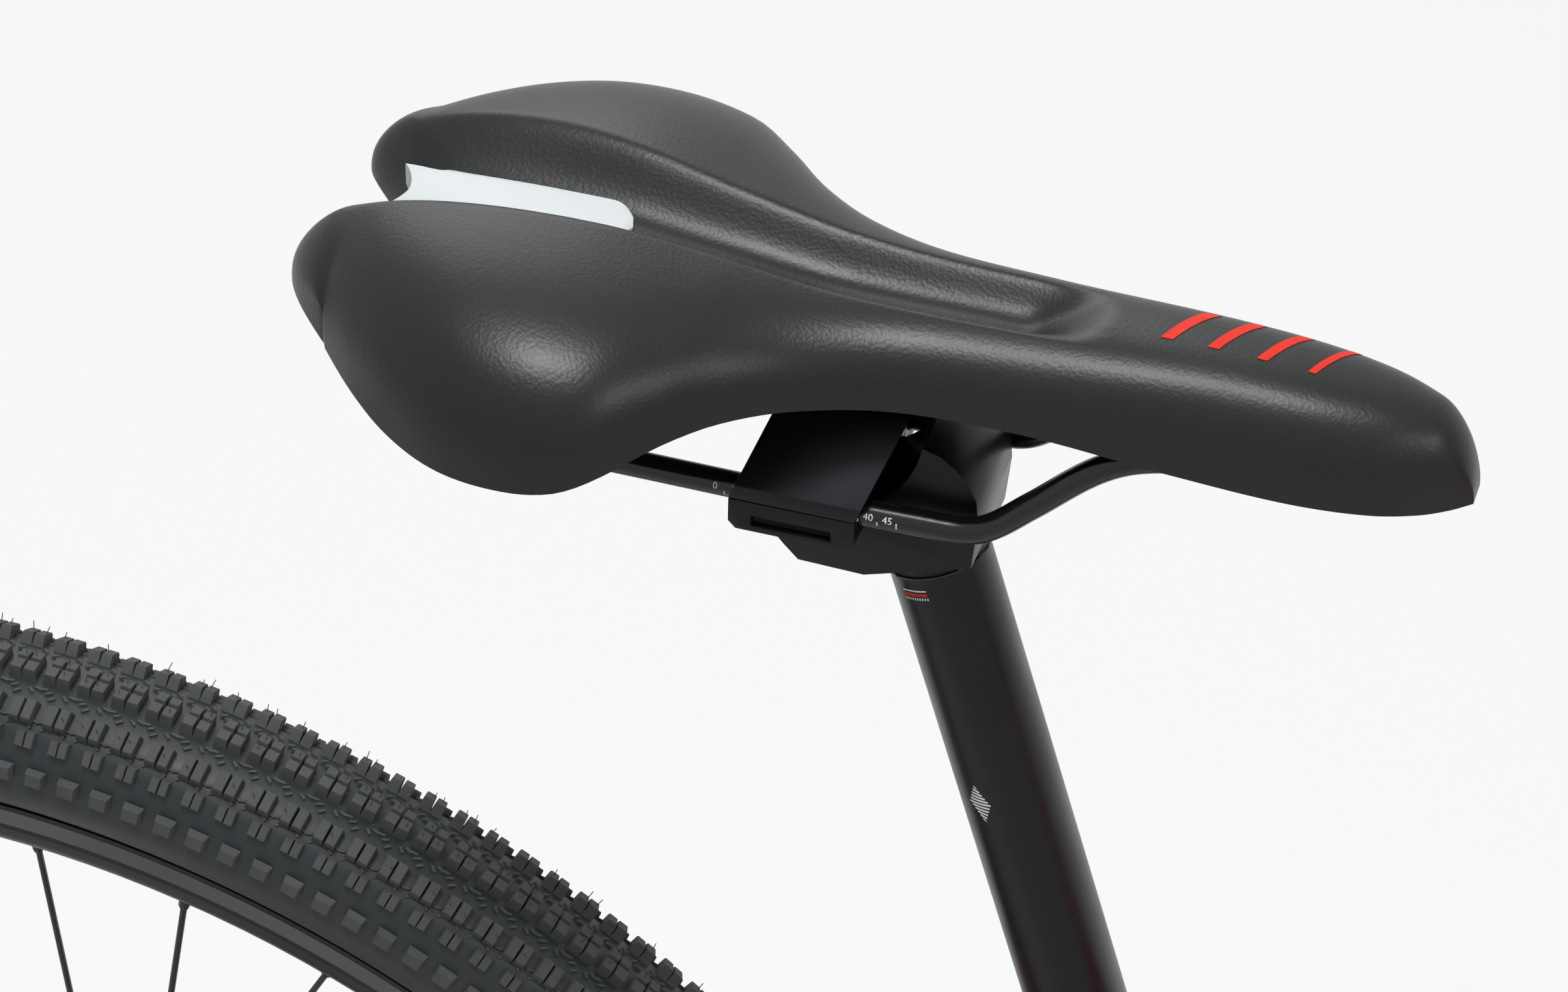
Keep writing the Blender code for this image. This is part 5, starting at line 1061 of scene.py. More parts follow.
def make_tyre(end, axle):
    """The tyre's casing, with a moulded rib above the rim."""
    bead = RIM_HALF_WIDTH - FLANGE_WALL - GAP
    outer = [(RIM_BED + 0.5, bead), (RIM_OUTER + 1, bead), (RIM_OUTER + 2.2, bead + 2.4),
        (RIM_OUTER + 3.2, bead + 2.6), (RIM_OUTER + 4, bead + 2.2), (303.5, 17.6), (308, 21.4), (312, 23.2)]
    outer += [(casing_radius(y), y) for y in (23.9, 23.7, 23.4, 23, 22.4, 21.8, 21, 20, 19, 18, 16, 14, 11, 8, 5,
        2.5)]
    inner = [(336, 0), (334, 12), (326, 19), (312, 19), (303, 12), (RIM_BED + 0.5, bead - 3)]
    profile = outer + [(340.2, 0)] + [(r, -y) for r, y in reversed(outer)]
    profile += [(r, -y) for r, y in reversed(inner[1:])] + inner
    lathe("tyre_" + end, profile, sideways(axle), 60, "rubber")
    settle(["tyre_" + end])


def make_tread(end, axle):
    """Rows of tread blocks set round the casing, and the fine hairs that the mould leaves on a new tyre."""
    count = bpy.context.scene.bike_sizes.tread_blocks
    pitch = 2 * pi / count
    # Each block's place across, share of the pitch, length, width, height and turn
    rows = [(1.9, -0.19, 3.5, 3.5, 3.6, 0.0), (1.9, 0.19, 3.5, 3.5, 3.6, 0.0), (-2.3, -0.2, 3.9, 4.3, 3.6, 0.0),
        (-2.3, 0.2, 3.9, 4.3, 3.6, 0.0)]
    for side in (-1, 1):
        rows += [(side * 14.6, 0.28, 3.3, 6.6, 3.4, 0.0), (side * 14.6, 0.63, 3.3, 6.6, 3.4, 0.0),
            (side * 19.8, 0.02, 2.7, 4.6, 2.2, 0.0), (side * 19.8, 0.3, 2.7, 4.6, 2.2, 0.0),
            (side * 23.2, 0.7, 5.6, 4.6, 2.6, 0.0)]
        for place, y, turn in ((0.92, 9.3, 0.75), (1.06, 7.7, 0.5), (1.22, 6.8, 0.15), (1.4, 6.9, -0.25),
                (1.57, 8.0, -0.7)):
            rows.append((side * y, place, 2.3, 0.8, 0.8, side * turn))
        for place, y, turn in ((0.2, 17.4, -0.8), (0.06, 16.2, -0.35), (-0.1, 16.1, 0.35), (-0.23, 17.3, 0.8)):
            rows.append((side * y, place, 2.0, 0.7, 0.7, side * turn))
    blocks = []
    hairs = []
    body = end + "_wheel"
    chance = random.Random(11)
    for k in range(count):
        for y, share, length, width, height, turn in rows:
            a = pitch * (k + share)
            radius = casing_radius(y)
            slope = (casing_radius(abs(y) + 0.4) - casing_radius(abs(y) - 0.4)) / 0.8 * (1 if y > 0 else -1)
            out = Vector((cos(a), -slope, sin(a))).normalized()
            ahead = Vector((-sin(a), 0, cos(a)))
            if turn:
                ahead = (ahead * cos(turn) + Vector((0, sin(turn), 0))).normalized()
            place = axle + Vector((radius * cos(a), y, radius * sin(a)))
            blocks.append((frame_at(place, out, ahead), (length, width, height)))
            if end == "rear" and abs(y) < 16 and width > 3 and chance.random() < 0.5:
                root = place + out * height * 0.9 + ahead * chance.uniform(-1, 1)
                lean = out + ahead * chance.uniform(-0.25, 0.25) + Vector((0, chance.uniform(-0.2, 0.2), 0))
                lean.normalize()
                tip = (root + lean * HAIR_LENGTH) * MM
                if all(CAD_BOX[0][c] < tip[c] < CAD_BOX[1][c] for c in range(3)):
                    hairs.append((frame_at(root, lean, ahead), (1, 1, chance.uniform(0.6, 1.0))))
    repeat("tread_" + end, block_stub("tread_block", "knob"), blocks, "knob", 0.03, 2)
    settle(["tread_" + end], body)
    if hairs:
        scatter("hairs", [(0.2, -0.3), (0.15, HAIR_LENGTH - 0.2), (0, HAIR_LENGTH)], hairs, 3, "knob", 0.0, 4)
        settle(["hairs"], body)


def block_stub(name, material):
    """A tread block one millimetre each way, narrower at its top and sunk a little at its foot."""
    square = ((-1, -1), (1, -1), (1, 1), (-1, 1))
    verts = [(x * s, y * s, z) for z, s in ((-0.25, 0.54), (0.8, 0.47), (1.0, 0.42)) for x, y in square]
    foot, edge, top = range(4), range(4, 8), range(8, 12)
    faces = [[3, 2, 1, 0], list(top)] + walls(foot, edge) + walls(edge, top)
    return add_piece(name, verts, faces, Matrix(), material)


def make_rim(end, axle):
    """The rim's box section, with its turned sidewalls and a valve."""
    wide = RIM_HALF_WIDTH
    half = [(RIM_INNER, 0), (RIM_INNER, 5.4), (280.4, 7.6), (283, 10.6), (286.4, 12.9), (288, wide - 0.3),
        (290, wide), (290.6, wide - 0.35), (291.2, wide - 0.35), (291.2, wide - 0.1), (297.2, wide - 0.1),
        (RIM_OUTER, wide - 0.5), (RIM_OUTER, wide - FLANGE_WALL), (RIM_BED, wide - FLANGE_WALL), (RIM_BED, 0)]
    profile = half + [(r, -y) for r, y in reversed(half[1:-1])]
    lathe("rim_" + end, profile, sideways(axle), 60, "rim")
    body = end + "_wheel"
    for side in (-1, 1):
        y = side * wide
        lathe(f"sidewall_{end}_{side + 2}", [(291.6, y - side * 0.12), (291.6, y), (296.9, y),
            (296.9, y - side * 0.12)], sideways(axle), 60, "machined")
    a = FIRST_SPOKE + 2 * pi * 17.5 / SPOKES
    inward = Vector((-cos(a), 0, sin(a)))
    valve = frame_at(axle - inward * RIM_INNER, inward)
    lathe("valve_" + end, [(0, -1), (4.2, -1), (4.2, 0.8), (3.4, 1.8), (3.1, 2), (3.1, 24), (3.9, 24.5), (3.9, 33),
        (3, 34.5), (0, 34.5)], valve, 6, "plastic")
    settle(["rim_" + end])
    settle([f"sidewall_{end}_1", f"sidewall_{end}_3", "valve_" + end], body)


def make_hub(end, axle, ends, flanges, rotor_y):
    """A hub shell, its laced spokes, and the nipples that hold them in the rim."""
    bore = AXLE_RADIUS + RUN
    low, high = ends
    right, left = flanges
    edge = FLANGE_HALF
    rims = [[(FLANGE_RADIUS - 0.6, y - edge), (FLANGE_RADIUS, y - edge + 0.6), (FLANGE_RADIUS, y + edge - 0.6),
        (FLANGE_RADIUS - 0.6, y + edge)] for y in flanges]
    profile = [(bore, low), (12.4, low), (13, low + 0.6), (15, right - 5), (24, right - edge), *rims[0],
        (22, right + edge), (16, right + 5), (14, right + 9), (13.2, 0.5 * (right + left)), (14, left - 9),
        (16, left - 5), (22, left - edge), *rims[1], (20, left + edge + 1), (20, rotor_y - 1.3),
        (15.5, rotor_y - 1.3), (13, high), (bore, high)]
    name = "spoked_hub_" + end
    lathe(name, profile, sideways(axle), 20)
    spokes = []
    nipples = []
    base = sideways(axle)
    body = end + "_wheel"
    for k in range(SPOKES):
        hole = -(FIRST_SPOKE - 2 * pi * k / SPOKES)
        flange = flanges[(k + 1) % 2]
        trailing = -1 if (k // 2) % 2 else 1
        turn = hole + trailing * 2 * pi * SPOKE_CROSS / (SPOKES / 2)
        start = Vector((SPOKE_CIRCLE * cos(turn), SPOKE_CIRCLE * sin(turn), flange + trailing * SPOKE_OFFSET))
        end_point = Vector((RIM_INNER * cos(hole), RIM_INNER * sin(hole), 0))
        foot, tip = base @ (start * MM), base @ (end_point * MM)
        along = (tip - foot).normalized()
        spokes.append((frame_at(foot / MM, along, (0, 1, 0)), (1, 1, (tip - foot).length / MM)))
        nipples.append(frame_at(tip / MM, -along, (0, 1, 0)))
    scatter("spokes_" + end, [(0, 0), (1.0, 0), (1.0, 1), (0, 1)], spokes, 8, "wire")
    scatter("nipples_" + end, [(0, -1), (2.5, -1), (2.5, 0.6), (1.9, 1.4), (1.75, 8.4), (1.2, 9.6), (0, 9.6)],
        nipples, 8, "wire")
    settle([name])
    settle(["spokes_" + end, "nipples_" + end], body)


def make_rotor(end, axle, rotor_y):
    """A brake disc with windows between its arms and vent holes in its track."""
    low = rotor_y - ROTOR_THICKNESS / 2
    high = rotor_y + ROTOR_THICKNESS / 2
    name = "rotor_" + end
    rotor = bush(name, 16.3, ROTOR_RADIUS, low, high, sideways(axle), 32, "steel")
    for k in range(6):
        turn = 60 * k
        outline = arc((0, 0), 62, turn, turn + 42, 4) + arc((0, 0), 27, turn + 66, turn + 26, 3)
        carve(rotor, prism(f"{name}_window_{k + 1}", outline, low - 5, high + 5, sideways(axle), "steel"))
    holes = [spot(radius, 2 * pi * (k + shift) / 36) for k in range(36)
        for radius, shift in ((66.5, 0), (71, 0.35), (75.5, 0.7))]
    drill(rotor, sideways(axle), holes, 1.5, low - 3, high + 3, "steel")
    settle([name])
    bolts = [frame_at(axle + Vector((22 * cos(k * pi / 3), rotor_y + 1, 22 * sin(k * pi / 3))), (0, 1, 0))
        for k in range(6)]
    head = [(3.2, -0.4), (3.2, 1.2), (2.6, 1.9), (1.5, 1.9), (1.4, 0.9), (0, 0.9)]
    scatter("rotor_bolts_" + end, head, bolts, 10)
    settle(["rotor_bolts_" + end], end + "_wheel")
    clear_helpers()


def make_wheels():
    """Both wheels with their tyres, rims, spokes, hubs, brake discs and axles."""
    for end, axle in (("front", FRONT_AXLE), ("rear", REAR_AXLE)):
        make_tyre(end, axle)
        make_tread(end, axle)
        make_rim(end, axle)
    make_hub("front", FRONT_AXLE, (-44, 46), (-30, 30), FRONT_ROTOR_Y)
    make_hub("rear", REAR_AXLE, (-23.5, 58), (-20, 33), REAR_ROTOR_Y)
    make_rotor("front", FRONT_AXLE, FRONT_ROTOR_Y)
    make_rotor("rear", REAR_AXLE, REAR_ROTOR_Y)
    make_axles()


def make_axles():
    """The front through axle and the rear quick-release skewer with its lever."""
    thick = AXLE_RADIUS
    thin = AXLE_END_RADIUS
    edge = FRONT_HALF_AXLE
    lathe("axle_front", [(0, -edge - 15), (thin - 0.5, -edge - 15), (thin, -edge - 14.5), (thin, -edge), (9, -edge),
        (9, -edge + 5.4), (thick, -edge + 5.4), (thick, edge - 3.4), (9, edge - 3.4), (9, edge), (thin, edge),
        (thin, edge + 14.5), (thin - 0.5, edge + 15), (0, edge + 15)], sideways(FRONT_AXLE), 12, "steel")
    edge = REAR_HALF_AXLE
    out = DROPOUT_INNER + DROPOUT_THICKNESS + GAP
    rear = lathe("axle_rear", [(0, -out - 9), (8, -out - 9), (9, -out - 8), (9, -out), (thin, -out), (thin, -edge),
        (thick, -edge), (thick, edge - 9), (9, edge - 9), (9, edge), (thin, edge), (thin, out), (9, out),
        (9, out + 10), (8, out + 11), (0, out + 11)], sideways(REAR_AXLE), 12, "steel")
    bends = ((0, out + 7, 0), (-10, out + 9, 0), (-24, out + 6, 0), (-46, out + 3, 0))
    lever = sweep("skewer_lever", [REAR_AXLE + Vector(p) for p in bends], [(5, 3.5), (5, 3.5), (5, 2.5), (6, 2)], 8,
        "alloy", (0, 1, 0))
    unite(rear, lever)
    settle(["axle_front", "axle_rear"], edge=0.3)
    clear_helpers()


def make_cassette():
    """The rear sprockets, with teeth, spacers and lock ring."""
    names = []
    lathe("cassette", [(AXLE_RADIUS + RUN, -25), (17, -25), (17, -64.4), (15.5, -65.8), (11, -65.8),
        (AXLE_RADIUS + RUN, -63)], sideways(REAR_AXLE), 12, "steel")
    for k, teeth in enumerate(SPROCKET_TEETH):
        middle = CHAIN_PLANE - (ENGAGED - k) * SPROCKET_STEP
        name = f"sprocket_{k + 1}"
        names.append(name)
        disc = toothed_ring(name, teeth, 16.5, middle - 0.9, middle + 0.9, sideways(REAR_AXLE), "steel", 0.04 * k)
        if teeth > 17:
            wide = pitch_radius(teeth) - 9
            for j in range(5):
                turn = 72 * j + 9 * k
                outline = arc((0, 0), wide, turn, turn + 44, 3) + arc((0, 0), 21, turn + 34, turn + 10, 3)
                carve(disc, prism(f"{name}_window_{j + 1}", outline, middle - 4, middle + 4, sideways(REAR_AXLE),
                    "steel"))
    settle(["cassette"])
    settle(names, "sprockets")
    clear_helpers()


def make_chain():
    """The chain's links along its path, outer and inner plates by turns, with a roller at every pin."""
    path = [Vector((x, CHAIN_PLANE, z)) for x, z in chain_path()]
    path.append(path[0])
    run = [0.0]
    for before, after in zip(path, path[1:]):
        run.append(run[-1] + (after - before).length)
    count = 2 * round(run[-1] / CHAIN_PITCH / 2)
    pins = []
    k = 0
    for j in range(count + 1):
        place = run[-1] * (j % count) / count
        while k < len(run) - 2 and run[k + 1] < place:
            k += 1
        if j == count:
            k = 0
        pins.append(path[k].lerp(path[k + 1], (place - run[k]) / (run[k + 1] - run[k])))
    links = {0: [], 1: []}
    rollers = []
    for j in range(count):
        here, there = pins[j], pins[j + 1]
        links[j % 2].append(frame_at((here + there) / 2, (0, 1, 0), there - here))
        rollers.append(frame_at(here, (0, 1, 0)))
    for name, places, gap in (("outer_links", links[0], 2.4), ("inner_links", links[1], 1.5)):
        repeat(name, link_stub("link_plate", gap, "steel"), places, "steel")
    scatter("rollers", [(0, -3.3), (1.9, -3.3), (1.9, -1.5), (3.8, -1.5), (3.8, 1.5), (1.9, 1.5), (1.9, 3.3),
        (0, 3.3)], rollers, 9)
    settle(["outer_links"], "frame", nodes=["chain"])
    settle(["inner_links", "rollers"], "frame")


def link_stub(name, gap, material):
    """A pair of waisted link plates, one to each side of the rollers."""
    half = [(6.35 + 4.0 * cos(a), 4.0 * sin(a)) for a in (-1.5, -0.75, 0, 0.75, 1.5)] + [(2.2, 2.9)]
    outline = list(dict.fromkeys(half + [(-x, y) for x, y in reversed(half)] + [(-2.2, -2.9), (2.2, -2.9)]))
    verts = []
    faces = []
    for low in (gap, -gap - 0.9):
        ends = [list(range(k, k + len(outline))) for k in (len(verts), len(verts) + len(outline))]
        verts += [(x, y, z) for z in (low, low + 0.9) for x, y in outline]
        faces += ends + walls(*ends)
    return add_piece(name, verts, faces, Matrix(), material)


def make_cranks():
    """Cranks on their spindle, with the arms that carry the chainring, and both pedals."""
    for name, side in (("crank_right", -1), ("crank_left", 1)):
        base = frame_at(BB, (0, side, 0), (cos(CRANK_ANGLE) * -side, 0, sin(CRANK_ANGLE) * -side))
        cup_end = BB_HALF_WIDTH + CUP_WIDTH
        arm = prism(name, arc((0, 0), 17, 120, 240, 6) + arc((CRANK_LENGTH, 0), 12, -90, 90, 6), CRANK_FACE - 13,
            CRANK_FACE, base)
        boss = rod(name + "_boss", 16, cup_end + RUN, CRANK_FACE - 5, base, 20)
        tip = frame_at(pedal_place(side), (0, side, 0))
        pin = rod(name + "_pedal_axle", 5, CRANK_FACE - 6, CRANK_FACE + 2 + PEDAL_WIDTH - 6, tip, 12, "steel")
        unite(arm, boss, pin)
        if side < 0:
            spindle = rod("spindle", SPINDLE_RADIUS, -CRANK_FACE + 12, CRANK_FACE - 8, base, 20, "steel")
            unite(arm, spindle)
            ring_face = -CHAIN_PLANE + 1.5 + GAP
            for k in range(4):
                turn = pi * (k / 2 + 0.25)
                spread = frame_at(BB, (0, side, 0), (cos(turn), 0, sin(turn)))
                unite(arm, prism(f"spider_{k + 1}", stadium(48, 7, 4), ring_face, ring_face + 4, spread))
        else:
            carve(arm, rod("spindle_socket", SPINDLE_RADIUS + 0.4, cup_end - 5, CRANK_FACE - 11.4, base, 20))
        make_pedal("pedal_right" if side < 0 else "pedal_left", side)


def make_pedal(name, side):
    """A flat pedal with two windows, on the axle that the crank carries."""
    low, high = CRANK_FACE + 2, CRANK_FACE + 2 + PEDAL_WIDTH
    x, y, cut = PEDAL_LENGTH / 2, PEDAL_WIDTH / 2, 12
    outline = [(-x, cut - y), (cut - x, -y), (x - cut, -y), (x, cut - y), (x, y - cut), (x - cut, y), (cut - x, y),
        (-x, y - cut)]
    shift = frame_at(pedal_place(side) + Vector((0, side * (low + high) / 2, 0)))
    pedal = prism(name, outline, -PEDAL_THICKNESS / 2, PEDAL_THICKNESS / 2, shift, "plastic")
    for k, (near, far) in enumerate(((-38, -17), (17, 38))):
        carve(pedal, block(f"{name}_window_{k + 1}", (near, cut - y, -20), (far, y - cut, 20), shift, "plastic"))
    carve(pedal, rod(name + "_bore", 5 + RUN, low - 5, high - 5, frame_at(pedal_place(side), (0, side, 0)), 16,
        "plastic"))


def make_derailleur():
    """Rear derailleur: a knuckle on the hanger, a swinging link, a knuckle that stays upright, and the cage."""
    axle = frame_at(REAR_AXLE)
    hanger = frame_at(REAR_AXLE + Vector(HANGER_HOLE), (0, -1, 0))
    face = DROPOUT_INNER + DROPOUT_THICKNESS + GAP
    upper = rod("derailleur_knuckle", 11, face, 90, hanger, 16)
    unite(upper, rod("knuckle_bolt", 4.6, DROPOUT_INNER, face + 3, hanger, 12))
    top = LINK_TOP - REAR_AXLE
    bottom = LINK_BOTTOM - REAR_AXLE
    for k, near in enumerate((top.x - 12, top.x + 8.6)):
        unite(upper, block(f"upper_cheek_{k}", (near, -89, top.z - 6), (near + 3.4, -77, HANGER_HOLE[2]), axle))
    unite(upper, rod("upper_pin", 2.6, -10, 10, crossways(LINK_TOP), 8))
    link = prism("derailleur_link", stadium(LINK_LENGTH, 5.5, 6), -8, 8, frame_at(LINK_TOP, (1, 0, 0), (0, 0, -1)))
    for name, place in (("link_bore_top", LINK_TOP), ("link_bore_bottom", LINK_BOTTOM)):
        carve(link, rod(name, 2.7 + RUN, -20, 20, crossways(place), 8))
    pivot = frame_at(Vector((JOCKEY_UPPER.x, 0, JOCKEY_UPPER.z)), (0, -1, 0))
    lower = rod("derailleur_moving_knuckle", 10, 61, 71, pivot, 16)
    unite(lower, rod("cage_stud", 4, 56, 63, pivot, 12))
    for k, near in enumerate((bottom.x - 12, bottom.x + 8.6)):
        unite(lower, block(f"lower_cheek_{k}", (near, -89, bottom.z - 7), (near + 3.4, -66, bottom.z + 6), axle))
    unite(lower, rod("lower_pin", 2.6, -10, 10, crossways(LINK_BOTTOM), 8))
    make_cage(pivot)


def make_cage(pivot):
    """The spring cage with the two pins of its jockey wheels."""
    plane = -CHAIN_PLANE
    lean = (sin(CAGE_LEAN), 0, -cos(CAGE_LEAN))
    low_pivot = frame_at(Vector((JOCKEY_LOWER.x, 0, JOCKEY_LOWER.z)), (0, -1, 0))
    plates = frame_at(Vector((JOCKEY_UPPER.x, 0, JOCKEY_UPPER.z)), (0, -1, 0), lean)
    cage = prism("derailleur_cage", stadium(JOCKEY_SPACING, 11, 6), plane + 6.5, plane + 8.5, plates)
    inner = prism("inner_plate", stadium(JOCKEY_SPACING, 9, 6), plane - 8, plane - 6.5, plates)
    unite(cage, inner, rod("cage_boss", 9, plane + 8, 60.4, pivot, 16))
    for name, place in (("cage_pin_upper", pivot), ("cage_pin_lower", low_pivot)):
        unite(cage, rod(name, 3, plane - 7, plane + 7, place, 12))
    carve(cage, rod("stud_bore", 4 + RUN, 55.6, 70, pivot, 12))


def make_calipers():
    """A brake caliper over the edge of each disc."""
    make_caliper("caliper_rear", REAR_ROTOR_Y, DROPOUT_INNER - GAP, frame_at(REAR_AXLE, (0, 1, 0), REAR_CALIPER_UP))
    make_caliper("caliper_front", FRONT_ROTOR_Y, LEG_TAB_INNER - GAP,
        frame_at(FRONT_AXLE, (0, 1, 0), FRONT_CALIPER_UP))


def make_caliper(name, rotor_y, lug, base):
    """A caliper body with a slot for the disc and a foot that reaches its mount."""
    body = block(name, (58, -17, rotor_y - 9), (90, 17, rotor_y + 9), base)
    foot = block(name + "_foot", (66, -17, rotor_y + 8), (84, 17, lug), base)
    slot = block(name + "_slot", (50, -30, rotor_y - 2), (ROTOR_RADIUS + 2, 30, rotor_y + 2), base)
    unite(body, foot)
    carve(body, slot)


def make_drivetrain():
    """Cranks, chainring, pedals, derailleur, cassette, chain and brake calipers."""
    make_cranks()
    ring = toothed_ring("chainring", RING_TEETH, 42, CHAIN_PLANE - 1.3, CHAIN_PLANE + 1.3, sideways(BB), "alloy")
    drill(ring, sideways(BB), [spot(48, pi * (k / 4 + 0.125)) for k in range(8)], 2.4, CHAIN_PLANE - 4,
        CHAIN_PLANE + 4, "alloy")
    settle(["crank_right", "crank_left"], edge=1.6)
    settle(["chainring"])
    settle(["pedal_right", "pedal_left"], edge=1.2)
    clear_helpers()
    make_pins()
    make_derailleur()
    for name, centre in (("jockey_upper", JOCKEY_UPPER), ("jockey_lower", JOCKEY_LOWER)):
        place = frame_at(centre, (0, -1, 0))
        toothed_ring(name, JOCKEY_TEETH, 3.6, -1.1, 1.1, place, "plastic")
        lathe(name + "_hub", [(3.6, -4), (7, -4), (7.6, -1.1), (7.6, 1.1), (7, 4), (3.6, 4)], place, 8, "steel")
    settle(["derailleur_knuckle", "derailleur_link", "derailleur_moving_knuckle", "derailleur_cage"], edge=0.6)
    settle(["jockey_upper", "jockey_lower"])
    settle(["jockey_upper_hub"], "upper_jockey")
    settle(["jockey_lower_hub"], "lower_jockey")
    clear_helpers()
    make_calipers()
    settle(["caliper_rear", "caliper_front"], edge=1.4)
    clear_helpers()
    make_cassette()
    make_chain()


def make_pins():
    """Grip pins on both faces of each pedal, the crank bolts and the chainring bolts."""
    head = [(0, -0.5), (4.6, -0.5), (4.6, 3.2), (3.9, 4), (2.5, 4), (2.4, 1.8), (0, 1.8)]
    for side, name in ((-1, "pedal_right"), (1, "pedal_left")):
        middle = pedal_place(side) + Vector((0, side * (CRANK_FACE + 2 + PEDAL_WIDTH / 2), 0))
        places = [(x, y) for x in (-42, 42) for y in (-26, 0, 26)]
        places += [(x, y) for y in (-39.5, 39.5) for x in (-27, 27)]
        pins = [frame_at(middle + Vector((x, y, up * (PEDAL_THICKNESS / 2 - 0.3))), (0, 0, up)) for x, y in places
            for up in (-1, 1)]
        scatter(name + "_pins", [(0, -1), (1.6, -1), (1.6, 2.2), (1.1, 2.6), (0, 2.6)], pins, 6)
        settle([name + "_pins"], "right_pedal" if side < 0 else "left_pedal")
    bolts = [(frame_at(BB + Vector((0, side * CRANK_FACE, 0)), (0, side, 0)), (1.9, 1.9, 0.7)) for side in (-1, 1)]
    for k in range(4):
        a = pi * (k / 2 + 0.25)
        bolts.append((frame_at(BB + Vector((48 * cos(a), CHAIN_PLANE - 5.7, 48 * sin(a))), (0, -1, 0)), (1, 1, 0.45)))
    scatter("crank_bolts", head, bolts, 12)
    settle(["crank_bolts"], "crankset")


def make_stem():
    """The stem: a clamp round the steerer, an arm and a clamp round the handlebar."""
    top = STEM_BOTTOM + STEM_HEIGHT
    stem = rod("stem", 20, STEM_BOTTOM, top + 4, STEER, 16)
    middle = CROWN + STEER_UP * (STEM_BOTTOM + STEM_HEIGHT / 2)
    arm = sweep("stem_arm", [middle.lerp(BAR_CENTRE, 0.15), middle.lerp(BAR_CENTRE, 0.9)], [(16, 17), (17, 14)], 12)
    front = rod("bar_clamp", BAR_RADIUS + 5, -24, 24, sideways(BAR_CENTRE), 16)
    unite(stem, arm, front)
    carve(stem, rod("steerer_bore", STEERER_RADIUS + 0.5, STEM_BOTTOM - 5, top - 3, STEER, 16))
    carve(stem, rod("bar_bore", BAR_RADIUS + 0.6, -40, 40, sideways(BAR_CENTRE), 16))


def make_brake_lever(name, side, along):
    """A brake's master cylinder, clamped on the bar, and its lever."""
    bend, out, up, ahead = bar_end(side)
    square = frame_at(bend, up, ahead)
    body = bush("brake_body_" + name, BAR_END_RADIUS + 0.5, 15.5, 18, 32, along, 12)
    cylinder = rod("cylinder_" + name, 8.5, -12, 36, frame_at(on_bar(side, LEVER_REACH - 6, 0, 0), out, ahead), 10)

    def bar_block(label, near, far):
        ends = sorted((side * near[1], side * far[1]))
        return block(f"{label}_{name}", (near[0], ends[0], near[2]), (far[0], ends[1], far[2]), square)

    unite(body, cylinder, bar_block("bridge", (13, 19, -6), (26, 31, 6)),
        bar_block("cheek_up", (LEVER_REACH - 8, 28, 6), (LEVER_REACH + 6, LEVER_PIVOT + 6, 9)),
        bar_block("cheek_down", (LEVER_REACH - 8, 28, -9), (LEVER_REACH + 6, LEVER_PIVOT + 6, -6)))
    swing = frame_at(on_bar(side, LEVER_REACH, LEVER_PIVOT, 0), up, ahead)
    unite(body, rod("lever_pin_" + name, 2.6, -8, 8, swing, 8))
    outline = [(-5, -3), (0, -6), (6, -4), (13, 6), (20, 30), (23, 70), (23, 92), (18, 99), (14, 93), (15, 68),
        (12, 34), (5, 12), (-3, 6)]
    lever = prism("brake_lever_" + name, [(x, side * y) for x, y in outline], -5, 5, swing)
    carve(lever, rod("lever_bore_" + name, 2.7 + RUN, -20, 20, swing, 8))


def make_seatpost():
    """The post and its set-back head, whose round seat lets the saddle tilt."""
    post = rod("seatpost", POST_RADIUS, RAIL_HEIGHT - POST_LENGTH, RAIL_HEIGHT - 16, SEAT, 20)
    outline = arc(SEAT_ARC_CENTRE, SEAT_ARC_RADIUS, -8, -122, 9)
    outline += [(-38, -10), (-29, -20), (-25, -24), (-7.5, -24.5), (20.3, -15.6), (21.5, -2), (20.8, 5), (18.5, 9.5),
        (15, 13.5), (11, 16.5)]
    head = prism("post_head", outline, -HEAD_HALF_WIDTH, HEAD_HALF_WIDTH, RAILS_UPRIGHT)
    slot = block("bolt_slot", (-36.5, -60, -4), (-10.5, 0, 4), RAILS_UPRIGHT)
    unite(post, head)
    carve(post, slot)


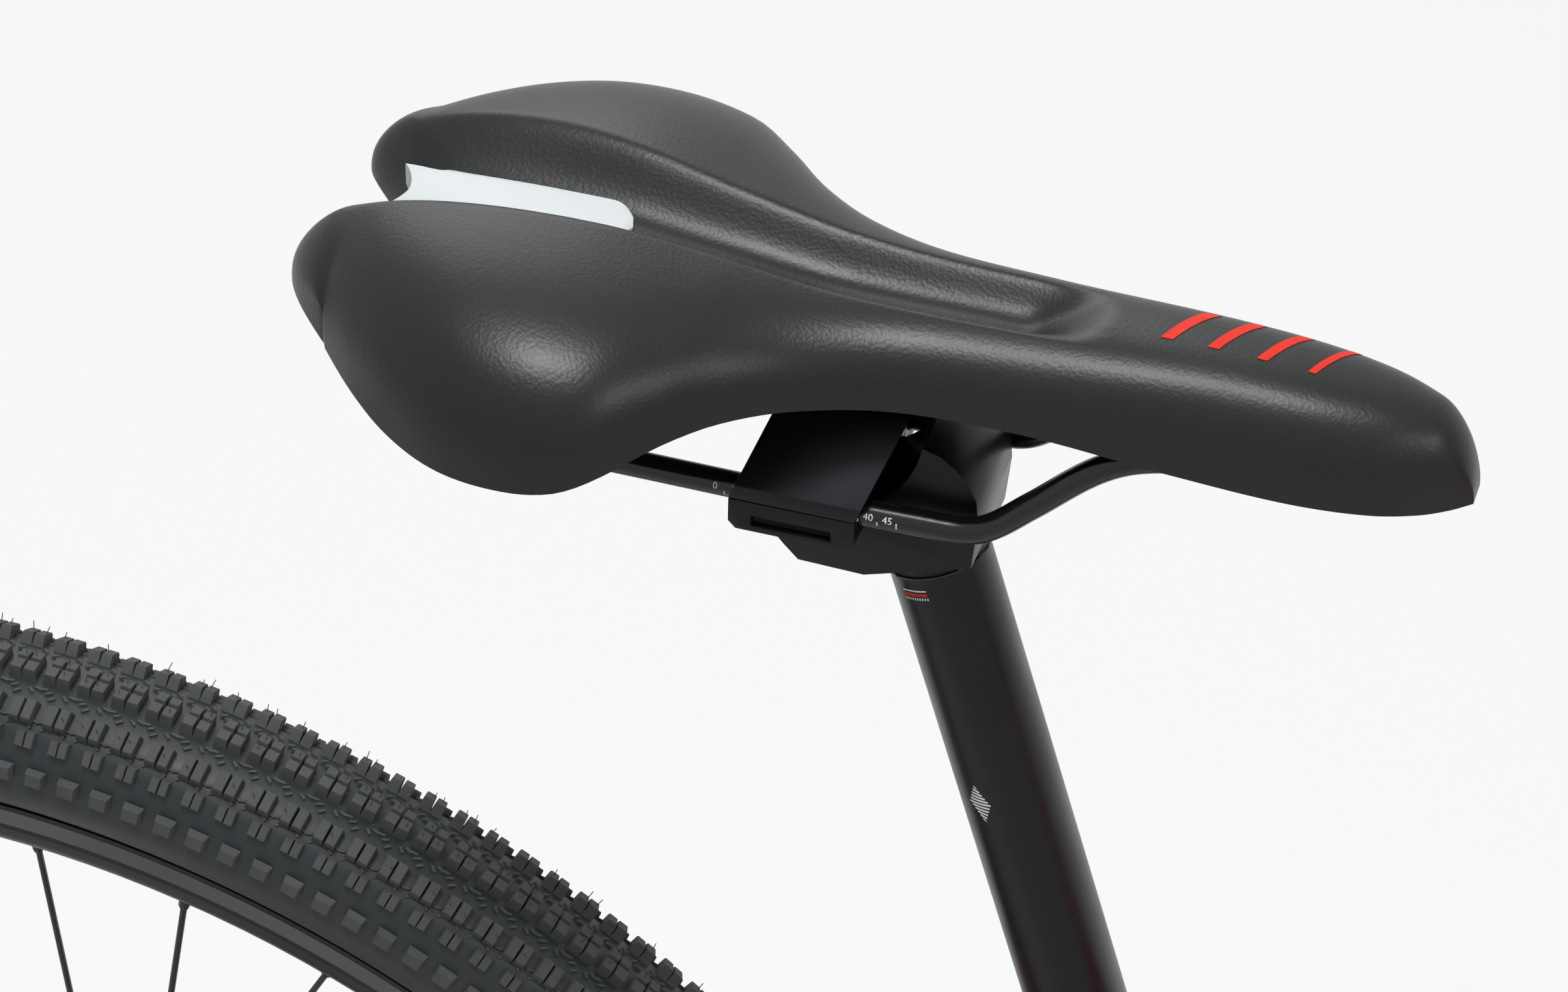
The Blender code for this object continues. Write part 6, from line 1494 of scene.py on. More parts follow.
def make_fork():
    """Suspension fork: crown and steerer, chromed inner legs, and the outer legs with their arch and seals."""
    half = [(-22, 16), (-6, 42), (8, 82), (18, 87), (38, 87), (48, 80), (48, 50), (34, 28)]
    outline = half + [(x, -y) for x, y in reversed(half)]
    crown = prism("fork_crown", outline, -CROWN_HEIGHT, 0, STEER)
    unite(crown, rod("steerer", STEERER_RADIUS, -20, STEM_BOTTOM + STEM_HEIGHT - 4, STEER, 16))
    lowers = None
    for side, end in ((-1, "right"), (1, "left")):
        leg = frame_at(on_fork(LEG_FORWARD, side * LEG_SPREAD, 0), STEER_UP, STEER_FORWARD)
        lathe("stanchion_" + end, [(0, -275), (STANCHION_RADIUS, -275), (STANCHION_RADIUS, -CROWN_HEIGHT + 2),
            (0, -CROWN_HEIGHT + 2)], leg, 16, "silver")
        lathe("crown_cap_" + end, [(0, -0.5), (12, -0.5), (12, 2.4), (11, 3.2), (7, 3.4), (6.6, 2.2), (0, 2.2)], leg,
            12)
        bore = STANCHION_RADIUS + RUN + 0.1
        foot = AXLE_TO_CROWN + 14
        profile = [(0, -foot), (10, -foot), (11.5, -foot + 1), (15, -foot + 12), (15.6, -440), (LEG_RADIUS, -300),
            (LEG_RADIUS, -SEAL_DROP - 14), (LEG_RADIUS - 0.8, -SEAL_DROP - 13), (LEG_RADIUS - 0.8, -SEAL_DROP - 9),
            (LEG_RADIUS, -SEAL_DROP - 8), (LEG_RADIUS - 1, -SEAL_DROP), (bore, -SEAL_DROP), (bore, -388), (0, -388)]
        outer = lathe("fork_lowers" if side < 0 else "left_lower_leg", profile, leg, 14)
        axle = frame_at(FRONT_AXLE, (0, side, 0))
        bosses = rod("axle_boss_" + end, 13, FRONT_HALF_AXLE + GAP, LEG_SPREAD + 3, axle, 12)
        hole = rod("axle_hole_" + end, AXLE_END_RADIUS + RUN, 40, FRONT_HALF_AXLE + 15.5, axle, 10)
        if side < 0:
            lowers = outer
            unite(lowers, bosses)
            carve(lowers, hole)
            continue
        arch_half = [(53, 66, -192), (57, 64, -168), (60, 54, -142), (61, 34, -120)]
        points = [on_fork(x, -y, z) for x, y, z in arch_half] + [on_fork(61, 0, -113)]
        points += [on_fork(x, y, z) for x, y, z in reversed(arch_half)]
        arch = sweep("fork_arch", points, 8, 8, "alloy", (1, 0, 0.3))
        tab = block("caliper_tab", (66, -17, LEG_TAB_INNER), (84, 30, LEG_SPREAD),
            frame_at(FRONT_AXLE, (0, 1, 0), FRONT_CALIPER_UP))
        unite(lowers, arch, outer, bosses, tab)
        carve(lowers, hole)
    bore = STEERER_RADIUS + RUN
    ring = HEAD_TUBE_RADIUS + 1
    lathe("headset_lower", [(bore, GAP), (ring - 1, GAP), (ring, 1.2), (ring, HEAD_BOTTOM - 3.5),
        (HEAD_TUBE_RADIUS, HEAD_BOTTOM - GAP), (bore, HEAD_BOTTOM - GAP)], STEER, 16)
    lathe("headset_upper", [(bore, HEAD_TOP + GAP), (HEAD_TUBE_RADIUS, HEAD_TOP + GAP), (ring, HEAD_TOP + 1.4),
        (ring, HEAD_TOP + 7), (20, HEAD_TOP + 11), (18, HEAD_TOP + 12), (18, HEAD_TOP + 16.7), (17.5, HEAD_TOP + 17),
        (18, HEAD_TOP + 17.3), (18, HEAD_TOP + UPPER_STACK), (bore, HEAD_TOP + UPPER_STACK)], STEER, 16)
    settle(["fork_crown"], edge=2.5)
    settle(["fork_lowers"], edge=0.9)
    settle(["headset_lower", "headset_upper"])
    settle(["stanchion_right", "stanchion_left", "crown_cap_right", "crown_cap_left"], "steering")
    clear_helpers()


def make_grip(name, start, tip, along):
    """A ribbed grip with a thumb flange and a closed end."""
    profile = [(0, tip + GAP), (BAR_END_RADIUS + 0.5, tip + GAP), (BAR_END_RADIUS + 0.5, start), (16.2, start),
        (17, start + 0.8), (17, start + 3.2), (16.2, start + 4.4), (GRIP_RADIUS - 0.8, start + 6)]
    place = start + 9
    while place < tip - 14:
        profile += [(GRIP_RADIUS - 0.9, place), (GRIP_RADIUS, place + 0.5), (GRIP_RADIUS, place + 2.3),
            (GRIP_RADIUS - 0.9, place + 2.8)]
        place += 4.4
    profile += [(GRIP_RADIUS - 0.6, place + 1), (GRIP_RADIUS, place + 2), (GRIP_RADIUS, tip - 2),
        (GRIP_RADIUS - 2, tip + 3.4), (GRIP_RADIUS - 3, tip + 4), (0, tip + 4)]
    lathe("grip_" + name, profile, along, 12, "grip")


def make_cockpit():
    """Stem, handlebar, grips, brake levers and the twist shifter."""
    make_stem()
    top = STEM_BOTTOM + STEM_HEIGHT + 4
    lathe("stem_cap", [(0, -0.5), (17, -0.5), (17.4, 1), (15.6, 2), (5, 2.2), (4.6, 1.2), (0, 1.2)],
        frame_at(CROWN + STEER_UP * (top - 1.9), STEER_UP, STEER_FORWARD), 12)
    forward = (STEER_FORWARD * cos(STEM_RISE) + STEER_UP * sin(STEM_RISE)).normalized()
    upward = forward.cross(Vector((0, -1, 0)))
    bolts = [frame_at(BAR_CENTRE + forward * 15.6 + upward * rise + Vector((0, across, 0)), forward, upward)
        for across in (-16, 16) for rise in (-12, 12)]
    bolts += [frame_at(CROWN + STEER_UP * (STEM_BOTTOM + rise) - STEER_FORWARD * 19.4, -STEER_FORWARD, STEER_UP)
        for rise in (10, 30)]
    head = [(0, -0.8), (3.6, -0.8), (3.6, 2.4), (3.0, 3.1), (2.0, 3.1), (1.9, 1.4), (0, 1.4)]
    scatter("stem_bolts", head, [(bolt, (0.75, 0.75, 0.8)) for bolt in bolts], 12)
    tip = (BAR_HALF_WIDTH - GRIP_BEND) / cos(BACKSWEEP)
    half = [BAR_CENTRE + Vector(p) for p in ((0, 30, 0), (0, 52, 1), (-3, 90, BAR_RISE * 0.5),
        (-6, 128, BAR_RISE * 0.96))]
    half += [on_bar(1, 0, 10, 0), on_bar(1, 0, tip, 0)]
    radii = [BAR_RADIUS, BAR_RADIUS, 13.5, BAR_END_RADIUS, BAR_END_RADIUS, BAR_END_RADIUS]
    points = [mirrored(p) for p in reversed(half)] + half
    sweep("handlebar", points, list(reversed(radii)) + radii, 12)
    along = {}
    for name, side, start in (("right", -1, 93), ("left", 1, 62)):
        bend, out, _, ahead = bar_end(side)
        along[name] = frame_at(bend, out, ahead)
        make_grip(name, start, tip, along[name])
        make_brake_lever(name, side, along[name])
    bore = BAR_END_RADIUS + 0.5
    housing = lathe("shifter_body", [(bore, 34), (18, 34), (19, 35), (19, 53), (18.4, 54), (bore, 54)],
        along["right"], 16, "plastic")
    unite(housing, sweep("cable_outlet", [on_bar(-1, 7, 44, -15.4), on_bar(-1, *CABLE_EXIT)], 4.5, 6, "plastic"))
    make_twist_grip(along["right"])
    settle(["stem"], edge=1.2)
    settle(["handlebar", "grip_left", "grip_right", "twist_shifter"])
    settle(["shifter_body", "brake_body_left", "brake_body_right"], edge=0.7)
    settle(["brake_lever_left", "brake_lever_right"], edge=1.6)
    settle(["stem_cap", "stem_bolts"], "steering")
    clear_helpers()


def make_twist_grip(along):
    """The turning part of the shifter, with ribs along it for the hand."""
    ribs = 18
    outer = []
    inner = []
    bore = BAR_END_RADIUS + RUN + 0.2
    for k in range(ribs * 6):
        a = 2 * pi * k / (ribs * 6)
        radius = 17.5 if k % 6 < 3 else 16.4
        outer.append(spot(radius, a))
        inner.append(spot(bore, a))
    ring_solid("twist_shifter", outer, inner, 54.6, 92.4, along, "grip")


def make_cables():
    """The two brake hoses and the shift cable, held along the frame by clips."""
    caliper = FRONT_CALIPER_UP
    front = [on_bar(1, LEVER_REACH - 6, -12 - GAP, 0), on_bar(1, LEVER_REACH - 6, -18, 0),
        on_bar(1, LEVER_REACH - 6, -26, 0), on_fork(84, 96, 120), on_fork(66, 96, 50), on_fork(40, 97, -60),
        on_fork(10, 94, -180), on_fork(-10, 84, -300), FRONT_AXLE + caliper * 128 + Vector((0, 50, 0))]
    front += [FRONT_AXLE + caliper * away + Vector((0, FRONT_ROTOR_Y, 0)) for away in (102, 96, 90 + GAP)]
    sweep("brake_hose_front", smooth_path(front, 2), CABLE_RADIUS, 6, "plastic", (1, 0.2, 0))
    tube = down_tube_path()
    beside = DOWN_TUBE_RADIUS + CABLE_RADIUS + 0.8
    rear_front = Vector((REAR_CALIPER_UP.z, 0, -REAR_CALIPER_UP.x))
    runs = {1: [on_bar(-1, LEVER_REACH - 6, -12 - GAP, 0), on_bar(-1, LEVER_REACH - 6, -18, 0),
        on_bar(-1, LEVER_REACH - 6, -26, 0), on_fork(82, -58, 136), on_fork(70, 6, 100), on_fork(34, 34, 72)],
        -1: [on_bar(-1, 11.1, 34.8, -25.2), on_bar(-1, 12.7, 31.2, -29), on_bar(-1, 15, 26, -34.5),
        on_fork(60, -92, 100), on_fork(34, -50, 62)]}
    for side, name in ((1, "brake_hose_rear"), (-1, "shift_cable")):
        across = Vector((0, side * beside, 0))
        points = runs[side] + [tube[1] + across * 1.15, tube[2] + across, tube[3] + across]
        points += [tube[3].lerp(tube[4], 0.35) + across, tube[3].lerp(tube[4], 0.72) + across,
            BB + Vector((8, side * 27, 35)), BB + Vector((-20, side * 29, 28))]
        points += [stay_top(reach, side, 1.5) for reach in (44, 79, 124, 194, 294)]
        if side > 0:
            last = [(92, 61, 22), (56, 59, 66), (30, 55, 84)]
            last += [REAR_CALIPER_UP * 86 + rear_front * away + Vector((0, REAR_ROTOR_Y, 0))
                for away in (29, 23, 17 + GAP)]
        else:
            last = [(106, -68, 13), (72, -84, 0), (44, -85, -22)]
            last += [(HANGER_HOLE[0] + away, -84, HANGER_HOLE[2]) for away in (25, 19, 12 + GAP)]
        points += [REAR_AXLE + Vector(place) for place in last]
        sweep(name, smooth_path(points, 2), CABLE_RADIUS, 5, "plastic", (0.1, 0, 1))
    clips = []
    for reach in (100, 210, 330):
        share = reach / (tube[3] - tube[4]).length
        for side in (-1, 1):
            place = tube[3].lerp(tube[4], share) + Vector((0, side * beside, 0))
            clips.append(frame_at(place, tube[4] - tube[3], (0, side, 0)))
    scatter("cable_clips", [(2.6, -3.5), (4, -3.5), (4.2, -2.8), (4.2, 2.8), (4, 3.5), (2.6, 3.5)], clips, 12,
        "plastic")
    settle(["cable_clips"], "frame")
    # Each hose is smoothed, renamed and baked where it lies, in place of its node, and rides with no body.
    across = Vector((0, beside, 0))
    for name, first, second, start, end in (
            ("brake_hose_front", "steering", "fork_slider", on_fork(60, 96, 20), FRONT_AXLE + caliper * 140),
            ("brake_hose_rear", "steering", "frame", on_fork(82, -58, 136), tube[2] + across),
            ("shift_cable", "steering", "frame", on_fork(60, -92, 100), tube[2] - across)):
        hose = MADE.pop(name)
        smooth(hose.data)
        hose.name = hose.data.name = "fine_" + name
        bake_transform(hose)
        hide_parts(name)


def oblong(left, right, low, high):
    """The corners of an upright mark."""
    return [(left, low), (right, low), (right, high), (left, high)]


def printed(name, frame, radius, marks, material):
    """Thin printed marks wrapped on a tube. A mark is four corners, each a way round and a way along."""
    verts = []
    faces = []
    for corners in marks:
        first = len(verts)
        for k in range(7):
            t = k / 6
            for low, high in ((0, 1), (3, 2)):
                u = corners[low][0] * (1 - t) + corners[high][0] * t
                z = corners[low][1] * (1 - t) + corners[high][1] * t
                for r in (radius + 0.02, radius + 0.07):
                    verts.append((r * cos(u / radius), r * sin(u / radius), z))
        for k in range(6):
            a = first + 4 * k
            faces += [[a, a + 4, a + 6, a + 2], [a + 1, a + 5, a + 7, a + 3], [a, a + 4, a + 5, a + 1],
                [a + 2, a + 6, a + 7, a + 3]]
        faces += [[first, first + 1, first + 3, first + 2], [first + 24, first + 25, first + 27, first + 26]]
    return add_piece(name, verts, faces, frame, material)


def make_post():
    """The seatpost with its head, the pressed-in seam and a few plain printed marks."""
    make_seatpost()
    facing = frame_at(BB, SEAT_UP, Vector((sin(radians(MARK_TURN)), -cos(radians(MARK_TURN)), 0)))
    ring = RAIL_HEIGHT - 25.5
    lathe("post_seam", [(POST_RADIUS - 0.1, ring), (POST_RADIUS + 0.35, ring + 0.3), (POST_RADIUS + 0.35, ring + 0.8),
        (POST_RADIUS - 0.1, ring + 1.1)], SEAT, 20, "rail")
    top = RAIL_HEIGHT - 29
    white = [oblong(-3.6, 3.6, top, top + 0.45)]
    white += [oblong(-3.4 + 0.75 * k, -3.05 + 0.75 * k, top - 2.6, top - 1.9) for k in range(10)]
    for k in range(11):
        place = top - 62 - k * 1.05
        wide = 3.1 * (1 - abs(k - 5) / 5.6)
        white.append([(-wide, place), (wide, place - 0.9), (wide, place - 0.4), (-wide, place + 0.5)])
    printed("post_print_white", facing, POST_RADIUS, white, "ink")
    printed("post_print_red", facing, POST_RADIUS, [oblong(-3.6, 3.6, top - 1.4, top - 0.5)], "red_ink")
    settle(["seatpost"], edge=0.8)
    settle(["post_seam", "post_print_white", "post_print_red"], "post")
    clear_helpers()


def make_clamp():
    """The cradle under the rails, the bridge over them and the bolt through both."""
    seat_arc = arc(SEAT_ARC_CENTRE, SEAT_ARC_RADIUS - GAP, -124, -57, 7)
    cradle = prism("clamp_cradle", [(CLAMP_REAR, -GAP)] + seat_arc + [(CLAMP_FRONT, -GAP)], -CLAMP_HALF_WIDTH,
        CLAMP_HALF_WIDTH, RAILS_UPRIGHT)
    wing = [(CLAMP_REAR, -GAP), (CLAMP_REAR, -CRADLE_DEPTH + 2), (CLAMP_REAR + 2, -CRADLE_DEPTH),
        (CLAMP_FRONT - 2, -CRADLE_DEPTH), (CLAMP_FRONT, -CRADLE_DEPTH + 2), (CLAMP_FRONT, -GAP)]
    for side in (-1, 1):
        ends = sorted((side * (HEAD_HALF_WIDTH + GAP), side * CLAMP_HALF_WIDTH))
        unite(cradle, prism(f"cradle_wing_{side + 2}", wing, *ends, RAILS_UPRIGHT))
        slot = sorted((side * (CLAMP_HALF_WIDTH - 2.2), side * (CLAMP_HALF_WIDTH + 2)))
        carve(cradle, block(f"cradle_slot_{side + 2}", (CLAMP_REAR + 6, -7.4, slot[0]),
            (CLAMP_FRONT - 6, -4.2, slot[1]), RAILS_UPRIGHT))
    section = [(-CLAMP_HALF_WIDTH, 0), (CLAMP_HALF_WIDTH, 0), (CLAMP_HALF_WIDTH, 4), (24, 7.5),
        (12, BRIDGE_HEIGHT - 1.5), (9, BRIDGE_HEIGHT), (-9, BRIDGE_HEIGHT), (-12, BRIDGE_HEIGHT - 1.5), (-24, 7.5),
        (-CLAMP_HALF_WIDTH, 4)]
    verts = [(x + CLAMP_LEAN * z, y, z) for x in (CLAMP_REAR, CLAMP_FRONT) for y, z in section]
    ends = [list(range(k, k + len(section))) for k in (0, len(section))]
    bridge = add_piece("clamp_bridge", verts, ends + walls(*ends), RAILS, "alloy")
    middle = (CLAMP_REAR + CLAMP_FRONT) / 2
    front = crossways(RAIL_POINT)
    for side in (-1, 1):
        for label, outline in (("low", [(5, 4.5), (15, 4.5), (11, 12)]), ("high", [(4, 19), (10, 19), (8, 12.5)])):
            carve(bridge, prism(f"window_{label}_{side + 2}", [(side * y, z) for y, z in outline], CLAMP_FRONT - 2.5,
                CLAMP_FRONT + 20, front))
    wire = sweep("rail_cut", rail_path(GAP), RAIL_RADIUS + GAP, 6)
    place = frame_at(on_seat(middle, 0, 0))
    hole = rod("bolt_hole", 3.7, -40, 60, place, 8)
    for piece in (cradle, bridge):
        carve(piece, wire, hole)
    lathe("clamp_bolt", [(0, -24), (2.6, -24), (3, -23.4), (3, BRIDGE_HEIGHT + GAP), (5.5, BRIDGE_HEIGHT + GAP),
        (5.5, BRIDGE_HEIGHT + 4.9), (4.9, BRIDGE_HEIGHT + 5.5), (3, BRIDGE_HEIGHT + 5.5), (2.9, BRIDGE_HEIGHT + 3),
        (0, BRIDGE_HEIGHT + 3)], place, 12, "steel")
    settle(["clamp_cradle", "clamp_bridge"], edge=0.5)
    settle(["clamp_bolt"])
    clear_helpers()


def make_rails():
    """The bent rail wire, with the setting scale printed on its outer sides."""
    sweep("saddle_rails", rail_path(), RAIL_RADIUS, 8, "rail", steps=7)
    settle(["saddle_rails"])
    for side, word in ((-1, "right"), (1, "left")):
        ahead = -side
        outward = Vector((0, side * cos(0.1), sin(0.1)))
        tube = frame_at(on_seat(0, side * RAIL_SPREAD, 0), (ahead, 0, 0), outward)
        marks = []
        for k in range(SCALE_MARKS):
            x = (SCALE_START + SCALE_STEP * k) * ahead
            marks.append(oblong(-1.9, -0.4 + 0.7 * (k == SCALE_MARKS - 1), x - 0.16, x + 0.16))
        ends = sorted((SCALE_START * ahead, (SCALE_START + SCALE_STEP * (SCALE_MARKS - 1)) * ahead))
        marks.append(oblong(-2.0, -1.75, *ends))
        printed("scale_lines_" + word, tube, RAIL_RADIUS, [[(-u, z) for u, z in reversed(m)] for m in marks], "ink")
        make_numbers(word, side)
        settle(["scale_lines_" + word, "scale_numbers_" + word], "saddle")


def make_numbers(word, side):
    """The scale's numbers, wrapped round the rail so that they read from outside."""
    verts = []
    faces = []
    for k in range(SCALE_MARKS):
        letters = bpy.data.curves.new("numbers", "FONT")
        letters.body = str(SCALE_STEP * k)
        letters.size = 2.7
        letters.align_x = "CENTER"
        letters.resolution_u = 2
        holder = show(bpy.data.objects.new("numbers", letters))
        view = bpy.context.evaluated_depsgraph_get()
        mesh = bpy.data.meshes.new_from_object(holder.evaluated_get(view))
        first = len(verts)
        for v in mesh.vertices:
            along = (SCALE_START + SCALE_STEP * k - 2.4) + v.co.x * -side
            a = 0.1 + (v.co.y - 0.35) / RAIL_RADIUS
            r = RAIL_RADIUS + 0.06
            verts.append((along, side * (RAIL_SPREAD + r * cos(a)), r * sin(a)))
        faces += [[first + c for c in p.vertices] for p in mesh.polygons]
        bpy.data.objects.remove(holder, do_unlink=True)
    piece = add_piece("scale_numbers_" + word, verts, faces, RAILS, "ink")
    outward = Vector((0, side, 0))
    work = bmesh.new()
    work.from_mesh(piece.data)
    for face in work.faces:
        if face.normal.dot(outward) < 0:
            face.normal_flip()
    work.to_mesh(piece.data)
    work.free()


def grid(rows, columns):
    """The faces of a grid of corners, and the loop round its edge."""
    faces = [[k, k + 1, k + columns + 1, k + columns] for row in range(rows - 1)
        for k in range(row * columns, (row + 1) * columns - 1)]
    loop = [*range(columns)] + [r * columns + columns - 1 for r in range(1, rows)]
    loop += [(rows - 1) * columns + c for c in range(columns - 2, -1, -1)]
    loop += [r * columns for r in range(rows - 2, 0, -1)]
    return faces, loop


def skin(name, lengths, shares, inset, upper, lower, material):
    """A closed sheet over the saddle's plan between two surfaces, which meet at its edge if it has no inset."""
    verts = []
    bottoms = []
    for t in lengths:
        for share in shares:
            rear = saddle_rear(share)
            x = rear + inset + (SADDLE_NOSE - inset - rear - inset) * t
            y = share * (half_width(x) - inset)
            rear = saddle_rear(y / half_width(x))
            verts.append(tuple(on_seat(x, y, upper(x, y, rear)) - RAIL_POINT))
            bottoms.append(tuple(on_seat(x, y, lower(x, y, rear)) - RAIL_POINT))
    faces, loop = grid(len(lengths), len(shares))
    edge = set(() if inset else loop)
    below = {}
    for k, place in enumerate(bottoms):
        below[k] = k if k in edge else len(verts)
        if k not in edge:
            verts.append(place)
    faces = [face for top in faces for face in (top, [below[c] for c in reversed(top)])]
    if inset:
        faces += walls(loop, [below[c] for c in loop])
    return add_piece(name, verts, faces, RAILS, material)


def make_saddle():
    """The padded cover, the shell below it, the pale plate, the red bars and the rails."""
    rows = 150
    lengths = [0.5 - 0.5 * cos(pi * (k / rows)) for k in range(rows + 1)]
    shares = [sin(radians(-90 + k)) for k in range(181)]
    skin("saddle_pad", lengths, shares, 0, pad_top, pad_bottom, "cover")
    settle(["saddle_pad"])
    shell = skin("saddle_shell", [k / 40 for k in range(41)], [-1 + k / 16 for k in range(33)], 15, shell_top,
        lambda x, y, rear: shell_top(x, y, rear) - 2.6, "plastic")
    for near in (-37, 25):
        unite(shell, block(f"rear_socket_{near}", (-138, near, 21), (-122, near + 12, 36.6), RAILS, "plastic"))
    unite(shell, block("nose_socket", (110, -9, 25), (123, 9, 35), RAILS, "plastic"))
    carve(shell, sweep("socket_cut", rail_path(GAP), RAIL_RADIUS + GAP, 6, "plastic"))
    settle(["saddle_shell"])
    clear_helpers()
    make_plate()
    make_bars()
    make_rails()


def make_plate():
    """The pale plug at the rear of the channel: flat on top, flared at its rear edge and round at its front."""
    rows, columns = 50, 24
    verts = []
    for top in (False, True):
        for i in range(rows):
            t = (i / (rows - 1)) ** 0.9
            middle = saddle_rear(0) + 1.5 + (PLATE_FRONT - saddle_rear(0) - 1.5) * t
            ahead = PLATE_FRONT - middle
            wide = along_knots([(0, 12.0), (0.1, 9.6), (0.25, 8.3), (0.6, 7.9), (1, 7.6)], t)
            if ahead < wide:
                wide = max(0.4, sqrt(wide * wide - (wide - ahead) ** 2))
            for j in range(columns):
                y = wide * sin(pi * (j / (columns - 1) - 0.5))
                x = middle + (saddle_rear(y / half_width(middle)) - saddle_rear(0)) * (1 - t) ** 3
                z = pad_top(x, y, saddle_rear(y / half_width(x))) + PLATE_CLEARANCE - 1.2
                if top:
                    edge = min(wide - abs(y), ahead, 0.6) / 0.6
                    z = crown_height(x, y * 0.6) + PLATE_CLEARANCE - 0.4 * (1 - edge) ** 2
                verts.append((x, y, z))
    size = rows * columns
    faces, loop = grid(rows, columns)
    faces = [face for top in faces for face in (top, [size + c for c in top])] + walls(loop, [size + c for c in loop])
    add_piece("saddle_plate", verts, faces, RAILS, "plate")
    settle(["saddle_plate"])


def make_bars():
    """Four slanted red bars printed across the top of the nose."""
    verts = []
    faces = []
    for start, wide in BARS:
        first = len(verts)
        for i in range(13):
            t = i / 12
            y = -4.9 + 16.6 * t
            x = start + 6.4 * t + 1.2 * t * t
            for j in range(3):
                px = x + wide * (1 + 0.25 * t) * j / 2
                for lift in (0.03, 0.18):
                    verts.append((px, y, pad_top(px, y, SADDLE_REAR) + lift))
        for i in range(12):
            for j in range(2):
                a = first + (i * 3 + j) * 2
                b = a + 6
                faces += [[a, a + 2, b + 2, b], [a + 1, a + 3, b + 3, b + 1]]
        loop = [*range(first, first + 73, 6), first + 74, *range(first + 76, first + 3, -6), first + 2]
        faces += walls(loop, [a + 1 for a in loop])
    add_piece("nose_bars", verts, faces, RAILS, "red_ink")
    settle(["nose_bars"], "saddle")


def make_studio(colours):
    """A pale floor, a white surround for the camera, soft lamps and the camera at the photograph's angle."""
    scene = bpy.context.scene
    scene.view_settings.view_transform = "Standard"
    world = bpy.data.worlds.new("studio")
    scene.world = world
    world.use_nodes = True
    tree = world.node_tree
    tree.nodes.clear()
    fill = add(tree, "ShaderNodeBackground", {"Color": hex_colour("#f4f6f8"), "Strength": 0.16})
    white = add(tree, "ShaderNodeBackground", {"Color": (1.0, 1.0, 1.0, 1.0), "Strength": 1.0})
    both = add(tree, "ShaderNodeMixShader", {0: seen_straight(tree), 1: fill, 2: white})
    add(tree, "ShaderNodeOutputWorld", {"Surface": both})

    mesh = bpy.data.meshes.new("floor")
    mesh.from_pydata([(-60, -60, 0), (60, -60, 0), (60, 60, 0), (-60, 60, 0)], [], [[0, 1, 2, 3]])
    mesh.materials.append(floor_finish(colours))
    show(bpy.data.objects.new("studio_floor", mesh))

    lamps = (("key", (-0.4, -0.75, 3.3), (-0.28, 0, 0.8), 0.8, 62),
        ("side", (2.3, -1.3, 2.3), (-0.1, 0, 0.75), 1.2, 22), ("back", (-1.4, 1.9, 2.6), (-0.2, 0, 0.7), 1.6, 24))
    for name, place, aim, size, power in lamps:
        lamp = bpy.data.lights.new(name, "AREA")
        lamp.shape = "SQUARE"
        lamp.size = size
        lamp.energy = power
        holder = show(bpy.data.objects.new(name + "_lamp", lamp))
        holder.location = place
        holder.rotation_euler = (Vector(place) - Vector(aim)).to_track_quat("Z", "Y").to_euler()

    turn, tilt, roll = radians(16.90), radians(35.89), radians(1.66)
    back = Vector((sin(turn) * cos(tilt), -cos(turn) * cos(tilt), sin(tilt)))
    right = Vector((cos(turn), sin(turn), 0))
    up = back.cross(right)
    right, up = right * cos(roll) + up * sin(roll), up * cos(roll) - right * sin(roll)
    lens = bpy.data.cameras.new("photo_camera")
    lens.lens = 102.41
    lens.sensor_width = 36.0
    camera = show(bpy.data.objects.new("photo_camera", lens))
    turned = Matrix((right, up, back)).transposed().to_4x4()
    camera.matrix_world = Matrix.Translation((-0.0323, -0.8875, 1.4692)) @ turned
    scene.camera = camera


def seen_straight(tree):
    """One for the rays that come from the camera, a reflection or a clear piece, else nothing."""
    seen = add(tree, "ShaderNodeLightPath").outputs
    direct = maths(tree, "MAXIMUM", seen["Is Camera Ray"], seen["Is Glossy Ray"])
    return maths(tree, "MAXIMUM", direct, seen["Is Transmission Ray"])


def floor_finish(colours):
    """A pale painted floor: white to the camera, but it keeps the bike's shadow."""
    material = bpy.data.materials.new("matt_studio_paint")
    material.use_nodes = True
    tree = material.node_tree
    tree.nodes.clear()
    place = add(tree, "ShaderNodeTexCoord").outputs["Object"]
    bump = bumps(tree, 0.05, 0.0005, noise(tree, 60.0, 3.0, place))
    paint = add(tree, "ShaderNodeBsdfDiffuse", {"Color": tuple(colours.floor) + (1.0,), "Normal": bump})
    glow = add(tree, "ShaderNodeEmission", {"Color": (1.0, 1.0, 1.0, 1.0), "Strength": 1.0})
    share = maths(tree, "MULTIPLY", seen_straight(tree), 0.8)
    both = add(tree, "ShaderNodeMixShader", {0: share, 1: paint, 2: glow})
    add(tree, "ShaderNodeOutputMaterial", {"Surface": both})
    return material


class BikeSizes(bpy.types.PropertyGroup):
    """Sizes of the fine detail."""
    tread_blocks: IntProperty(name="Tread blocks", description="How many tread patterns go round a tyre", default=204,
        min=40, max=300)


def colour(label, what, code):
    """A colour that a user can pick."""
    return FloatVectorProperty(name=label, description="Colour of the " + what, subtype="COLOR", size=3, min=0, max=1,
        default=hex_colour(code)[:3])


class BikeColours(bpy.types.PropertyGroup):
    """Colours that a user would change."""
    accent: colour("Frame accent", "top tube and seat stays", "#c22619")
    cover: colour("Saddle cover", "saddle's coated cloth", "#0f1011")
    plate: colour("Saddle plate", "plate at the saddle's rear", "#c8cdce")
    floor: colour("Studio floor", "studio floor", "#eff1f3")


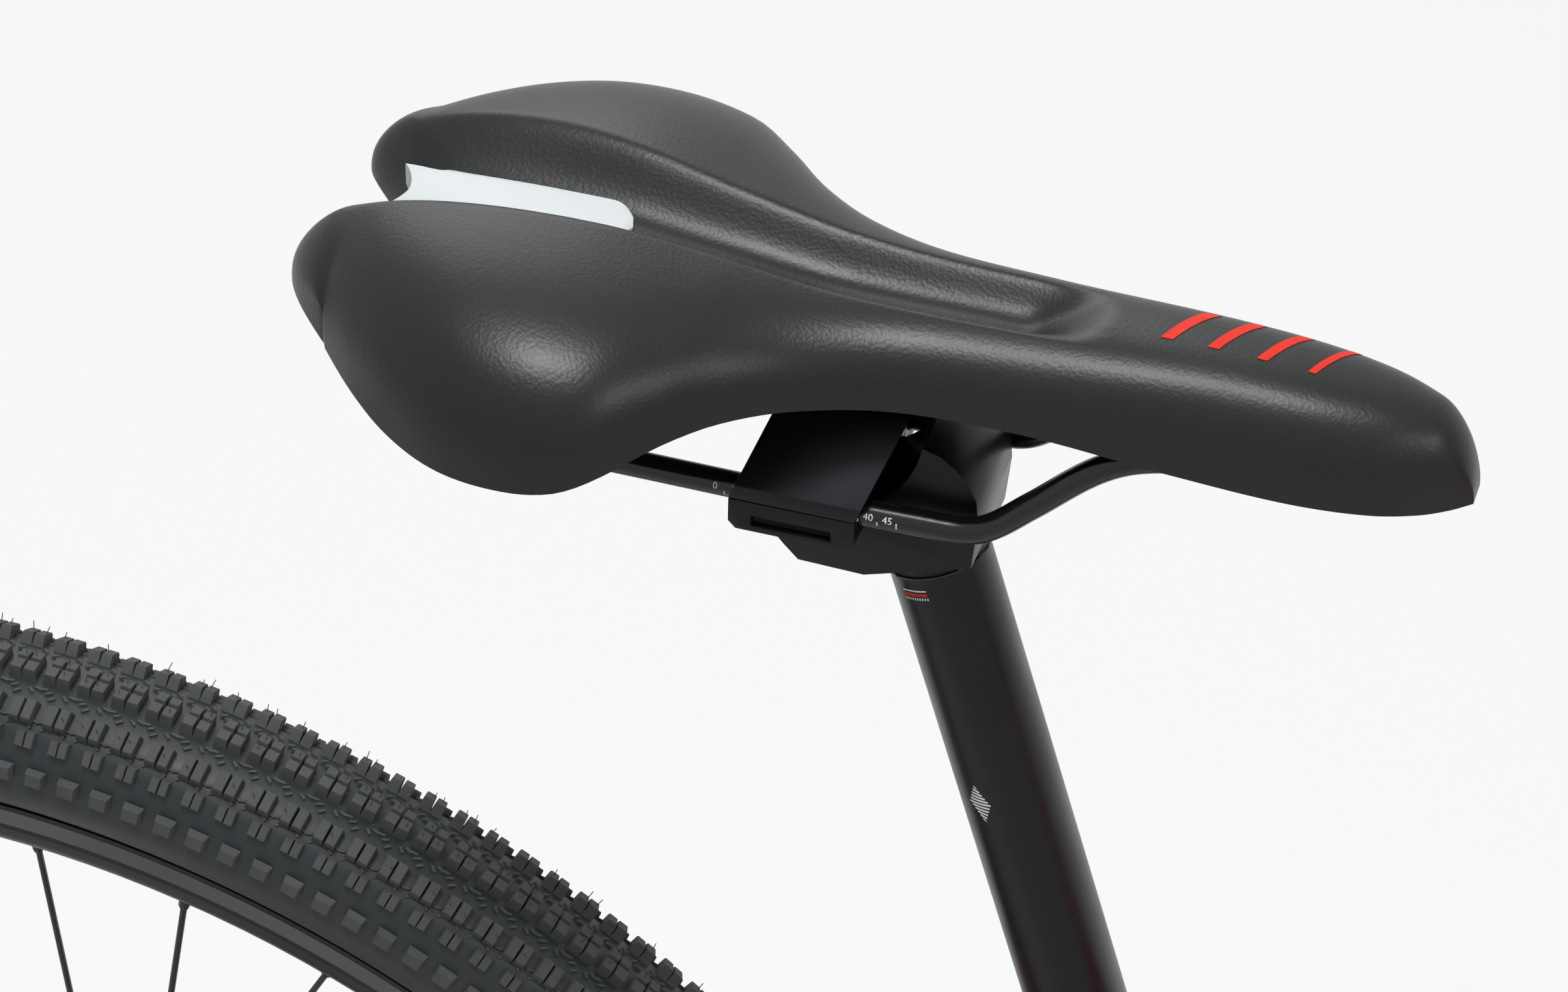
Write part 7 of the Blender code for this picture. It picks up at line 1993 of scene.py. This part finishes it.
def run(context, *steps):
    """Make the finishes from the chosen colours, once, and then a group of pieces."""
    if not FINISHES:
        FINISHES.update(make_finishes(context.scene.bike_colours))
    for step in steps:
        step()
    return {"FINISHED"}


class BIKE_OT_frame(bpy.types.Operator):
    """Build the welded frame"""
    bl_idname = "bike.frame"
    bl_label = "Frame"

    def execute(self, context):
        return run(context, make_frame)


class BIKE_OT_wheels(bpy.types.Operator):
    """Build both wheels with tyres, rims, spokes, hubs and brake discs"""
    bl_idname = "bike.wheels"
    bl_label = "Wheels"

    def execute(self, context):
        return run(context, make_wheels)


class BIKE_OT_drivetrain(bpy.types.Operator):
    """Build cranks, pedals, chain, sprockets, derailleur and calipers"""
    bl_idname = "bike.drivetrain"
    bl_label = "Drivetrain"

    def execute(self, context):
        return run(context, make_drivetrain)


class BIKE_OT_fork(bpy.types.Operator):
    """Build the suspension fork and headset"""
    bl_idname = "bike.fork"
    bl_label = "Fork"

    def execute(self, context):
        return run(context, make_fork)


class BIKE_OT_cockpit(bpy.types.Operator):
    """Build stem, handlebar, grips, levers and shifter"""
    bl_idname = "bike.cockpit"
    bl_label = "Cockpit"

    def execute(self, context):
        return run(context, make_cockpit)


class BIKE_OT_seatpost(bpy.types.Operator):
    """Build the seatpost and the saddle clamp"""
    bl_idname = "bike.seatpost"
    bl_label = "Seatpost and clamp"

    def execute(self, context):
        return run(context, make_post, make_clamp)


class BIKE_OT_saddle(bpy.types.Operator):
    """Build the saddle with its cover, shell, plate and rails"""
    bl_idname = "bike.saddle"
    bl_label = "Saddle"

    def execute(self, context):
        return run(context, make_saddle)


class BIKE_OT_cables(bpy.types.Operator):
    """Build the brake hoses and the shift cable"""
    bl_idname = "bike.cables"
    bl_label = "Hoses and cable"

    def execute(self, context):
        return run(context, make_cables)


class BIKE_OT_studio(bpy.types.Operator):
    """Set up floor, lamps and camera"""
    bl_idname = "bike.studio"
    bl_label = "Studio"

    def execute(self, context):
        make_studio(context.scene.bike_colours)
        return {"FINISHED"}


class BIKE_PT_panel(bpy.types.Panel):
    """Lists the sizes, the colours and the steps"""
    bl_idname = "BIKE_PT_panel"
    bl_label = "Mountain bike"
    bl_space_type = "VIEW_3D"
    bl_region_type = "UI"
    bl_category = "Bike"

    def draw(self, context):
        column = self.layout.column()
        column.prop(context.scene.bike_sizes, "tread_blocks")
        for name in ("accent", "cover", "plate", "floor"):
            column.prop(context.scene.bike_colours, name)
        for step in STEPS:
            column.operator(step.bl_idname)


STEPS = (BIKE_OT_studio, BIKE_OT_saddle, BIKE_OT_seatpost, BIKE_OT_wheels, BIKE_OT_frame, BIKE_OT_fork,
    BIKE_OT_cockpit, BIKE_OT_drivetrain, BIKE_OT_cables)
CLASSES = (BikeSizes, BikeColours) + STEPS + (BIKE_PT_panel,)


def register():
    """Make the steps and the panel known to Blender."""
    for kind in CLASSES:
        bpy.utils.register_class(kind)
    bpy.types.Scene.bike_sizes = PointerProperty(type=BikeSizes)
    bpy.types.Scene.bike_colours = PointerProperty(type=BikeColours)


def unregister():
    """Take them away again."""
    del bpy.types.Scene.bike_sizes
    del bpy.types.Scene.bike_colours
    for kind in reversed(CLASSES):
        bpy.utils.unregister_class(kind)


def main():
    """Build everything in order."""
    register()
    bpy.ops.bike.studio()
    bpy.ops.bike.saddle()
    bpy.ops.bike.seatpost()
    bpy.ops.bike.wheels()
    bpy.ops.bike.frame()
    bpy.ops.bike.fork()
    bpy.ops.bike.cockpit()
    bpy.ops.bike.drivetrain()
    bpy.ops.bike.cables()


if __name__ == "__main__":
    main()
